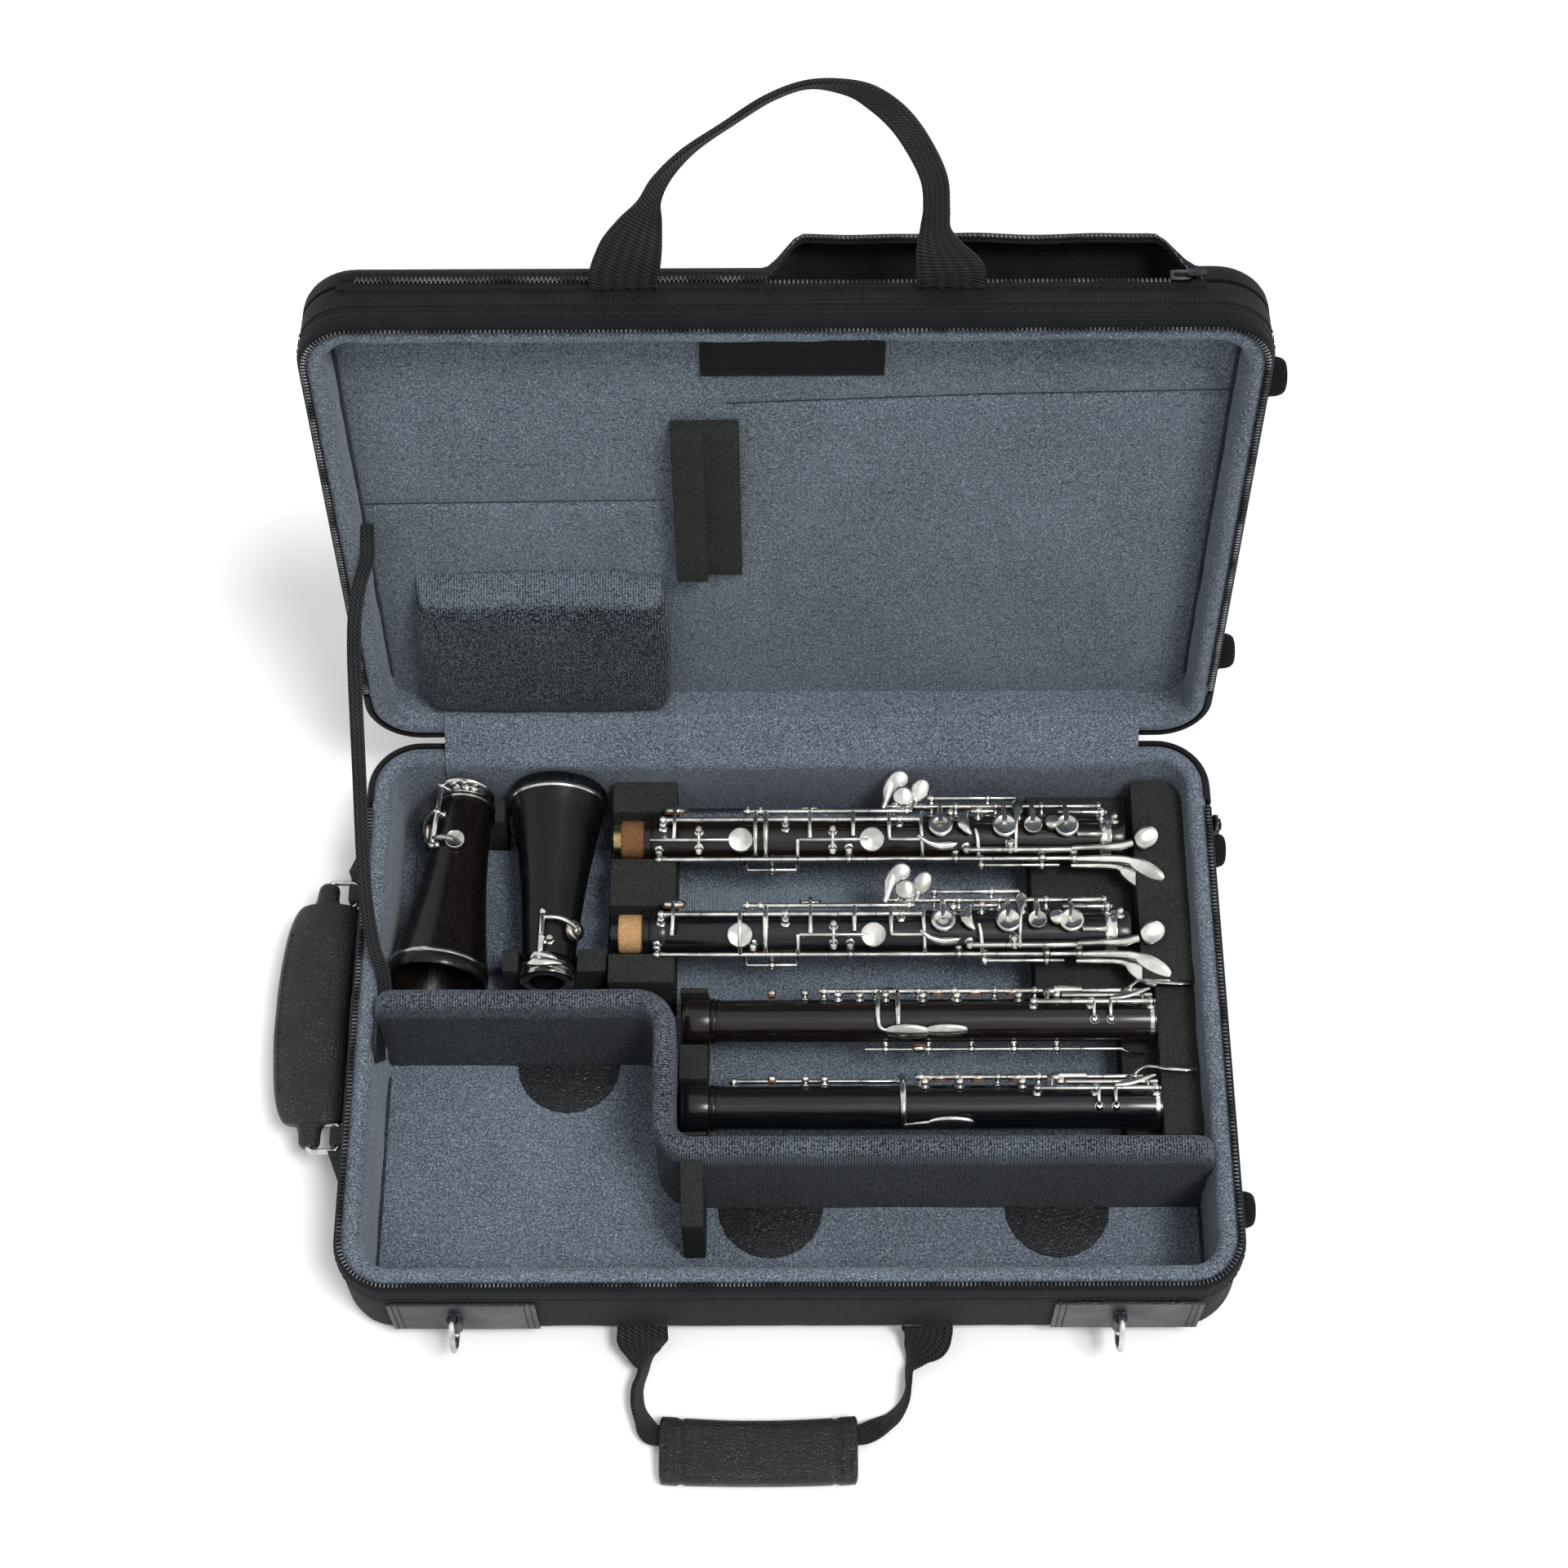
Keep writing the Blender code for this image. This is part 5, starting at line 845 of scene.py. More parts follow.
def dividerPath():
    s = dividerSizes
    bend, turned = s["bend"], [(sin(pi / 2 * k / 8), cos(pi / 2 * k / 8)) for k in range(9)]
    points = [(-s["endX"] + k * 0.004, s["leftY"]) for k in range(int((s["endX"] + s["stepX"] - bend) / 0.004) + 1)]
    x, y = s["stepX"] - bend, s["leftY"] - bend
    points += [(x + bend * d, y + bend * c) for d, c in turned]
    drop = s["leftY"] - s["rightY"] - 2 * bend
    points += [(s["stepX"], y - drop * k / 11) for k in range(1, 11)]
    x, y = s["stepX"] + bend, s["rightY"] + bend
    points += [(x - bend * c, y - bend * d) for d, c in turned]
    count = int((s["endX"] - x) / 0.004)
    return points + [(x + (s["endX"] - x) * k / count, s["rightY"]) for k in range(1, count + 1)]


def dividerForm():
    s, rows = dividerSizes, []
    path = dividerPath()
    spots = [Vector((x, y, 0)) for x, y in path]
    total = len(spots)
    for i, spot in enumerate(spots):
        across = tangentOf(spots, i).cross(zAxis)
        toEnd = abs(spot.x + s["endX"]) if i < total / 2 else abs(s["endX"] - spot.x) if i > total / 2 else 1
        high = s["high"]
        if toEnd < s["endDrop"]:
            high -= s["endDrop"] - (s["endDrop"] ** 2 - (s["endDrop"] - toEnd) ** 2) ** 0.5
        half = s["thickness"] / 2
        wave = 0.0004 * ripple(spot.x, spot.y, 0.0, 0.05)
        wall = [(half * (1 - 0.06 * sin(pi * level)), s["low"] + (high - half - s["low"]) * level)
                for level in (0.0, 0.04, 0.2, 0.4, 0.6, 0.8, 0.95)]
        roll = [(half * cos(pi * k / 12), high - half + half * sin(pi * k / 12)) for k in range(13)]
        section = wall + roll + [(-out, level) for out, level in reversed(wall)]
        rows.append([spot - across * (out + wave) + zAxis * level for out, level in section])
    return gridForm(rows)


addPiece("dividerWall", dividerForm(), "dividerVelourPaintedShade", "base", ["divider_wall"])
print("divider")


# Cut foam, leather patches and beds keep their CAD shape, with softened edges

def softCopy(name, node, skin, body, edge=0.0008, puff=0.0, cut=0.008):
    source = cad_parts[node]
    shape = bmesh.new()
    shape.from_mesh(source.data)
    bmesh.ops.transform(shape, matrix=source.matrix_world, verts=shape.verts)
    bmesh.ops.remove_doubles(shape, verts=shape.verts, dist=0.00001)
    bmesh.ops.dissolve_limit(shape, angle_limit=radians(1), verts=shape.verts, edges=shape.edges)
    sharp = [edge for edge in shape.edges if len(edge.link_faces) == 2 and edge.calc_face_angle() > radians(38)]
    bmesh.ops.bevel(shape, geom=sharp, offset=edge, segments=2, profile=0.6, affect="EDGES", clamp_overlap=True)
    bmesh.ops.triangulate(shape, faces=[f for f in shape.faces if len(f.verts) > 4])
    if puff:
        splitLong(shape, lambda edge: edge.calc_length(), cut, 4)
        shape.normal_update()
        moves = [(vert, vert.normal * puff * ripple(*vert.co, 0.022)) for vert in shape.verts]
        for vert, move in moves:
            vert.co += move
    addPiece(name, takeForm(shape), skin, body, [node], sharp=50)


foamNodes = ("cradle_lower_left", "cradle_lower_middle", "cradle_lower_right", "cradle_upper_left",
             "cradle_upper_right", "bell_rest_back", "bell_rest_front", "accessory_plate")
for node in foamNodes:
    words = node.split("_")
    softCopy(words[0] + "".join(word.title() for word in words[1:]), node, "foam", "base", 0.0010, 0.00022)
# the bell bed wears the darker velour, painted shade of the well
softCopy("bellBed", "bell_bed", "bellBedVelourPaintedShade", "base", 0.0016, 0.0003)
softCopy("lidFoamBlock", "lid_foam_block", "foam", "lid", 0.0009, 0.00020)
for side in ("left", "middle", "right"):
    softCopy("floorPatch" + side.title(), "floor_patch_" + side, "leather", "base", 0.0004)
softCopy("stayTab", "stay_tab", "leather", "base", 0.0004)
print("foam")


# Pillow in the lid: swollen like a filled pad by a short cloth run, then ribbed cloth

pillowSizes = {"left": -0.180, "right": -0.054, "low": 0.0150, "high": 0.111, "faceHigh": 0.099, "faceInset": 0.003,
               "depth": 0.0152, "back": 0.0189, "shrink": 0.0002, "voxel": 0.0032, "mass": 0.2, "frames": 14,
               "pressure": 3.5, "cap": 0.0028}


def pillowForm():
    s, shrink = pillowSizes, pillowSizes["shrink"]
    columns, lines = 34, 26
    middle, half = (s["left"] + s["right"]) / 2, (s["right"] - s["left"]) / 2 - shrink
    rows = []
    profile = [(1.0, 0.0), (1.0, 0.35), (1.0, 0.7), (0.985, 0.9), (0.95, 1.0)]
    for share, depth in profile:
        row = []
        for k in range(2 * (columns + lines)):
            if k < columns:
                a, b = -1 + 2 * k / columns, -1
            elif k < columns + lines:
                a, b = 1, -1 + 2 * (k - columns) / lines
            elif k < 2 * columns + lines:
                a, b = 1 - 2 * (k - columns - lines) / columns, 1
            else:
                a, b = -1, 1 - 2 * (k - 2 * columns - lines) / lines
            roundness = 0.05 * (abs(a * b)) ** 3
            a, b = a * (1 - roundness), b * (1 - roundness)
            high = s["high"] + (s["faceHigh"] - s["high"]) * depth - shrink
            reach = half - s["faceInset"] * depth
            rise = s["low"] + shrink + (high - s["low"] - shrink) * (b * share + 1) / 2
            row.append(lidPoint(middle + reach * a * share, rise, s["back"] - s["depth"] * depth))
        rows.append(row)
    return gridForm(rows)


def swell(made):  # a short pressure run with the points held within a cap, then applied
    shape = bmesh.new()
    shape.from_mesh(made.data)
    bmesh.ops.triangulate(shape, faces=[f for f in shape.faces if len(f.verts) > 4])
    shape.to_mesh(made.data)
    shape.free()
    remesh = made.modifiers.new("Remesh", "REMESH")
    remesh.mode = "VOXEL"
    remesh.voxel_size = pillowSizes["voxel"]
    fresh = applied(made)
    made.modifiers.clear()
    made.data = fresh
    start = np.array([vert.co[:] for vert in fresh.vertices])
    cloth = made.modifiers.new("Cloth", "CLOTH")
    cloth.settings.use_pressure = True
    cloth.settings.uniform_pressure_force = pillowSizes["pressure"]
    cloth.settings.effector_weights.gravity = 0
    cloth.settings.mass = pillowSizes["mass"]
    cloth.point_cache.frame_start = 1
    cloth.point_cache.frame_end = pillowSizes["frames"]
    for number in range(1, pillowSizes["frames"] + 1):
        scene.frame_set(number)
    shaped = applied(made)
    ended = np.array([vert.co[:] for vert in shaped.vertices])
    move = ended - start
    far = np.linalg.norm(move, axis=1, keepdims=True)
    ended = start + move * np.minimum(1, pillowSizes["cap"] / np.maximum(far, 1e-9))
    made.modifiers.clear()
    scene.frame_set(1)
    shaped.vertices.foreach_set("co", ended.ravel())
    made.data = shaped


def makePillow():
    made = addPiece("lidPillow", pillowForm(), "pillowVelourPaintedShade", "lid", ["lid_pillow"])
    swell(made)
    smooth = made.modifiers.new("Smooth", "SUBSURF")
    smooth.levels = smooth.render_levels = 1
    mesh = applied(made)
    made.modifiers.clear()
    made.data = mesh
    back = lidPoint(0, 0, pillowSizes["back"])
    deeper = lidDown.normalized()
    for vert in mesh.vertices:  # its back stays flat on the lid
        over = (vert.co - back).dot(deeper)
        if over > 0:
            vert.co -= deeper * over
    layer = mesh.uv_layers.get("flat") or mesh.uv_layers.new(name="flat")
    corner, rise = lidPoint(0, 0, 0), lidLocal.to_3x3() @ Vector((0, -1, 0))
    for loop in mesh.loops:  # flat coordinates in metres, as the ribs want them
        spot = mesh.vertices[loop.vertex_index].co - corner
        layer.data[loop.index].uv = (spot.dot(xAxis), spot.dot(rise))
    mesh.shade_smooth()


makePillow()
print("pillow")


# Bare cloth label sewn to the lid's floor

labelSizes = {"x": 0.0028, "rise": 0.2515, "width": 0.080, "height": 0.029, "depth": 0.0176, "thick": 0.0012}


def makeLabel():
    s = labelSizes
    rows = []
    for edge, depth in ((0.0, s["depth"]), (0.0, s["depth"] - s["thick"] * 0.6), (0.0006, s["depth"] - s["thick"]),
                        (0.0030, s["depth"] - s["thick"] - 0.0001), (0.0036, s["depth"] - s["thick"] + 0.0002),
                        (0.0042, s["depth"] - s["thick"] - 0.0001)):
        row = []
        w, h = s["width"] / 2 - edge, s["height"] / 2 - edge
        for a, b, toA, toB, count in ((-1, -1, 1, -1, 20), (1, -1, 1, 1, 8), (1, 1, -1, 1, 20), (-1, 1, -1, -1, 8)):
            for k in range(count):
                x = w * (a + (toA - a) * k / count)
                rise = h * (b + (toB - b) * k / count)
                row.append(lidPoint(s["x"] + x, s["rise"] + rise, depth - 0.00015 * ripple(x, rise, 0, 0.02)))
        rows.append(row)
    addPiece("lidLabel", gridForm(rows), "label", "lid", ["lid_label"])
    lines = []
    w, h = s["width"] / 2 - 0.0036, s["height"] / 2 - 0.0036
    corners = [(-w, -h), (w, -h), (w, h), (-w, h), (-w, -h)]
    for first, second in zip(corners, corners[1:]):
        line = [lidPoint(s["x"] + x, s["rise"] + rise, s["depth"] - s["thick"]) for x, rise in (first, second)]
        lines.append(stitchRow(line, -lidDown, 0.8, 0.0005))
    addPiece("labelStitches", joinForms(lines), "thread", "lid")


makeLabel()


# Lining sheet over the hinge, from the base's back wall to the lid

spineSizes = {"left": -0.170, "right": 0.173, "low": 0.0183, "roll": 0.00475, "fromFace": 0.00755, "thick": 0.0022,
              "columns": 110, "wave": 0.0005}


def spineLine(offset):
    s = spineSizes
    angle, hinge = case["lidAngle"], Vector((case["halfDepth"], case["baseHeight"]))
    lidUp, into = Vector((-cos(angle), sin(angle))), Vector((sin(angle), cos(angle)))
    first = hinge - Vector((s["fromFace"], 0.0002 + s["roll"]))
    second = hinge + lidUp * s["fromFace"] + into * (0.0002 + s["roll"])
    over = (second - first).normalized()
    crossing, landing = atan2(over.y, over.x) + pi / 2, atan2(lidUp.y, lidUp.x)
    radius = s["roll"] + 0.0003 + offset

    def swing(middle, start, end):
        turns = [start + (end - start) * k / 8 for k in range(9)]
        return [middle + radius * Vector((cos(turn), sin(turn))) for turn in turns]

    points = [Vector((first.x - radius, s["low"] + (first.y - s["low"]) * k / 12)) for k in range(12)]
    points += swing(first, pi, crossing) + swing(second, crossing, landing)
    run = case["lidFloor"] - s["roll"] - 0.0005
    return points + [second + lidUp * radius + into * run * k / 6 for k in range(1, 7)]


def makeSpine():
    s = spineSizes
    near, far = spineLine(0.0), spineLine(s["thick"])
    rows = []
    for i in range(s["columns"] + 1):
        share = i / s["columns"]
        x = s["left"] + (s["right"] - s["left"]) * share
        edge = min(share, 1 - share) * (s["right"] - s["left"])
        seam = 0.0007 * np.exp(-((edge - 0.004) / 0.0012) ** 2)
        row = []
        for k, (inner, outer) in enumerate(zip(near, far)):
            through = outer - inner
            body = through * (1 - 0.35 * np.exp(-edge / 0.002)) - through.normalized() * seam
            body += through.normalized() * s["wave"] * ripple(x, k * 0.003, 1.0, 0.03) * min(1, k / 4)
            row.append((x, *(inner + body)))
        rows.append(row + [(x, *point) for point in reversed(near)])
    made = addPiece("spinePanel", gridForm(rows), "panelVelour", None, sharp=60)
    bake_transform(made)
    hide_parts("spine_panel")
    line = spineLine(s["thick"] / 2)


makeSpine()


# Webbing: stations are place, half width and turn, drawn soft

webSection = ((-1.0, 0.0), (-1.0, 0.55), (-0.96, 1.0), (-0.5, 0.94), (0.0, 0.9), (0.5, 0.94), (0.96, 1.0),
              (1.0, 0.55))


def webForm(stations, normal, thickness):
    smooth = smoothPath([(*spot, wide, turn) for spot, wide, turn in stations], 8)
    spots = [Vector(row[:3]) for row in smooth]
    rows = []
    for i, (_, _, _, wide, turn) in enumerate(smooth):
        way = tangentOf(spots, i)
        across = way.cross(normal).normalized()
        out = across.cross(way).normalized()
        side = cos(turn) * across + sin(turn) * out
        lift = cos(turn) * out - sin(turn) * across
        rows.append([spots[i] + side * wide * p * a + lift * thickness / 2 * q * a
                     for a in (1, -1) for p, q in webSection])
    return gridForm(rows)


staySizes = {
    "baseY": 0.0045, "baseZ": 0.058, "lidRise": 0.150, "lidDepth": 0.010, "half": 0.00325, "thick": 0.0015,
    "bow": 0.0082,
    "shares": ((0, 0), (0.06, 0.10), (0.12, 0.60), (0.25, 0.95), (0.5, 1), (0.75, 1), (0.86, 0.65), (0.93, 0.05),
               (0.96, 0), (1, 0)),
}


def makeStay():
    s = staySizes
    x = -(case["halfWidth"] - case["wall"] - case["gap"]) + s["half"]
    low, high = Vector((x, s["baseY"], s["baseZ"])), lidPoint(x, s["lidRise"], s["lidDepth"])
    stations = [(low.lerp(high, share) - Vector((s["bow"] * bow, 0, 0)), s["half"], 0.0)
                for share, bow in s["shares"]]
    form = webForm(stations, Vector((0, -1, 1)).normalized(), s["thick"])
    made = addPiece("stayStrap", form, "webbing", "base", ["stay_strap"])
    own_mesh(made)


makeStay()

# Shares of each handle's sizes: (across, up, width, turn) on the lid, (across, out, down, width, turn) in front
handleShares = {
    "lid": ((-1, 0, 1, 0), (-1, 0.05, 1, 0), (-0.97, 0.13, 0.96, 0.02), (-0.93, 0.23, 0.8, 0.08),
            (-0.87, 0.35, 0.42, 0.3), (-0.81, 0.45, 0, 0.6), (-0.73, 0.56, 0, 0.75), (-0.57, 0.69, 0, 0.85),
            (-0.33, 0.82, 0, 0.9), (-0.09, 0.94, 0, 0.85), (0.14, 1, 0, 0.75), (0.38, 0.98, 0, 0.45),
            (0.53, 0.92, 0, 0.15), (0.67, 0.82, 0, 0), (0.79, 0.68, 0, 0), (0.87, 0.54, 0, 0.08),
            (0.89, 0.4, 0, 0.22), (0.89, 0.3, 0.1, 0.22), (0.92, 0.2, 0.5, 0.1), (0.97, 0.11, 0.88, 0.02),
            (1, 0.05, 1, 0), (1, 0, 1, 0)),
    "left": ((-1, 0, 0, 1, 0), (-1, 0.04, 0, 1, 0), (-1, 0.12, 0.2, 1, 0.05), (-0.995, 0.21, 0.55, 0.7, 0.35),
             (-0.995, 0.3, 0.95, 0.468, 0.8), (-1.015, 0.4, 1, 0.468, 0.9), (-1.035, 0.5, 1, 0.468, 0.8),
             (-1.025, 0.64, 1, 0.468, 0.7), (-0.98, 0.76, 1, 0.468, 0.5)),
    "right": ((0.69, 0.78, 1, 0.468, 0.45), (0.76, 0.72, 1, 0.468, 0.6), (0.83, 0.6, 1, 0.468, 0.8),
              (0.865, 0.46, 1, 0.468, 0.95), (0.875, 0.32, 0.95, 0.468, 0.85), (0.92, 0.21, 0.55, 0.7, 0.35),
              (0.975, 0.12, 0.2, 1, 0.05), (1, 0.04, 0, 1, 0), (1, 0, 0, 1, 0)),
}


lidHandleSizes = {"span": 0.1379, "x": 0.0008, "rise": 0.1075, "depth": 0.0215, "root": 0.029, "web": 0.0112,
                  "thick": 0.0024, "turn": 0.62, "stitches": (0.0016, 0.0075), "seam": 0.011}


def makeLidHandle():
    s = lidHandleSizes
    rootRise = case["lidReach"] + s["thick"] / 2 + case["gap"]
    stations = [(lidPoint(s["x"] + a * s["span"] / 2, rootRise + r * s["rise"], s["depth"]),
                 s["web"] / 2 + (s["root"] - s["web"]) / 2 * w, -s["turn"] * t * pi / 2)
                for a, r, w, t in handleShares["lid"]]
    addPiece("lidHandle", webForm(stations, lidDown, s["thick"]), "webbing", "top_handle", ["lid_handle"])
    rows = []
    for side in (-1, 1):
        centre = s["x"] + side * s["span"] / 2
        for sign in (-1, 1):
            face = s["depth"] + sign * s["thick"] / 2
            for up in s["stitches"]:
                line = [lidPoint(centre + end * s["seam"], rootRise + up, face) for end in (-1, 1)]
                rows.append(stitchRow(line, lidDown * sign, 0.9))
    addPiece("lidHandleStitches", joinForms(rows), "thread", "top_handle")


makeLidHandle()

gripSizes = {"length": 0.091, "width": 0.031, "thick": 0.0115, "x": -0.0145, "reach": 0.0555,
             "band": 0.010, "groove": 0.0009, "slot": 0.023, "bend": 0.0016}


frontWebSizes = {"x": -0.0023, "span": 0.1323, "z": 0.016, "root": 0.01175, "half": 0.0055, "thick": 0.0022}


def flattened(form, low):  # nothing lies lower than the table under it
    return ([(x, y, max(z, low)) for x, y, z in form[0]], *form[1:])


def makeFrontHandle():
    s, web = gripSizes, frontWebSizes
    rootY = -(case["halfDepth"] + web["thick"] / 2 + case["gap"])
    lie = web["half"] + 0.0005 - web["z"]
    middle = 0.0005 + s["thick"] / 2

    def spot(across, out, down):
        return Vector((web["x"] + across * web["span"] / 2, rootY - out * s["reach"], web["z"] + down * lie))

    flat = s["slot"] / 2 - 0.0006
    inside = s["length"] / 2
    entry = 0.008
    left, right = ([(spot(a, o, d), web["root"] * w, t * pi / 2) for a, o, d, w, t in handleShares[name]]
                   for name in ("left", "right"))
    between = []
    for side, step, out, share in ((-1, 0.5, 0.86, 0.45), (-1, -0.5, 0.89, 0.45), (-1, -3, 1, 0.7), (1, -3, 1, 0.7),
                                   (1, -0.5, 0.89, 0.45), (1, 0.5, 0.86, 0.45)):
        place = (s["x"] + side * (inside + step * entry), rootY - out * s["reach"], middle)
        between.append((Vector(place), share * flat, 0.0))
    form = flattened(webForm(left + between + right, zAxis, web["thick"]), 0.0003)
    addPiece("frontHandleWebbing", form, "webbing", "front_handle", ["front_handle_webbing"])
    makeGrip(Vector((s["x"], rootY - s["reach"], middle)))


def makeGrip(centre):
    s = gripSizes
    rows = []
    half = s["length"] / 2
    places = [-half, -half, -half + 0.0004, -half + 0.0012]
    places += [-half + 0.0012 + (2 * half - 0.0024) * k / 66 for k in range(1, 66)]
    places += [half - 0.0012, half - 0.0004, half, half]
    for i, x in enumerate(places):
        toEnd = half - abs(x)
        close = (0.30 if i in (0, len(places) - 1) else 0.80 if toEnd < 0.0001 else 0.93 if toEnd < 0.0006 else 1.0)
        bump = 0.0
        if abs(toEnd - s["band"]) < 0.0016:
            bump = -s["groove"] * cos((toEnd - s["band"]) / 0.0016 * pi / 2)
        waist = 1 - 0.035 * (1 - (abs(x) / half) ** 2) if toEnd > s["band"] else 1.0
        row, bend = [], -s["bend"] * (1 - (x / half) ** 2)
        for k, (c, d) in enumerate(circle(36)):
            y = squared(c, 0.42) * s["width"] / 2 * waist
            z = squared(d, 0.62) * s["thick"] / 2
            crease = 0.0005 * ripple(x * 0.8, 2 * pi * k / 36 * 0.012, 2.0, 0.010, 1) if toEnd > s["band"] else 0.0
            reach = 1 + (bump + crease) / (s["thick"] / 2)
            row.append(centre + Vector((x, bend + y * close * (1 + bump / 0.02), z * close * reach)))
        rows.append(row)
    form = flattened(gridForm(rows), centre.z - s["thick"] / 2)
    addPiece("frontHandleGrip", form, "leather", "front_handle", ["front_handle_grip"])
    lines = []
    top = centre.z + s["thick"] / 2 + 0.0001
    for side in (-1, 1):
        for inset in (0.0030, s["band"] - 0.0030):
            x = centre.x + side * (half - inset)
            bend = s["bend"] * (1 - ((x - centre.x) / half) ** 2)
            line = [Vector((x, centre.y - bend + q * s["width"] / 2, top - 0.0006 * abs(q) ** 3))
                    for q in (-0.80, -0.4, 0, 0.4, 0.80)]
            lines.append(stitchRow(line, zAxis, 0.9))
    for side in (-1, 1):
        line = [Vector((centre.x + p * (half - s["band"] - 0.002),
                        centre.y - s["bend"] * (1 - 0.6 * p * p) + side * s["width"] * 0.42, top - 0.0012))
                for p in (-1, -0.5, 0, 0.5, 1)]
        lines.append(stitchRow(line, (zAxis + side * 0.35 * yAxis).normalized(), 0.9))
    addPiece("gripStitches", joinForms(lines), "thread", "front_handle")


makeFrontHandle()
print("webbing and grip")


# Side handle: a stuffed leather grip on two wire rings, in leather brackets

sideSizes = {"x": -0.214, "y": 0.009, "z": 0.030, "length": 0.111, "ear": 0.0135, "width": 0.031, "thick": 0.013,
             "wire": 0.0015, "ringLength": 0.014, "ringReach": 0.0145, "inward": 0.0026,
             "shares": ((1.00, 1.00, 0.20, 0.50), (0.97, 1.02, 0.28, 0.58), (0.85, 1.06, 0.36, 0.62),
                        (0.81, 1.07, 0.80, 0.78), (0.62, 1.22, 0.96, 0.95), (0.28, 1.35, 1.00, 1.00))}


def makeSideHandle():
    s = sideSizes
    centre = Vector((s["x"], s["y"], s["z"]))
    reach = s["length"] / 2 + s["ear"]
    stations = list(s["shares"]) + [(0.0, 1.38, 1.0, 1.0)] + [(-a, o, w, t) for a, o, w, t in reversed(s["shares"])]

    def spot(a, out, wide, share, lift):  # share is 1 at the outer edge and -1 at the inner one
        x = -out * s["ringReach"] + wide * (s["inward"] + (s["width"] / 2 + s["inward"]) * share)
        return centre + Vector((x, a * reach, lift))

    rows = []
    for a, out, wide, thick in smoothPath(stations, 7):
        row = []
        for k, (c, d) in enumerate(circle(32)):
            crease = 1 + 0.03 * ripple(a * 0.2, 2 * pi * k / 32 * 0.01, 5.0, 0.02)
            row.append(spot(a, out, wide, squared(c, 0.8), thick * s["thick"] / 2 * d * crease))
        rows.append(row)
    addPiece("sideHandleGrip", gridForm(rows), "leather", "side_handle", ["side_handle_grip"])
    lines, lift = [], (1 - 0.86 ** 2.5) ** 0.5
    for side in (-1, 1):
        for face in (-1, 1):
            line = [spot(a, out, wide, 0.86 * side, face * thick * s["thick"] / 2 * lift)
                    for a, out, wide, thick in smoothPath(stations[4:-4], 6)]
            lines.append(stitchRow(line, Vector((side * 0.7, 0, face)).normalized(), 0.9))
    addPiece("sideGripStitches", joinForms(lines), "thread", "side_handle")
    for end, name in ((1, "back"), (-1, "front")):
        middle = end * (s["length"] / 2 + s["wire"] + s["ringLength"] / 2)
        halfX, halfY, corner = s["ringReach"] / 2, s["ringLength"] / 2, 0.0034
        points = []
        for i, (cx, cy) in enumerate(((1, 1), (-1, 1), (-1, -1), (1, -1))):
            for k in range(7):
                angle = (i + k / 6) * pi / 2
                points.append(centre + Vector((cx * (halfX - corner) + corner * cos(angle) - halfX,
                                               cy * (halfY - corner) + corner * sin(angle) + middle, 0)))
        ring = tubeForm(points, s["wire"], 12, True)
        addPiece("sideRing" + name.title(), ring, "steel", "side_handle", ["side_handle_ring_" + name])
        softCopy("sideBracket" + name.title(), "side_handle_bracket_" + name, "leather", "base", 0.0006)
        face = -(case["halfWidth"] + case["gap"] + case["leather"] + 0.0001)
        tail = s["y"] + middle + end * 0.034
        lines = [[Vector((face, s["y"] + middle + end * p, s["z"] + level)) for p in (-0.006, 0.032)]
                 for level in (-0.0105, 0.0105)]
        lines.append([Vector((face, tail - end * 0.0022, s["z"] + q)) for q in (-0.0105, 0.0105)])
        stitches = joinForms([stitchRow(line, -xAxis, 0.9) for line in lines])
        addPiece("sideBracketStitches" + name.title(), stitches, "thread", "base")


makeSideHandle()


# Front patches with their rings

patchSizes = {"left": (-0.150, -0.154), "right": (0.155, 0.1515), "half": 0.034, "rows": (0.0024, 0.0052),
              "high": 0.0145}
ringSizes = {"axisY": -0.1463, "z": 0.031, "height": 0.022, "reach": 0.0125, "wire": 0.0014, "corner": 0.0034}


def makeFrontPatches():
    s = ringSizes
    for side in ("left", "right"):
        patchX, ringX = patchSizes[side]
        softCopy("frontPatch" + side.title(), "front_patch_" + side, "patchLeather", "base", 0.0005, 0.0002,
                 cut=0.006)
        face = -(case["halfDepth"] + case["gap"] + case["leather"] + 0.0001)
        lines = []
        for end in (-1, 1):
            for inset in patchSizes["rows"]:
                x = patchX + end * (patchSizes["half"] - inset)
                line = [Vector((x, face, s["z"] + way * patchSizes["high"])) for way in (-1, 1)]
                lines.append(stitchRow(line, -yAxis, 0.9, 0.0))
        addPiece("patchStitches" + side.title(), joinForms(lines), "thread", "base")
        half, corner = s["height"] / 2, s["corner"]
        points = [(0, -half + corner + (s["height"] - 2 * corner) * k / 6) for k in range(7)]
        points += arc(-corner, half - corner, corner, 0, pi / 2, 5)[1:]
        points += [(-corner - (s["reach"] - corner) * d, half * c) for c, d in circle(48)[1:24]]
        points += arc(-corner, -half + corner, corner, -pi / 2, pi / 2, 5)[:-1]
        line = [Vector((ringX, s["axisY"] + x, s["z"] + y)) for x, y in points]
        ring = tubeForm(line, s["wire"], 12, True, xAxis)
        addPiece("dRing" + side.title(), ring, "steel", side + "_ring", ["d_ring_" + side])


makeFrontPatches()


# Rubber feet on the right side

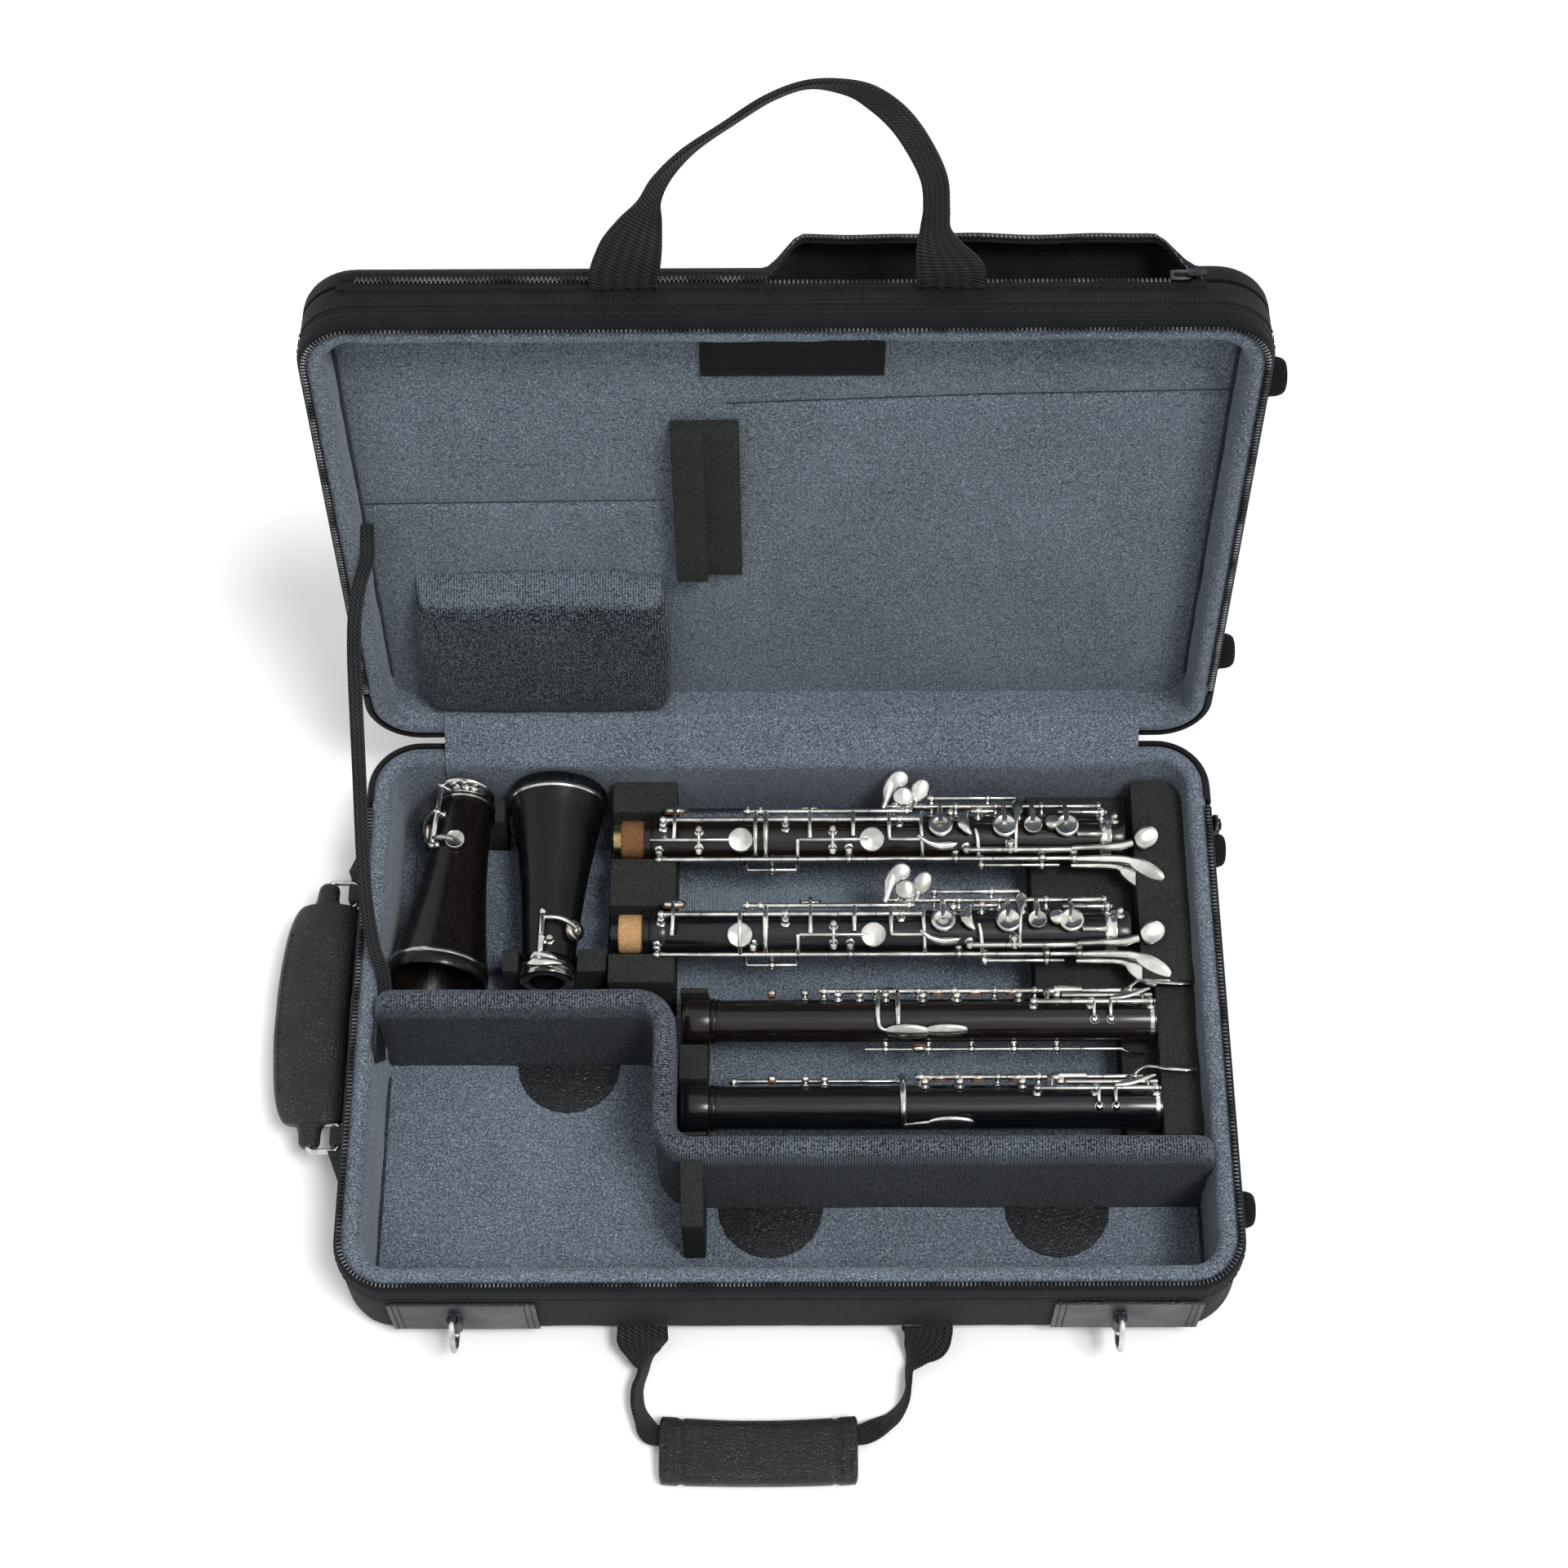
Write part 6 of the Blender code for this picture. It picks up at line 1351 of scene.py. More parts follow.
footSizes = {
    "radius": 0.009, "height": 0.0085, "along": 0.094, "baseUp": 0.035, "lidDepth": 0.0165,
    "rubber": ((0.0, 0.0), (1.0, 0.0), (1.0, 12 / 85), (0.97, 20 / 85), (0.97, 0.36), (0.94, 0.60), (0.86, 0.82),
               (0.74, 0.95), (0.60, 1.0), (0.36, 1.0), (0.30, 0.88), (0.0, 0.86)),
    "screw": ((0.0, 0.80), (0.24, 0.80), (0.24, 0.90), (0.16, 0.96), (0.0, 0.98)),
}


def makeFeet():
    s = footSizes
    rubber, screw = ([(r * s["radius"], h * s["height"]) for r, h in s[name]] for name in ("rubber", "screw"))
    x = case["halfWidth"] + case["gap"]
    for body, start in (("base", Matrix.Translation((x, 0, s["baseUp"]))),
                        ("lid", lidLocal @ Matrix.Translation((x, -case["halfDepth"], s["lidDepth"])))):
        for end, way in (("Front", -1), ("Back", 1)):
            matrix = start @ Matrix.Translation((0, way * s["along"], 0))
            node = body + "_foot_" + end.lower()
            addPiece(body + "Foot" + end, latheForm(rubber, matrix), "rubber", body, [node])
            addPiece(body + "FootScrew" + end, latheForm(screw, matrix, 16), "darkMetal", body)


makeFeet()


# Zip sliders: a wedge body with a bridge and a pull

def sliderForm(matrix, pullTurn=0.0):
    rows = []
    for x, wide in ((-0.0045, 0.0024), (-0.0040, 0.0028), (0.0, 0.0030), (0.0032, 0.0029), (0.0042, 0.0022),
                    (0.0045, 0.0018)):
        rows.append([(x, squared(c, 0.5) * wide, squared(d, 0.5) * 0.0013) for c, d in circle(20)])
    bridge = [(-0.0032, 0, 0.0010), (-0.0026, 0, 0.0020), (0, 0, 0.0024), (0.0026, 0, 0.0020), (0.0032, 0, 0.0010)]
    outline = []
    for c, d in circle(28):
        stretch = 0.0042 if c > 0 else 0.0012
        outline.append((0.0026 + stretch + (stretch + 0.0006) * c * 0.9, 0.0022 * d))
    pull = [[(x, y, 0.0019 + level) for x, y in outline] for level in (-0.0003, 0.0003)]
    parts = [gridForm(rows), tubeForm([Vector(spot) for spot in bridge], 0.0006, 8),
             placed(gridForm(pull), Matrix.Rotation(pullTurn, 4, "Z"))]
    return placed(joinForms([part[:2] for part in parts]), matrix)


def makeSliders():
    parked = case["zipEnd"] - 0.009
    level = case["baseHeight"] - case["zipHeight"] + 0.0028
    for side, name in ((-1, "left"), (1, "right")):
        turn = Matrix(((0, 0, side, 0), (side, 0, 0, 0), (0, 1, 0, 0), (0, 0, 0, 1)))
        matrix = Matrix.Translation((side * (case["halfWidth"] + case["gap"] + 0.0015), parked, level)) @ turn
        addPiece("zipSlider" + name.title(), sliderForm(matrix, -pi / 2), "darkMetal", name + "_zip",
                 ["zip_slider_" + name])
    turn = Matrix(((1, 0, 0, 0), (0, 0, -1, 0), (0, 1, 0, 0), (0, 0, 0, 1)))
    matrix = lidLocal @ Matrix.Translation((0.167, -(case["lidReach"] + 0.0018), 0.0265)) @ turn
    addPiece("pocketSlider", sliderForm(matrix), "darkMetal", "pocket_zip", ["pocket_slider"])


makeSliders()
print("rings, feet and sliders")


# Outer pocket: a soft tray on the lid's face, with a zipped corner that hangs open

pocketSizes = {"seam": 0.0265, "height": 0.0135, "radius": 0.009, "skin": 0.0022, "left": -0.010, "right": 0.176,
               "flap": 0.062, "angle": radians(24), "corner": 0.004, "gap": 0.0008, "fade": 0.018, "rings": 26}


def pocketForm():
    s = pocketSizes
    rows, flat = [], []

    def add(inset, level, out=0.0, share=0.0):
        ring = [(x + (max(min(x, 0.07), -0.07) - x) * share, y * (1 - share), nx, ny)
                for x, y, nx, ny in caseRing(inset)]
        rows.append([(x, y, level - 0.0002 * ripple(x, y, 0, 0.05) * min(share * 4, 1)) for x, y, _, _ in ring])
        flat.append([(x + nx * out, y + ny * out) for x, y, nx, ny in ring])

    radius, high, thin = s["radius"], s["height"], s["skin"]
    for share in (0.995, 0.5, 0.04):
        add(radius, high - thin, 0.0, share)
    for k in (3, 2, 1, 0):
        turn = pi / 2 * k / 4
        add(thin + (radius - thin) * (1 - cos(turn)), high - radius + (radius - thin) * sin(turn))
    for inset, level in ((thin, 0.0), (0.0, 0.0), (0.0, 0.0015), (0.0, 0.0030)):
        add(inset, level, radius * (pi / 2 - 2) + high - level)
    for k in range(8):
        turn = pi / 2 * k / 7
        add(radius * (1 - cos(turn)), high - radius + radius * sin(turn), radius * (pi / 2 - turn - cos(turn)))
    for k in range(1, s["rings"]):
        add(radius, high, 0.0, k / s["rings"])
    add(radius, high, 0.0, 0.995)
    points, faces, _ = gridForm(rows)
    spots = [spot for row in flat for spot in row]
    return points, faces, [spots[n] for face in faces for n in face]


def mouthForm(margin, left, right, ends=True):
    s, corner = pocketSizes, pocketSizes["corner"]
    bottom = s["seam"] - s["gap"] + margin
    outline = [(right, s["seam"] + s["height"] + 0.004), (left, s["seam"] + s["height"] + 0.004)]
    if ends:
        for x, start in ((left + corner, pi), (right - corner, 1.5 * pi)):
            outline += arc(x, bottom + corner, corner, start, pi / 2, 8)
    else:
        outline += [(left, bottom), (right, bottom)]
    rises = case["lidReach"] - s["flap"], case["lidReach"] + 0.004
    return gridForm([[Vector((x, -rise, depth)) for x, depth in outline] for rise in rises])


def cutPiece(name, form, tool, operation, matrix, body, fine=0.0):
    whole, knife = addObject("whole", meshOf("whole", form)), addObject("knife", meshOf("knife", tool))
    step = whole.modifiers.new("Cut", "BOOLEAN")
    step.operation, step.solver, step.object = operation, "EXACT", knife
    mesh = applied(whole)
    for helper in (whole, knife):
        bpy.data.objects.remove(helper, do_unlink=True)
    if fine:
        shape = bmesh.new()
        shape.from_mesh(mesh)
        splitLong(shape, lambda edge: abs(edge.verts[0].co.x - edge.verts[1].co.x), fine, 5)
        shape.to_mesh(mesh)
        shape.free()
    mesh.transform(matrix)
    mesh.materials.clear()
    made = addSkinned(name, mesh, "nylon", 45)
    finishPiece(made, body, ["pocket_pouch" if body else "pocket_flap"])
    return made


def openFlap(spot):  # the corner hangs open in the middle and stays sewn at both ends
    s = pocketSizes
    hinge = Matrix.Translation((0, s["flap"] - case["lidReach"], s["seam"] + s["height"] - s["skin"] / 2))
    turned = hinge @ Matrix.Rotation(-s["angle"], 4, "X") @ hinge.inverted() @ spot
    share = max(min(min(spot.x - s["left"], s["right"] - spot.x) / s["fade"], 1), 0)
    share = share * share * (3 - 2 * share)
    sag = Vector((0, 0.0014 * share * ripple(spot.x, spot.y, 5.0, 0.05), 0))
    return spot.lerp(turned, share) + sag


def hangFlap(made):
    for vert in made.data.vertices:
        vert.co = lidLocal @ openFlap(vert.co)
    made.data.update()
    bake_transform(made)


def makePocket():
    s, seam, face = pocketSizes, pocketSizes["seam"], case["lidReach"]

    def line(out, level, low, high, count):
        return [Vector((x, -(face + out), seam + level)) for x in np.linspace(low, high, count)]

    tray = placed(pocketForm(), Matrix.Translation((0, -case["halfDepth"], seam)))
    cutPiece("pocketPouch", tray, mouthForm(0.0, s["left"], s["right"]), "DIFFERENCE", lidLocal, "lid")
    middle = (s["left"] + s["right"]) / 2
    tooth = toothForm()
    for side, name, low, high in ((-1, "Left", s["left"], middle), (1, "Right", middle, s["right"])):
        knife = mouthForm(s["gap"], low, high, False)
        hangFlap(cutPiece("pocketFlap" + name, tray, knife, "INTERSECT", Matrix(), None, 0.005))
        marks = [frameAt(spot, forward, -yAxis)
                 for spot, forward in along(line(0.0003, 0.0012 - s["gap"], low, high, 50), zipSizes["pitch"])]
        teeth = addPiece("pocketFlapTeeth" + name, stamped(tooth, marks), "teeth", None, sharp=50)
        hangFlap(teeth)
    # the zip along the lid's top edge: one row where it is open, two locked rows where it is shut
    marks = [frameAt(spot, forward, -yAxis)
             for spot, forward in along(line(0.0008, -0.0016, -0.008, 0.168, 60), zipSizes["pitch"])]
    for n, (spot, forward) in enumerate(along(line(0.0011, -0.0002, -0.182, -0.010, 60), zipSizes["pitch"] / 2)):
        marks.append(frameAt(spot + zAxis * (0.0007 if n % 2 else -0.0007), forward, -yAxis))
    addPiece("pocketTeeth", placed(stamped(tooth, marks), lidLocal), "teeth", "lid", sharp=50)
    tape = []
    for low, high, x0, x1 in ((seam - 0.0052, seam - 0.0008, -0.190, 0.178),
                              (seam + 0.0008, seam + 0.0042, -0.188, -0.0105)):
        section = ((0.0003, low), (-0.0007, low + 0.0003), (-0.0007, high - 0.0003), (0.0003, high))
        tape.append(gridForm([[(x0 + (x1 - x0) * k / 60, out - face, level) for out, level in section]
                              for k in range(61)]))
    addPiece("pocketTape", placed(joinForms(tape), lidLocal), "tape", "lid")
    lines = [stitchRow(line(0.0005, level, x0, x1, 2), -yAxis)
             for level, x0, x1 in ((-0.0058, -0.186, 0.180), (0.0050, -0.186, -0.014))]
    addPiece("pocketStitches", placed(joinForms(lines), lidLocal), "thread", "lid")


makePocket()
print("pocket")


# The oboes. Places on a joint are its share of the length, the angle round from the top towards the
# back in degrees, and the height over the wood in millimetres.

def outward(angle):
    return Vector((0, sin(radians(angle)), cos(radians(angle))))


def keyPlace(joint, share, angle, lift):
    return Vector((share * joint["length"], 0, 0)) + outward(angle) * (joint["radius"] + lift / 1000)


def upright(joint, share, angle):  # a matrix on the wood whose X axis points away from it
    out = outward(angle).normalized()
    side = (zAxis if abs(out.z) < 0.9 else yAxis).cross(out).normalized()
    matrix = Matrix((out, side, out.cross(side))).transposed().to_4x4()
    matrix.translation = keyPlace(joint, share, angle, 0.0)
    return matrix


keyShapes = {"rod": 1.3, "ball": 2.0, "stem": 1.0, "foot": 2.2, "cup": 6.2, "groove": 0.022}


def rodForm(joint, angle, start, end, lift, size=1.0):
    first = keyPlace(joint, start, angle, lift)
    length = (end - start) * joint["length"]
    radius = keyShapes["rod"] * size / 1000
    profile = [(0.0, 0.0), (0.8 * radius, 0.0), (radius, 0.0003)]
    count = int(length / keyShapes["groove"])
    for k in range(1, count + 1):
        place = length * k / (count + 1) + 0.003 * ripple(start + k, angle, 0, 0.7)
        profile += [(radius, place - 0.0003), (0.72 * radius, place - 0.0001), (0.72 * radius, place + 0.0001),
                    (radius, place + 0.0003)]
    profile += [(radius, length - 0.0003), (0.8 * radius, length), (0.0, length)]
    return latheForm(profile, Matrix.Translation(first), 12)


def postForm(joint, share, angle, lift):
    ball, stem, foot = (keyShapes[name] / 1000 for name in ("ball", "stem", "foot"))
    top = lift / 1000
    profile = [(0.0, 0.0002), (foot, 0.0002), (foot, 0.0006), (0.6 * foot, 0.0010), (stem, 0.0014),
               (stem, top - ball * 0.95), (1.25 * stem, top - ball * 0.90)]
    profile += [(ball * sin(pi * k / 8), top - ball * cos(pi * k / 8)) for k in range(2, 8)]
    profile += [(0.42 * ball, top + ball * 0.95), (0.28 * ball, top + ball * 0.95), (0.22 * ball, top + ball * 0.80),
                (0.0, top + ball * 0.80)]
    return latheForm(profile, upright(joint, share, angle), 14)


cupShapes = {
    "disc": ((0, 2.7), (0.93, 2.7), (1, 3.0), (1, 4.3), (0.97, 4.8), (0.91, 5.0), (0.88, 4.9), (0, 4.9)),
    "hole": ((0, 2.7), (0.93, 2.7), (1, 3.0), (1, 4.2), (0.95, 4.8), (0.82, 5.0), (0.78, 4.8), (0.20, 4.8),
             (0.18, 3.9), (0, 3.9)),
    "dome": ((0, 2.7), (0.93, 2.7), (1, 3.0), (1, 4.0), (0.90, 4.8), (0.60, 5.4), (0.25, 5.7), (0, 5.75)),
    "ring": ((0, 2.7), (0.93, 2.7), (1, 3.0), (1, 4.3), (0.94, 4.9), (0.80, 5.1), (0.50, 5.0), (0.42, 4.4),
             (0.40, 3.2), (0, 3.2)),
}


def cupForm(joint, share, angle, size, kind):
    radius = keyShapes["cup"] * size / 1000
    profile = [(r * radius, lift / 1000) for r, lift in cupShapes[kind]]
    return latheForm(profile, upright(joint, share, angle), 32)


def padForm(joint, share, angle, size):
    radius = keyShapes["cup"] * size / 1000
    profile = [(0.0, 0.0015), (0.84 * radius, 0.0015), (0.90 * radius, 0.0018), (0.90 * radius, 0.0028),
               (0.0, 0.0028)]
    return latheForm(profile, upright(joint, share, angle), 24)


def bladeForm(joint, stations, thick, facing=None):  # stations are (share, angle, lift, half width)
    smooth = smoothPath(stations, 6)
    spots = [keyPlace(joint, *row[:3]) for row in smooth]
    rows = []
    for i, row in enumerate(smooth):
        way = tangentOf(spots, i)
        face = Vector(facing) if facing else outward(row[1])
        side = face.cross(way).normalized()
        lift = way.cross(side).normalized()
        wide = max(row[3], 0.15) * 1.2 / 1000
        half = min(thick * 0.6 / 1000, wide)
        rows.append([spots[i] + side * wide * c + lift * half * d * (1.0 if k < 6 else 0.6)
                     for k, (c, d) in enumerate(circle(12))])
    return gridForm(rows)


def spoonForm(joint, first, last, half, thick, facing=None):  # a long oval finger touch between two places
    start, end = keyPlace(joint, *first), keyPlace(joint, *last)
    way = (end - start).normalized()
    face = Vector(facing) if facing else outward((first[1] + last[1]) / 2)
    side = face.cross(way).normalized()
    lift = way.cross(side)
    rows = []
    for k in range(17):
        turn = pi * (k + 0.02) / 16.04
        size = sin(turn) ** 0.85
        spot = start.lerp(end, 0.5 - 0.5 * cos(turn))
        wide, tall = side * half * size / 1000, lift * thick / 2000 * size ** 0.6
        rows.append([spot + wide * c + tall * d for c, d in circle(20)])
    return gridForm(rows)


def makeKeys(name, node, body, joint, keys, matrix):
    silver = [rodForm(joint, *rod) for rod in keys["rods"]]
    silver += [postForm(joint, *post) for post in keys["posts"]]
    silver += [cupForm(joint, *cup) for cup in keys["cups"]]
    silver += [bladeForm(joint, stations, thick) for thick, stations in keys["arms"]]
    silver += [bladeForm(joint, stations, thick, facing) for thick, facing, stations in keys["touches"]]
    silver += [spoonForm(joint, *spoon) for spoon in keys["spoons"]]
    addPiece(name, placed(joinForms(silver), matrix), "silver", body, [node], sharp=50)
    pads = [padForm(joint, *cup[:3]) for cup in keys["cups"]]
    addPiece(name + "Pads", placed(joinForms(pads), matrix), "brownCork", body)


# Turned pieces of a joint as (title, skin, profile). The one without a title stands for the joint's own node.
def addTurned(label, name, joint, body, matrix, parts, closed=False, steps=56):
    for title, skin, profile in parts:
        points = [(radius * joint["radius"], share * joint["length"]) for radius, share in profile]
        if closed:
            form = gridForm(latheRows(points, Matrix(), steps), True, True)
        else:
            form = latheForm(points, Matrix(), steps)
        addPiece(label + title, placed(form, matrix), skin, body, [] if title else [name], 32)


camFacing = (0, -0.47, 0.88)  # the playing side of the finger touches


def lowerKeys(black):
    centre = -27
    rods = [(13, 0.097, 0.60, 4.2), (30, 0.257, 0.585, 5.4), (54, 0.53, 0.955, 5.0), (62, 0.617, 0.79, 9.0, 0.9),
            (-66, 0.085, 0.91, 4.2), (-47, 0.687, 0.905, 4.2), (-80, 0.718, 0.872, 5.0, 0.85),
            (centre, 0.365, 0.50, 4.0, 0.9), (34, 0.70, 0.745, 4.4, 0.9), (-93, 0.26, 0.362, 5.2, 0.8),
            (30, 0.87, 0.965, 4.4, 0.8), (centre + 9, 0.905, 0.955, 3.6, 1.1)]
    posts = [(0.10, 13, 4.2), (0.10, 2, 3.8), (0.338, 13, 4.2), (0.338, 1, 3.4), (0.56, 13, 4.2)]
    posts += [(s, 30, 5.4) for s in (0.265, 0.29, 0.575)] + [(s, 54, 5.0) for s in (0.55, 0.672, 0.75, 0.84, 0.951)]
    posts += [(0.735, 62, 9.0), (0.625, 62, 9.0), (0.092, -66, 4.2), (0.092, -52, 3.6), (0.462, -66, 4.2),
              (0.462, -48, 3.6), (0.67, -66, 4.2), (0.69, -47, 4.2), (0.775, -47, 4.2), (0.775, -36, 3.6),
              (0.90, -66, 4.2), (0.838, -80, 5.0), (0.838, -64, 4.4), (0.72, -80, 5.0), (0.43, -8, 3.8),
              (0.43, -48, 3.8), (0.312, -93, 5.2), (0.98, 20, 3.4), (0.955, 30, 4.4), (0.66, 30, 4.0),
              (0.715, 36, 4.4), (0.795, 36, 3.8)]
    cups = [(0.251, centre, 1.0, "disc"), (0.506, centre, 1.0, "disc"), (0.64, 0, 0.98, "ring"),
            (0.765, -1, 1.0, "hole"), (0.82, 0, 0.74, "disc"), (0.885, -1, 0.98, "hole"), (0.386, 62, 0.9, "disc"),
            (0.123, 60, 1.0, "dome"), (0.858, 6, 0.62, "dome")]
    arms = [(1.4, ((s, 54, 5.2, 1.0), (s, 36, 5.4, 1.0), (s, 18, 5.2, 1.3), (s, 4, 4.9, 1.0)))
            for s in (0.64, 0.765, 0.82, 0.885)]
    arms += [
        (1.3, ((0.123, 62, 5.6, 1.0), (0.123, 30, 6.0, 0.9), (0.123, 0, 5.0, 0.8), (0.121, centre, 4.0, 0.9))),
        (1.3, ((0.30, 32, 5.6, 1.0), (0.30, 0, 5.0, 1.1), (0.30, -30, 4.6, 1.0), (0.30, -60, 4.4, 0.8))),
        (1.3, ((0.26, -64, 4.4, 0.8), (0.26, -80, 5.0, 0.8), (0.262, -93, 5.2, 0.8))),
        (1.3, ((0.362, -93, 5.2, 0.8), (0.362, -66, 4.6, 0.8), (0.362, -40, 4.2, 0.8), (0.362, centre, 4.0, 0.9))),
        (1.3, ((0.386, 60, 6.0, 1.0), (0.386, 30, 5.6, 0.8), (0.386, 0, 4.6, 0.8), (0.386, centre, 4.0, 1.1))),
        (1.3, ((0.47, 36, 5.6, 0.9), (0.47, 12, 5.2, 0.9), (0.47, -20, 4.2, 0.9))),
        (1.3, ((0.43, -8, 4.0, 0.7), (0.43, centre, 4.2, 0.7), (0.43, -48, 4.0, 0.7))),
        (1.3, ((0.54, 32, 5.4, 0.8), (0.54, 0, 4.8, 0.9), (0.541, -24, 4.2, 0.8), (0.548, centre, 4.0, 0.8),
            (0.60, centre, 4.0, 0.8))),
        (1.2, ((0.606, 30, 5.0, 0.8), (0.602, 10, 4.6, 0.8), (0.603, -20, 4.2, 0.8), (0.605, -62, 4.4, 0.7))),
        (1.2, ((0.708, -8, 4.0, 0.7), (0.712, -30, 4.4, 0.8), (0.714, -62, 4.4, 0.8), (0.714, -80, 5.0, 0.7))),
    ]
    touches = [
        (1.8, None, ((0.695, 32, 4.6, 0.6), (0.687, 20, 4.9, 1.4), (0.684, 5, 5.0, 2.4), (0.690, -9, 4.8, 1.7),
            (0.699, -19, 4.4, 0.6))),
        (1.6, None, ((0.793, 60, 8.2, 0.5), (0.793, 50, 7.0, 2.2), (0.791, 36, 6.2, 2.0), (0.788, 10, 5.4, 0.9),
            (0.786, -22, 5.0, 0.7), (0.786, -50, 4.6, 0.8))),
        (1.8, None, ((0.596, -20, 4.4, 0.8), (0.615, -33, 4.6, 1.2), (0.640, -40, 4.7, 1.6),
            (0.662, -38, 4.4, 1.5), (0.672, -34, 4.2, 0.4))),
        (2.0, camFacing, ((0.530, 50, 4.6, 1.2), (0.536, 56, 9.0, 1.6), (0.541, 59, 14.0, 2.4),
            (0.548, 61, 18.0, 2.6))),
        (2.0, camFacing, ((0.568, 48, 4.2, 1.2), (0.569, 54, 6.0, 1.8))),
        (2.0, camFacing, ((0.588, 50, 4.6, 1.2), (0.591, 57, 7.6, 1.6), (0.596, 60, 10.6, 2.0))),
        (2.0, camFacing, ((0.895, -44, 4.6, 1.0), (0.94, -42, 5.0, 1.2), (0.985, -40, 5.4, 1.6),
            (1.012, -34, 5.4, 1.4))),
        (2.0, camFacing, ((0.895, -66, 4.6, 1.2), (0.94, -66, 4.6, 1.6), (0.985, -66, 5.0, 1.8),
            (1.012, -68, 6.0, 1.8))),
        (2.0, camFacing, ((0.895, -82, 5.0, 1.2), (0.94, -82, 5.0, 1.5), (0.978, -82, 5.4, 1.6),
            (0.994, -82, 7.0, 1.8))),
    ]
    spoons = [
        ((0.544, 60, 14.0), (0.574, 61, 22.0), 4.8, 2.6, camFacing),
        ((0.569, 54, 4.6), (0.570, 58, 15.4), 5.2, 3.6, camFacing),
        ((0.592, 58, 8.0), (0.612, 60, 18.6), 4.4, 2.6, camFacing),
        ((1.018, -36, 3.6), (1.062, -14, 3.0), 5.6, 3.2, camFacing),
        ((1.006, -66, 5.2), (1.074, -78, 14.6), 3.9, 2.8, camFacing),
        ((0.990, -81, 6.4), (1.046, -84, 18.6), 3.8, 2.8, camFacing),
    ]
    if black:
        arms.append((1.3, ((0.251, 13, 5.0, 0.9), (0.251, -10, 5.4, 0.9), (0.251, -40, 5.2, 0.9),
                           (0.252, -62, 4.6, 0.8))))
        posts.append((0.276, -50, 4.0))
    else:
        rods.append((centre, 0.075, 0.246, 4.0, 0.8))
        posts += [(0.17, -8, 3.8), (0.17, -48, 3.8)]
        arms += [
            (1.3, ((0.17, -8, 4.0, 0.7), (0.17, centre, 4.2, 0.7), (0.17, -48, 4.0, 0.7))),
            (1.3, ((0.28, 32, 5.6, 0.9), (0.28, 0, 5.0, 1.0), (0.28, -30, 4.6, 0.9), (0.28, -56, 4.2, 0.8))),
        ]
    return {"rods": rods, "posts": posts, "cups": cups, "arms": arms, "touches": touches, "spoons": spoons}


def makeLowerJoint(name, y, body, black):
    joint = {"length": 0.2525, "radius": 0.0112}
    matrix = Matrix.Translation((-0.087, y, 0.0435))
    label = "lowerJoint" + ("Black" if black else "Brown")
    wood, cork, tip = ("blackWood", "tanCork", "blackWood") if black else ("brownWood", "brownCork", "brass")
    parts = (
        ("", wood, ((0, 0.0635), (1.02, 0.0635), (1.05, 0.066), (1.05, 0.0745), (1.0, 0.078), (1.0, 0.104),
                    (0.985, 0.106), (0.985, 0.109), (1.0, 0.111), (1.0, 0.3), (1.0, 0.5), (1.0, 0.7), (1.0, 0.9),
                    (1.0, 0.944), (1.0, 0.953), (0.5, 0.953), (0.42, 0.9525), (0.42, 0.948), (0, 0.948))),
        ("Ring", wood, ((0.99, 0.0785), (1.075, 0.0795), (1.08, 0.082), (1.045, 0.084), (1.045, 0.094),
                        (1.08, 0.096), (1.075, 0.0995), (0.99, 0.1005))),
        ("EndRing", "silver", ((0.99, 0.951), (1.03, 0.9515), (1.075, 0.954), (1.08, 0.958), (1.05, 0.961),
                               (1.05, 0.966), (1.08, 0.969), (1.075, 0.973), (0.99, 0.974))),
        ("Socket", wood, ((0, 0.9535), (0.985, 0.9535), (1.0, 0.976), (1.0, 0.995), (0.96, 1.0), (0.58, 1.0),
                          (0.53, 0.996), (0.53, 0.962), (0, 0.962))),
        ("Cork", cork, ((0, 0.017), (0.80, 0.017), (0.845, 0.020), (0.85, 0.028), (0.845, 0.040), (0.85, 0.055),
                        (0.84, 0.0632), (0, 0.0632))),
        ("Tip", tip, ((0, 0.0), (0.50, 0.0), (0.74, 0.0008), (0.79, 0.003), (0.80, 0.0168), (0, 0.0168))),
    )
    addTurned(label, name, joint, body, matrix, parts)
    makeKeys(label + "Keys", name + "_keys", body, joint, lowerKeys(black), matrix)


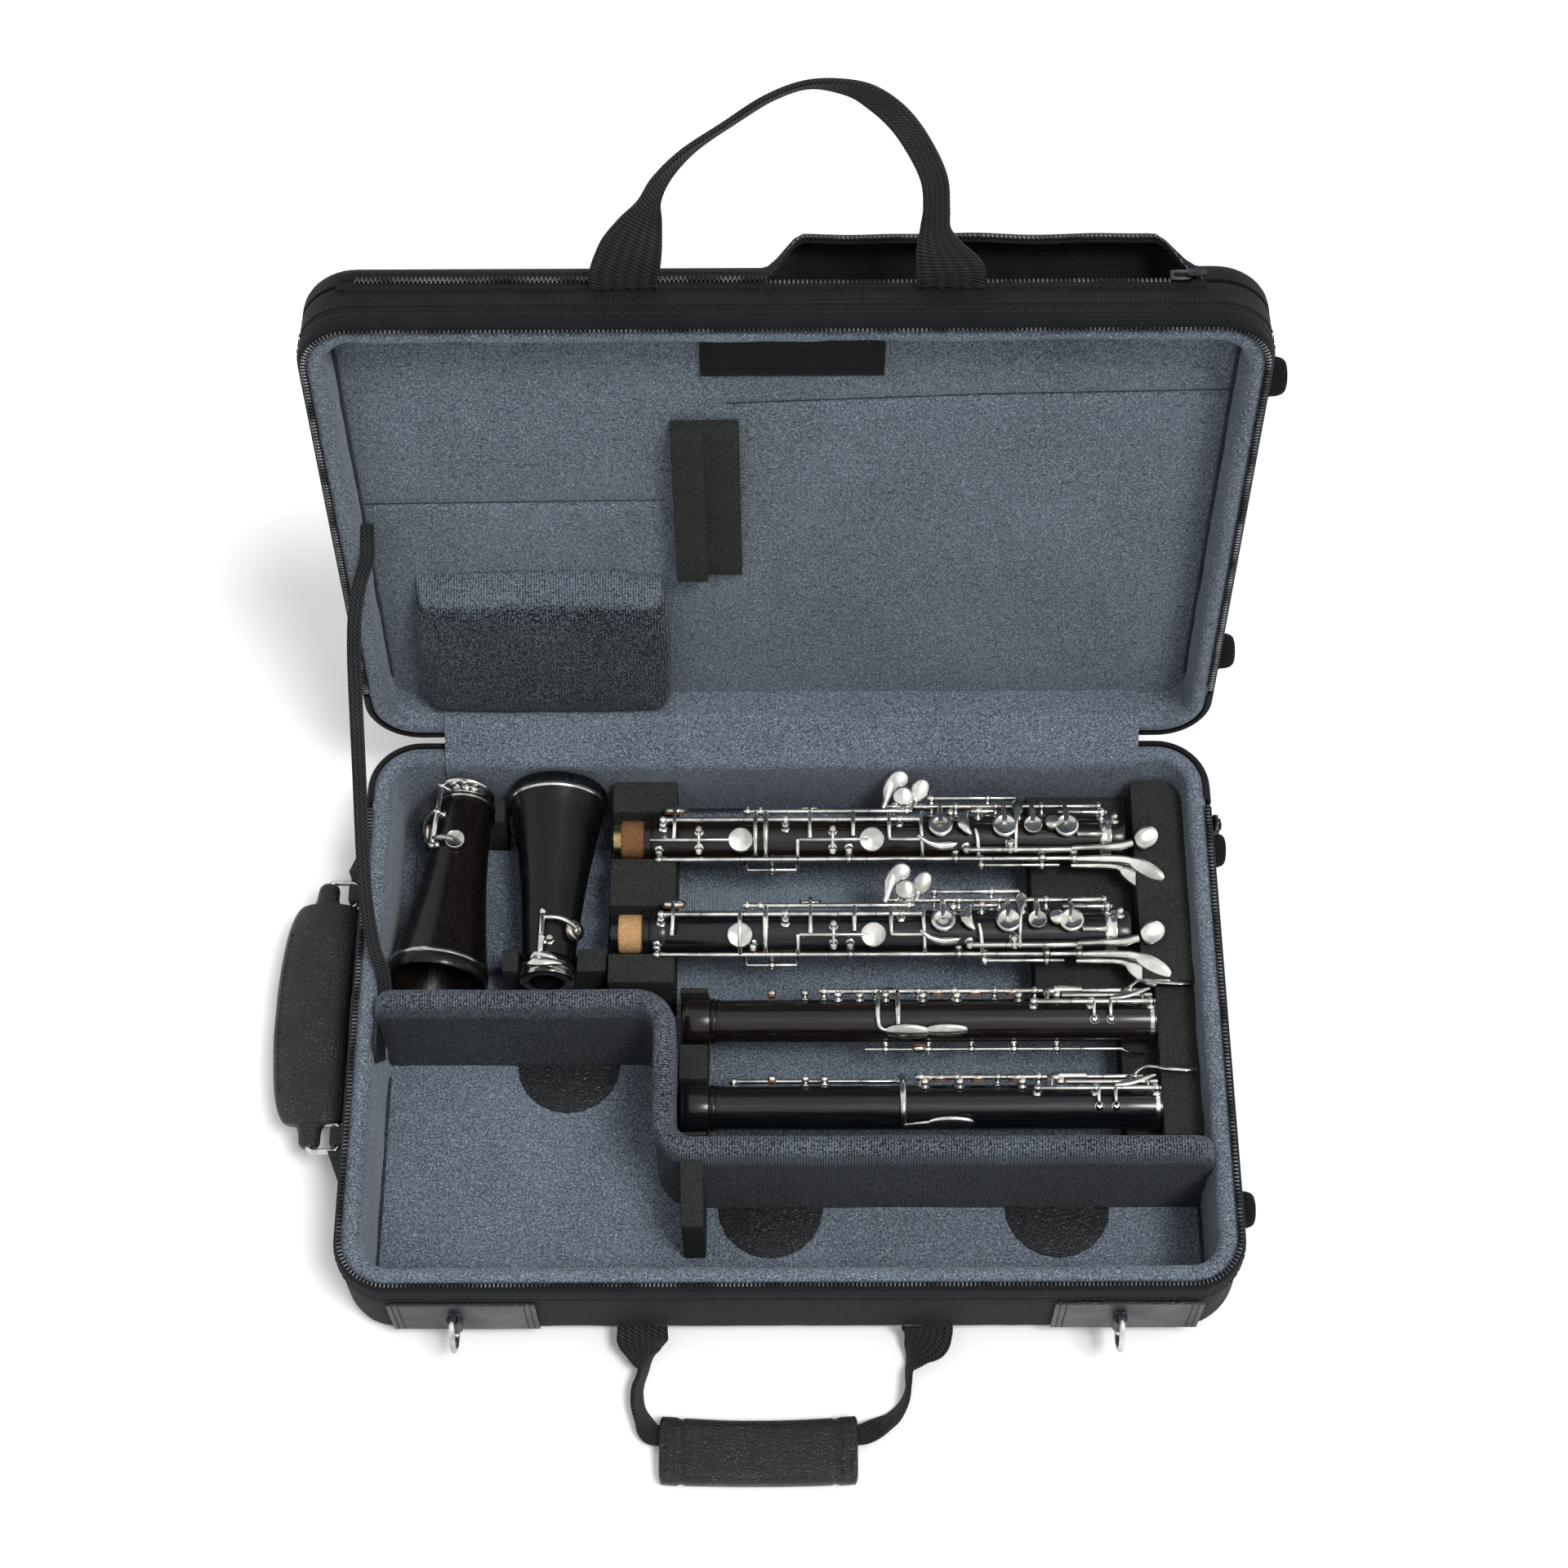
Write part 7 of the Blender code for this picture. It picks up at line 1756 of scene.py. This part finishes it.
def upperKeys(black):
    back = 58
    posts = [(s, back, 4.0) for s in (0.50, 0.575, 0.66, 0.745, 0.835, 0.945)]
    posts += [(s, 42, 2.8) for s in (0.508, 0.58, 0.71, 0.79)]
    posts += [(s, 17, 3.6) for s in (0.74, 0.985, 0.86)] + [(0.26, 60, 3.2)]
    rods = [(back, 0.49, 0.965, 4.0), (17, 0.735, 0.995, 3.6), (back, 0.785, 0.845, 4.4, 1.7),
            (36, 0.80, 0.99, 3.6, 0.9)]
    cups = [(0.54, 66, 0.62, "dome"), (0.62, 66, 0.62, "dome"), (0.70, 66, 0.62, "dome"), (0.78, 64, 0.62, "dome"),
            (0.19, 84, 0.35, "dome")]
    arms = [(1.3, ((s, 20, 3.8, 0.8), (s, 6, 4.6, 0.8), (s, -10, 4.0, 0.7), (s + 0.002, -20, 2.2, 0.6)))
            for s in (0.865, 0.90)]
    arms += [(1.2, ((s, back, 4.2, 0.9), (s, 70, 5.0, 1.1), (s, 74, 4.6, 0.8))) for s in (0.54, 0.62, 0.70, 0.78)]
    arms += [(1.4, ((s, back, 4.4, 0.9), (s + 0.003, 44, 4.6, 1.1), (s + 0.003, 26, 3.9, 0.9), (s, 17, 3.7, 0.7)))
             for s in (0.765, 0.93, 0.965)]
    posts += [(s + 0.002, -20, 1.6) for s in (0.865, 0.90)]
    spoons = [((0.988, 60, 8.6), (1.076, 60, 7.4), 3.6, 2.2, (0, 0.75, 0.66))]
    touches = [
        (1.8, None, ((0.940, back, 4.4, 1.0), (0.952, 61, 6.6, 1.4), (0.968, 61, 8.6, 1.8), (0.992, 60, 8.4, 1.8))),
        (1.6, None, ((0.90, 22, 4.4, 0.9), (0.925, 26, 5.0, 1.6), (0.955, 33, 5.6, 1.5), (0.985, 42, 6.0, 0.7))),
    ]
    if black:
        rods += [(96, 0.10, 0.47, 3.6, 0.9)]
        posts += [(0.11, 96, 3.6), (0.30, 96, 3.6), (0.30, 74, 3.0), (0.46, 96, 3.6)]
        arms += [
            (1.3, ((0.462, 80, 4.6, 1.2), (0.462, 40, 2.4, 1.2), (0.462, 0, 1.6, 1.2), (0.462, -40, 1.6, 1.2),
                (0.462, -66, 1.8, 1.1))),
        ]
        arms.append((1.6, ((0.462, -64, 1.8, 1.0), (0.49, -60, 2.1, 1.1), (0.525, -56, 2.6, 1.4))))
        spoons.append(((0.512, -56, 2.4), (0.608, -55, 2.4), 3.8, 3.4))
    else:
        rods += [(back, 0.29, 0.49, 4.0), (-99, 0.386, 0.93, 3.4, 0.7)]
        posts += [(0.30, back, 4.0), (0.33, 46, 3.0), (0.375, 46, 2.6), (0.41, back, 4.0), (0.43, 44, 3.0)]
        posts += [(s, -99, 3.4) for s in (0.43, 0.52, 0.61, 0.70, 0.79)]
        cups += [(0.50, -98, 0.6, "dome"), (0.44, 66, 0.62, "dome")]
        arms += [
            (1.3, ((0.415, back, 4.2, 0.8), (0.413, 20, 2.6, 0.9), (0.413, -20, 2.2, 0.9), (0.418, -38, 2.2, 0.9),
                (0.432, -44, 2.2, 0.8))),
            (1.3, ((0.455, back, 4.2, 0.9), (0.455, 20, 2.6, 1.0), (0.455, -20, 2.2, 1.0), (0.456, -40, 2.2, 0.9))),
            (1.3, ((0.925, -99, 3.6, 0.8), (0.945, -106, 5.2, 1.4), (0.975, -104, 5.8, 1.4),
                (0.985, -92, 5.0, 0.8))),
        ]
        spoons += [((0.428, -44, 2.3), (0.522, -46, 2.5), 3.9, 3.2), ((0.510, -43, 2.5), (0.602, -42, 2.4), 3.3, 2.8)]
    return {"rods": rods, "posts": posts, "cups": cups, "arms": arms, "touches": touches, "spoons": spoons}


def makeUpperJoint(name, y, body, black):
    joint = {"length": 0.2275, "radius": 0.0105}
    matrix = Matrix.Translation((-0.0515, y, 0.040))
    label = "upperJoint" + ("Black" if black else "Brown")
    wood = ((0, 0.045), (0.46, 0.045), (0.46, 0.001), (0.90, 0.0), (1.05, 0.003), (1.06, 0.008), (1.11, 0.009),
            (1.17, 0.014), (1.19, 0.020), (1.19, 0.056), (1.17, 0.059), (1.10, 0.0605), (1.03, 0.062), (1.05, 0.0655),
            (1.06, 0.068), (1.05, 0.071), (0.995, 0.0725), (0.995, 0.0745), (1.03, 0.0755), (1.03, 0.079),
            (0.985, 0.082), (0.975, 0.10), (0.985, 0.16), (1.0, 0.26), (1.0, 0.5), (1.0, 0.7), (1.0, 0.9),
            (1.0, 0.99), (0.97, 0.9985), (0.60, 1.0), (0.50, 0.999), (0.50, 0.972), (0, 0.972))
    ring = ((0.975, 0.984), (1.012, 0.985), (1.015, 0.989), (1.012, 0.993), (0.975, 0.994))
    parts = (("", "blackWood" if black else "brownWood", wood), ("Ring", "silver", ring))
    addTurned(label, name, joint, body, matrix, parts)
    makeKeys(label + "Keys", name + "_keys", body, joint, upperKeys(black), matrix)


def bellKeys(black):
    if black:
        rods = [(8, 0.04, 0.30, 4.0, 1.2)]
        posts = [(0.05, 8, 4.0), (0.29, 8, 4.0), (0.16, 8, 4.0), (0.16, -6, 3.0)]
        cups = [(0.225, -52, 0.86, "ring")]
        arms = [(1.5, ((0.262, 8, 4.4, 1.0), (0.262, -20, 4.8, 1.2), (0.245, -40, 5.2, 1.1), (0.228, -50, 5.0, 0.8)))]
        touches = [
            (2.0, None, ((0.03, 30, 3.8, 0.8), (0.032, 16, 4.6, 2.0), (0.034, 0, 4.6, 2.2), (0.034, -16, 4.2, 1.6),
                (0.03, -30, 3.6, 0.6))),
            (1.6, None, ((0.06, 24, 3.4, 0.7), (0.075, 14, 4.4, 1.3), (0.062, -8, 4.8, 1.4),
                (0.05, -20, 3.8, 0.6))),
        ]
    else:
        rods = [(-44, 0.02, 0.36, 4.0, 1.2)]
        posts = [(0.03, -44, 4.0), (0.17, -44, 4.0), (0.35, -44, 4.0), (0.35, -34, 3.2), (0.02, 0, 4.0),
                 (0.02, -20, 3.4), (0.02, 20, 3.2)]
        cups = [(0.33, 0, 0.80, "disc"), (0.235, -88, 0.85, "dome")]
        arms = [
            (1.5, ((0.315, -44, 4.4, 1.0), (0.318, -26, 4.6, 1.2), (0.325, -12, 4.8, 1.0), (0.33, -2, 5.0, 0.9))),
            (1.5, ((0.16, -44, 4.4, 0.9), (0.175, -62, 5.6, 1.1), (0.205, -78, 6.2, 1.0), (0.232, -88, 5.8, 0.9))),
        ]
        touches = [
            (1.8, None, ((0.022, -40, 4.0, 0.8), (0.012, -20, 4.6, 1.4), (0.012, 10, 4.6, 1.4),
                (0.024, 36, 4.0, 0.7))),
        ]
    return {"rods": rods, "posts": posts, "cups": cups, "arms": arms, "touches": touches, "spoons": []}


def makeBell(name, x, turn, body, black):
    joint = {"length": 0.104, "radius": 0.0245}
    heading = Vector((cos(turn), sin(turn), 0))
    matrix = Matrix.Translation(Vector((x, 0.072, 0.0415)) - heading * 0.052) @ Matrix.Rotation(turn, 4, "Z")
    label = "bell" + ("Black" if black else "Brown")
    outer = smoothPath([(0.535, 0.135), (0.565, 0.22), (0.60, 0.32), (0.65, 0.45), (0.72, 0.58), (0.81, 0.72),
                        (0.895, 0.84), (0.95, 0.90), (0.975, 0.925)], 5)
    bore = smoothPath([(0.92, 0.988), (0.78, 0.86), (0.62, 0.70), (0.42, 0.46), (0.33, 0.20)], 4)
    wood = [(0.36, 0.012), (0.50, 0.012), (0.52, 0.06), (0.515, 0.085), (0.49, 0.09), (0.49, 0.098), (0.525, 0.104),
            (0.53, 0.115), *outer, (0.995, 0.948), (1.0, 0.970), (0.995, 0.988), (0.97, 0.999), (0.94, 0.998), *bore,
            (0.32, 0.17), (0.36, 0.16)]
    mouth = ((0.955, 0.921), (0.985, 0.922), (0.998, 0.927), (1.001, 0.934), (0.999, 0.941), (0.985, 0.944),
             (0.955, 0.938))
    neck = ((0.355, 0.012), (0.355, 0.001), (0.50, 0.0), (0.535, 0.006), (0.535, 0.020), (0.515, 0.024),
            (0.515, 0.030), (0.535, 0.034), (0.535, 0.046), (0.515, 0.050), (0.515, 0.058), (0.530, 0.062),
            (0.525, 0.072), (0.505, 0.074), (0.48, 0.060))
    parts = (("", "blackBellWood" if black else "brownBellWood", wood), ("MouthRing", "silver", mouth),
             ("NeckRing", "silver", neck))
    addTurned(label, name, joint, body, matrix, parts, True, 64)
    neckJoint = {"length": joint["length"], "radius": 0.0130}
    makeKeys(label + "Keys", name + "_keys", body, neckJoint, bellKeys(black), matrix)


makeLowerJoint("lower_joint_brown", 0.0965, "brown_lower", False)
makeLowerJoint("lower_joint_black", 0.045, "black_lower", True)
makeUpperJoint("upper_joint_brown", 0.0, "brown_upper", False)
makeUpperJoint("upper_joint_black", -0.0445, "black_upper", True)
makeBell("bell_brown", -0.1653, -pi / 2 - radians(5.7), "brown_bell", False)
makeBell("bell_black", -0.1162, pi / 2 - radians(1.2), "black_bell", True)
print("oboes")


# Floor, light and camera

stageSizes = {"floor": 2.4, "rings": 24, "spread": 1.5, "level": -0.0001}


def makeFloor():
    points = []
    for k in range(1, stageSizes["rings"] + 1):
        reach = stageSizes["floor"] * (k / stageSizes["rings"]) ** stageSizes["spread"]
        points += [(reach * c, reach * d, stageSizes["level"]) for c, d in circle(64)]
    points.append((0, 0, stageSizes["level"]))
    faces = []
    for k in range(stageSizes["rings"] - 1):
        for n in range(64):
            m = (n + 1) % 64
            faces.append((k * 64 + n, (k + 1) * 64 + n, (k + 1) * 64 + m, k * 64 + m))
    faces += [(len(points) - 1, n, (n + 1) % 64) for n in range(64)]
    mesh = bpy.data.meshes.new("floor")
    mesh.from_pydata(points, [], faces)
    made = addObject("floor", mesh)
    skin, tree, shader, coords = startSkin("whiteTable", 0.55)
    faint = speckle(tree, coords["Object"], 6.0, 2.0)
    colourBetween(tree, shader, remap(tree, faint, 0.3, 0.7), (252, 252, 252), (255, 255, 255))
    mesh.materials.append(skin)


lightSizes = {"sky": 0.30, "skyTop": 0.95, "sun": 2.0, "sunFrom": (0.65, -0.55, 1.85), "sunSpread": 0.28}


def makeLight():
    world = bpy.data.worlds.new("studio")
    scene.world = world
    world.use_nodes = True
    tree = world.node_tree
    tree.nodes.clear()
    rays = put(tree, "ShaderNodeLightPath").outputs
    seen = calc(tree, "MAXIMUM", rays["Is Camera Ray"], rays["Is Glossy Ray"])
    seen = calc(tree, "MAXIMUM", seen, rays["Is Transmission Ray"])
    heading = tree.nodes.new("ShaderNodeTexCoord").outputs["Generated"]
    high = calc(tree, "MAXIMUM", put(tree, "ShaderNodeSeparateXYZ", {"Vector": heading}).outputs[2], 0.0)
    glow = calc(tree, "MULTIPLY_ADD", calc(tree, "MULTIPLY", high, high), lightSizes["skyTop"], lightSizes["sky"])
    dim = put(tree, "ShaderNodeBackground", {"Color": (1, 1, 1, 1), "Strength": glow}).outputs[0]
    plain = put(tree, "ShaderNodeBackground", {"Color": (1, 1, 1, 1), "Strength": 1.0}).outputs[0]
    mixed = put(tree, "ShaderNodeMixShader", {0: seen, 1: dim, 2: plain}).outputs[0]
    put(tree, "ShaderNodeOutputWorld", {"Surface": mixed})
    sun = bpy.data.lights.new("sun", "SUN")
    sun.energy, sun.angle = lightSizes["sun"], lightSizes["sunSpread"]
    addObject("sun", sun).rotation_euler = Vector(lightSizes["sunFrom"]).to_track_quat("Z", "Y").to_euler()


cameraSizes = {"place": (0.0042, -0.5508, 1.3090), "down": radians(61.80), "yaw": radians(-0.26),
               "roll": radians(-0.20), "lens": 65.81}


def makeCamera():
    s = cameraSizes
    eye = bpy.data.cameras.new("camera")
    eye.lens, eye.sensor_width, eye.clip_start = s["lens"], 36, 0.01
    ahead, right = Vector((0, cos(s["down"]), -sin(s["down"]))), xAxis
    up = Vector((0, sin(s["down"]), cos(s["down"])))
    ahead, right = ahead * cos(s["yaw"]) + right * sin(s["yaw"]), right * cos(s["yaw"]) - ahead * sin(s["yaw"])
    right, up = right * cos(s["roll"]) + up * sin(s["roll"]), up * cos(s["roll"]) - right * sin(s["roll"])
    matrix = Matrix((right, up, -ahead)).transposed().to_4x4()
    matrix.translation = s["place"]
    scene.camera = addObject("camera", eye)
    scene.camera.matrix_world = matrix


makeFloor()
makeLight()
makeCamera()
scene.view_settings.view_transform = "Standard"
print("stage")

print("finished")
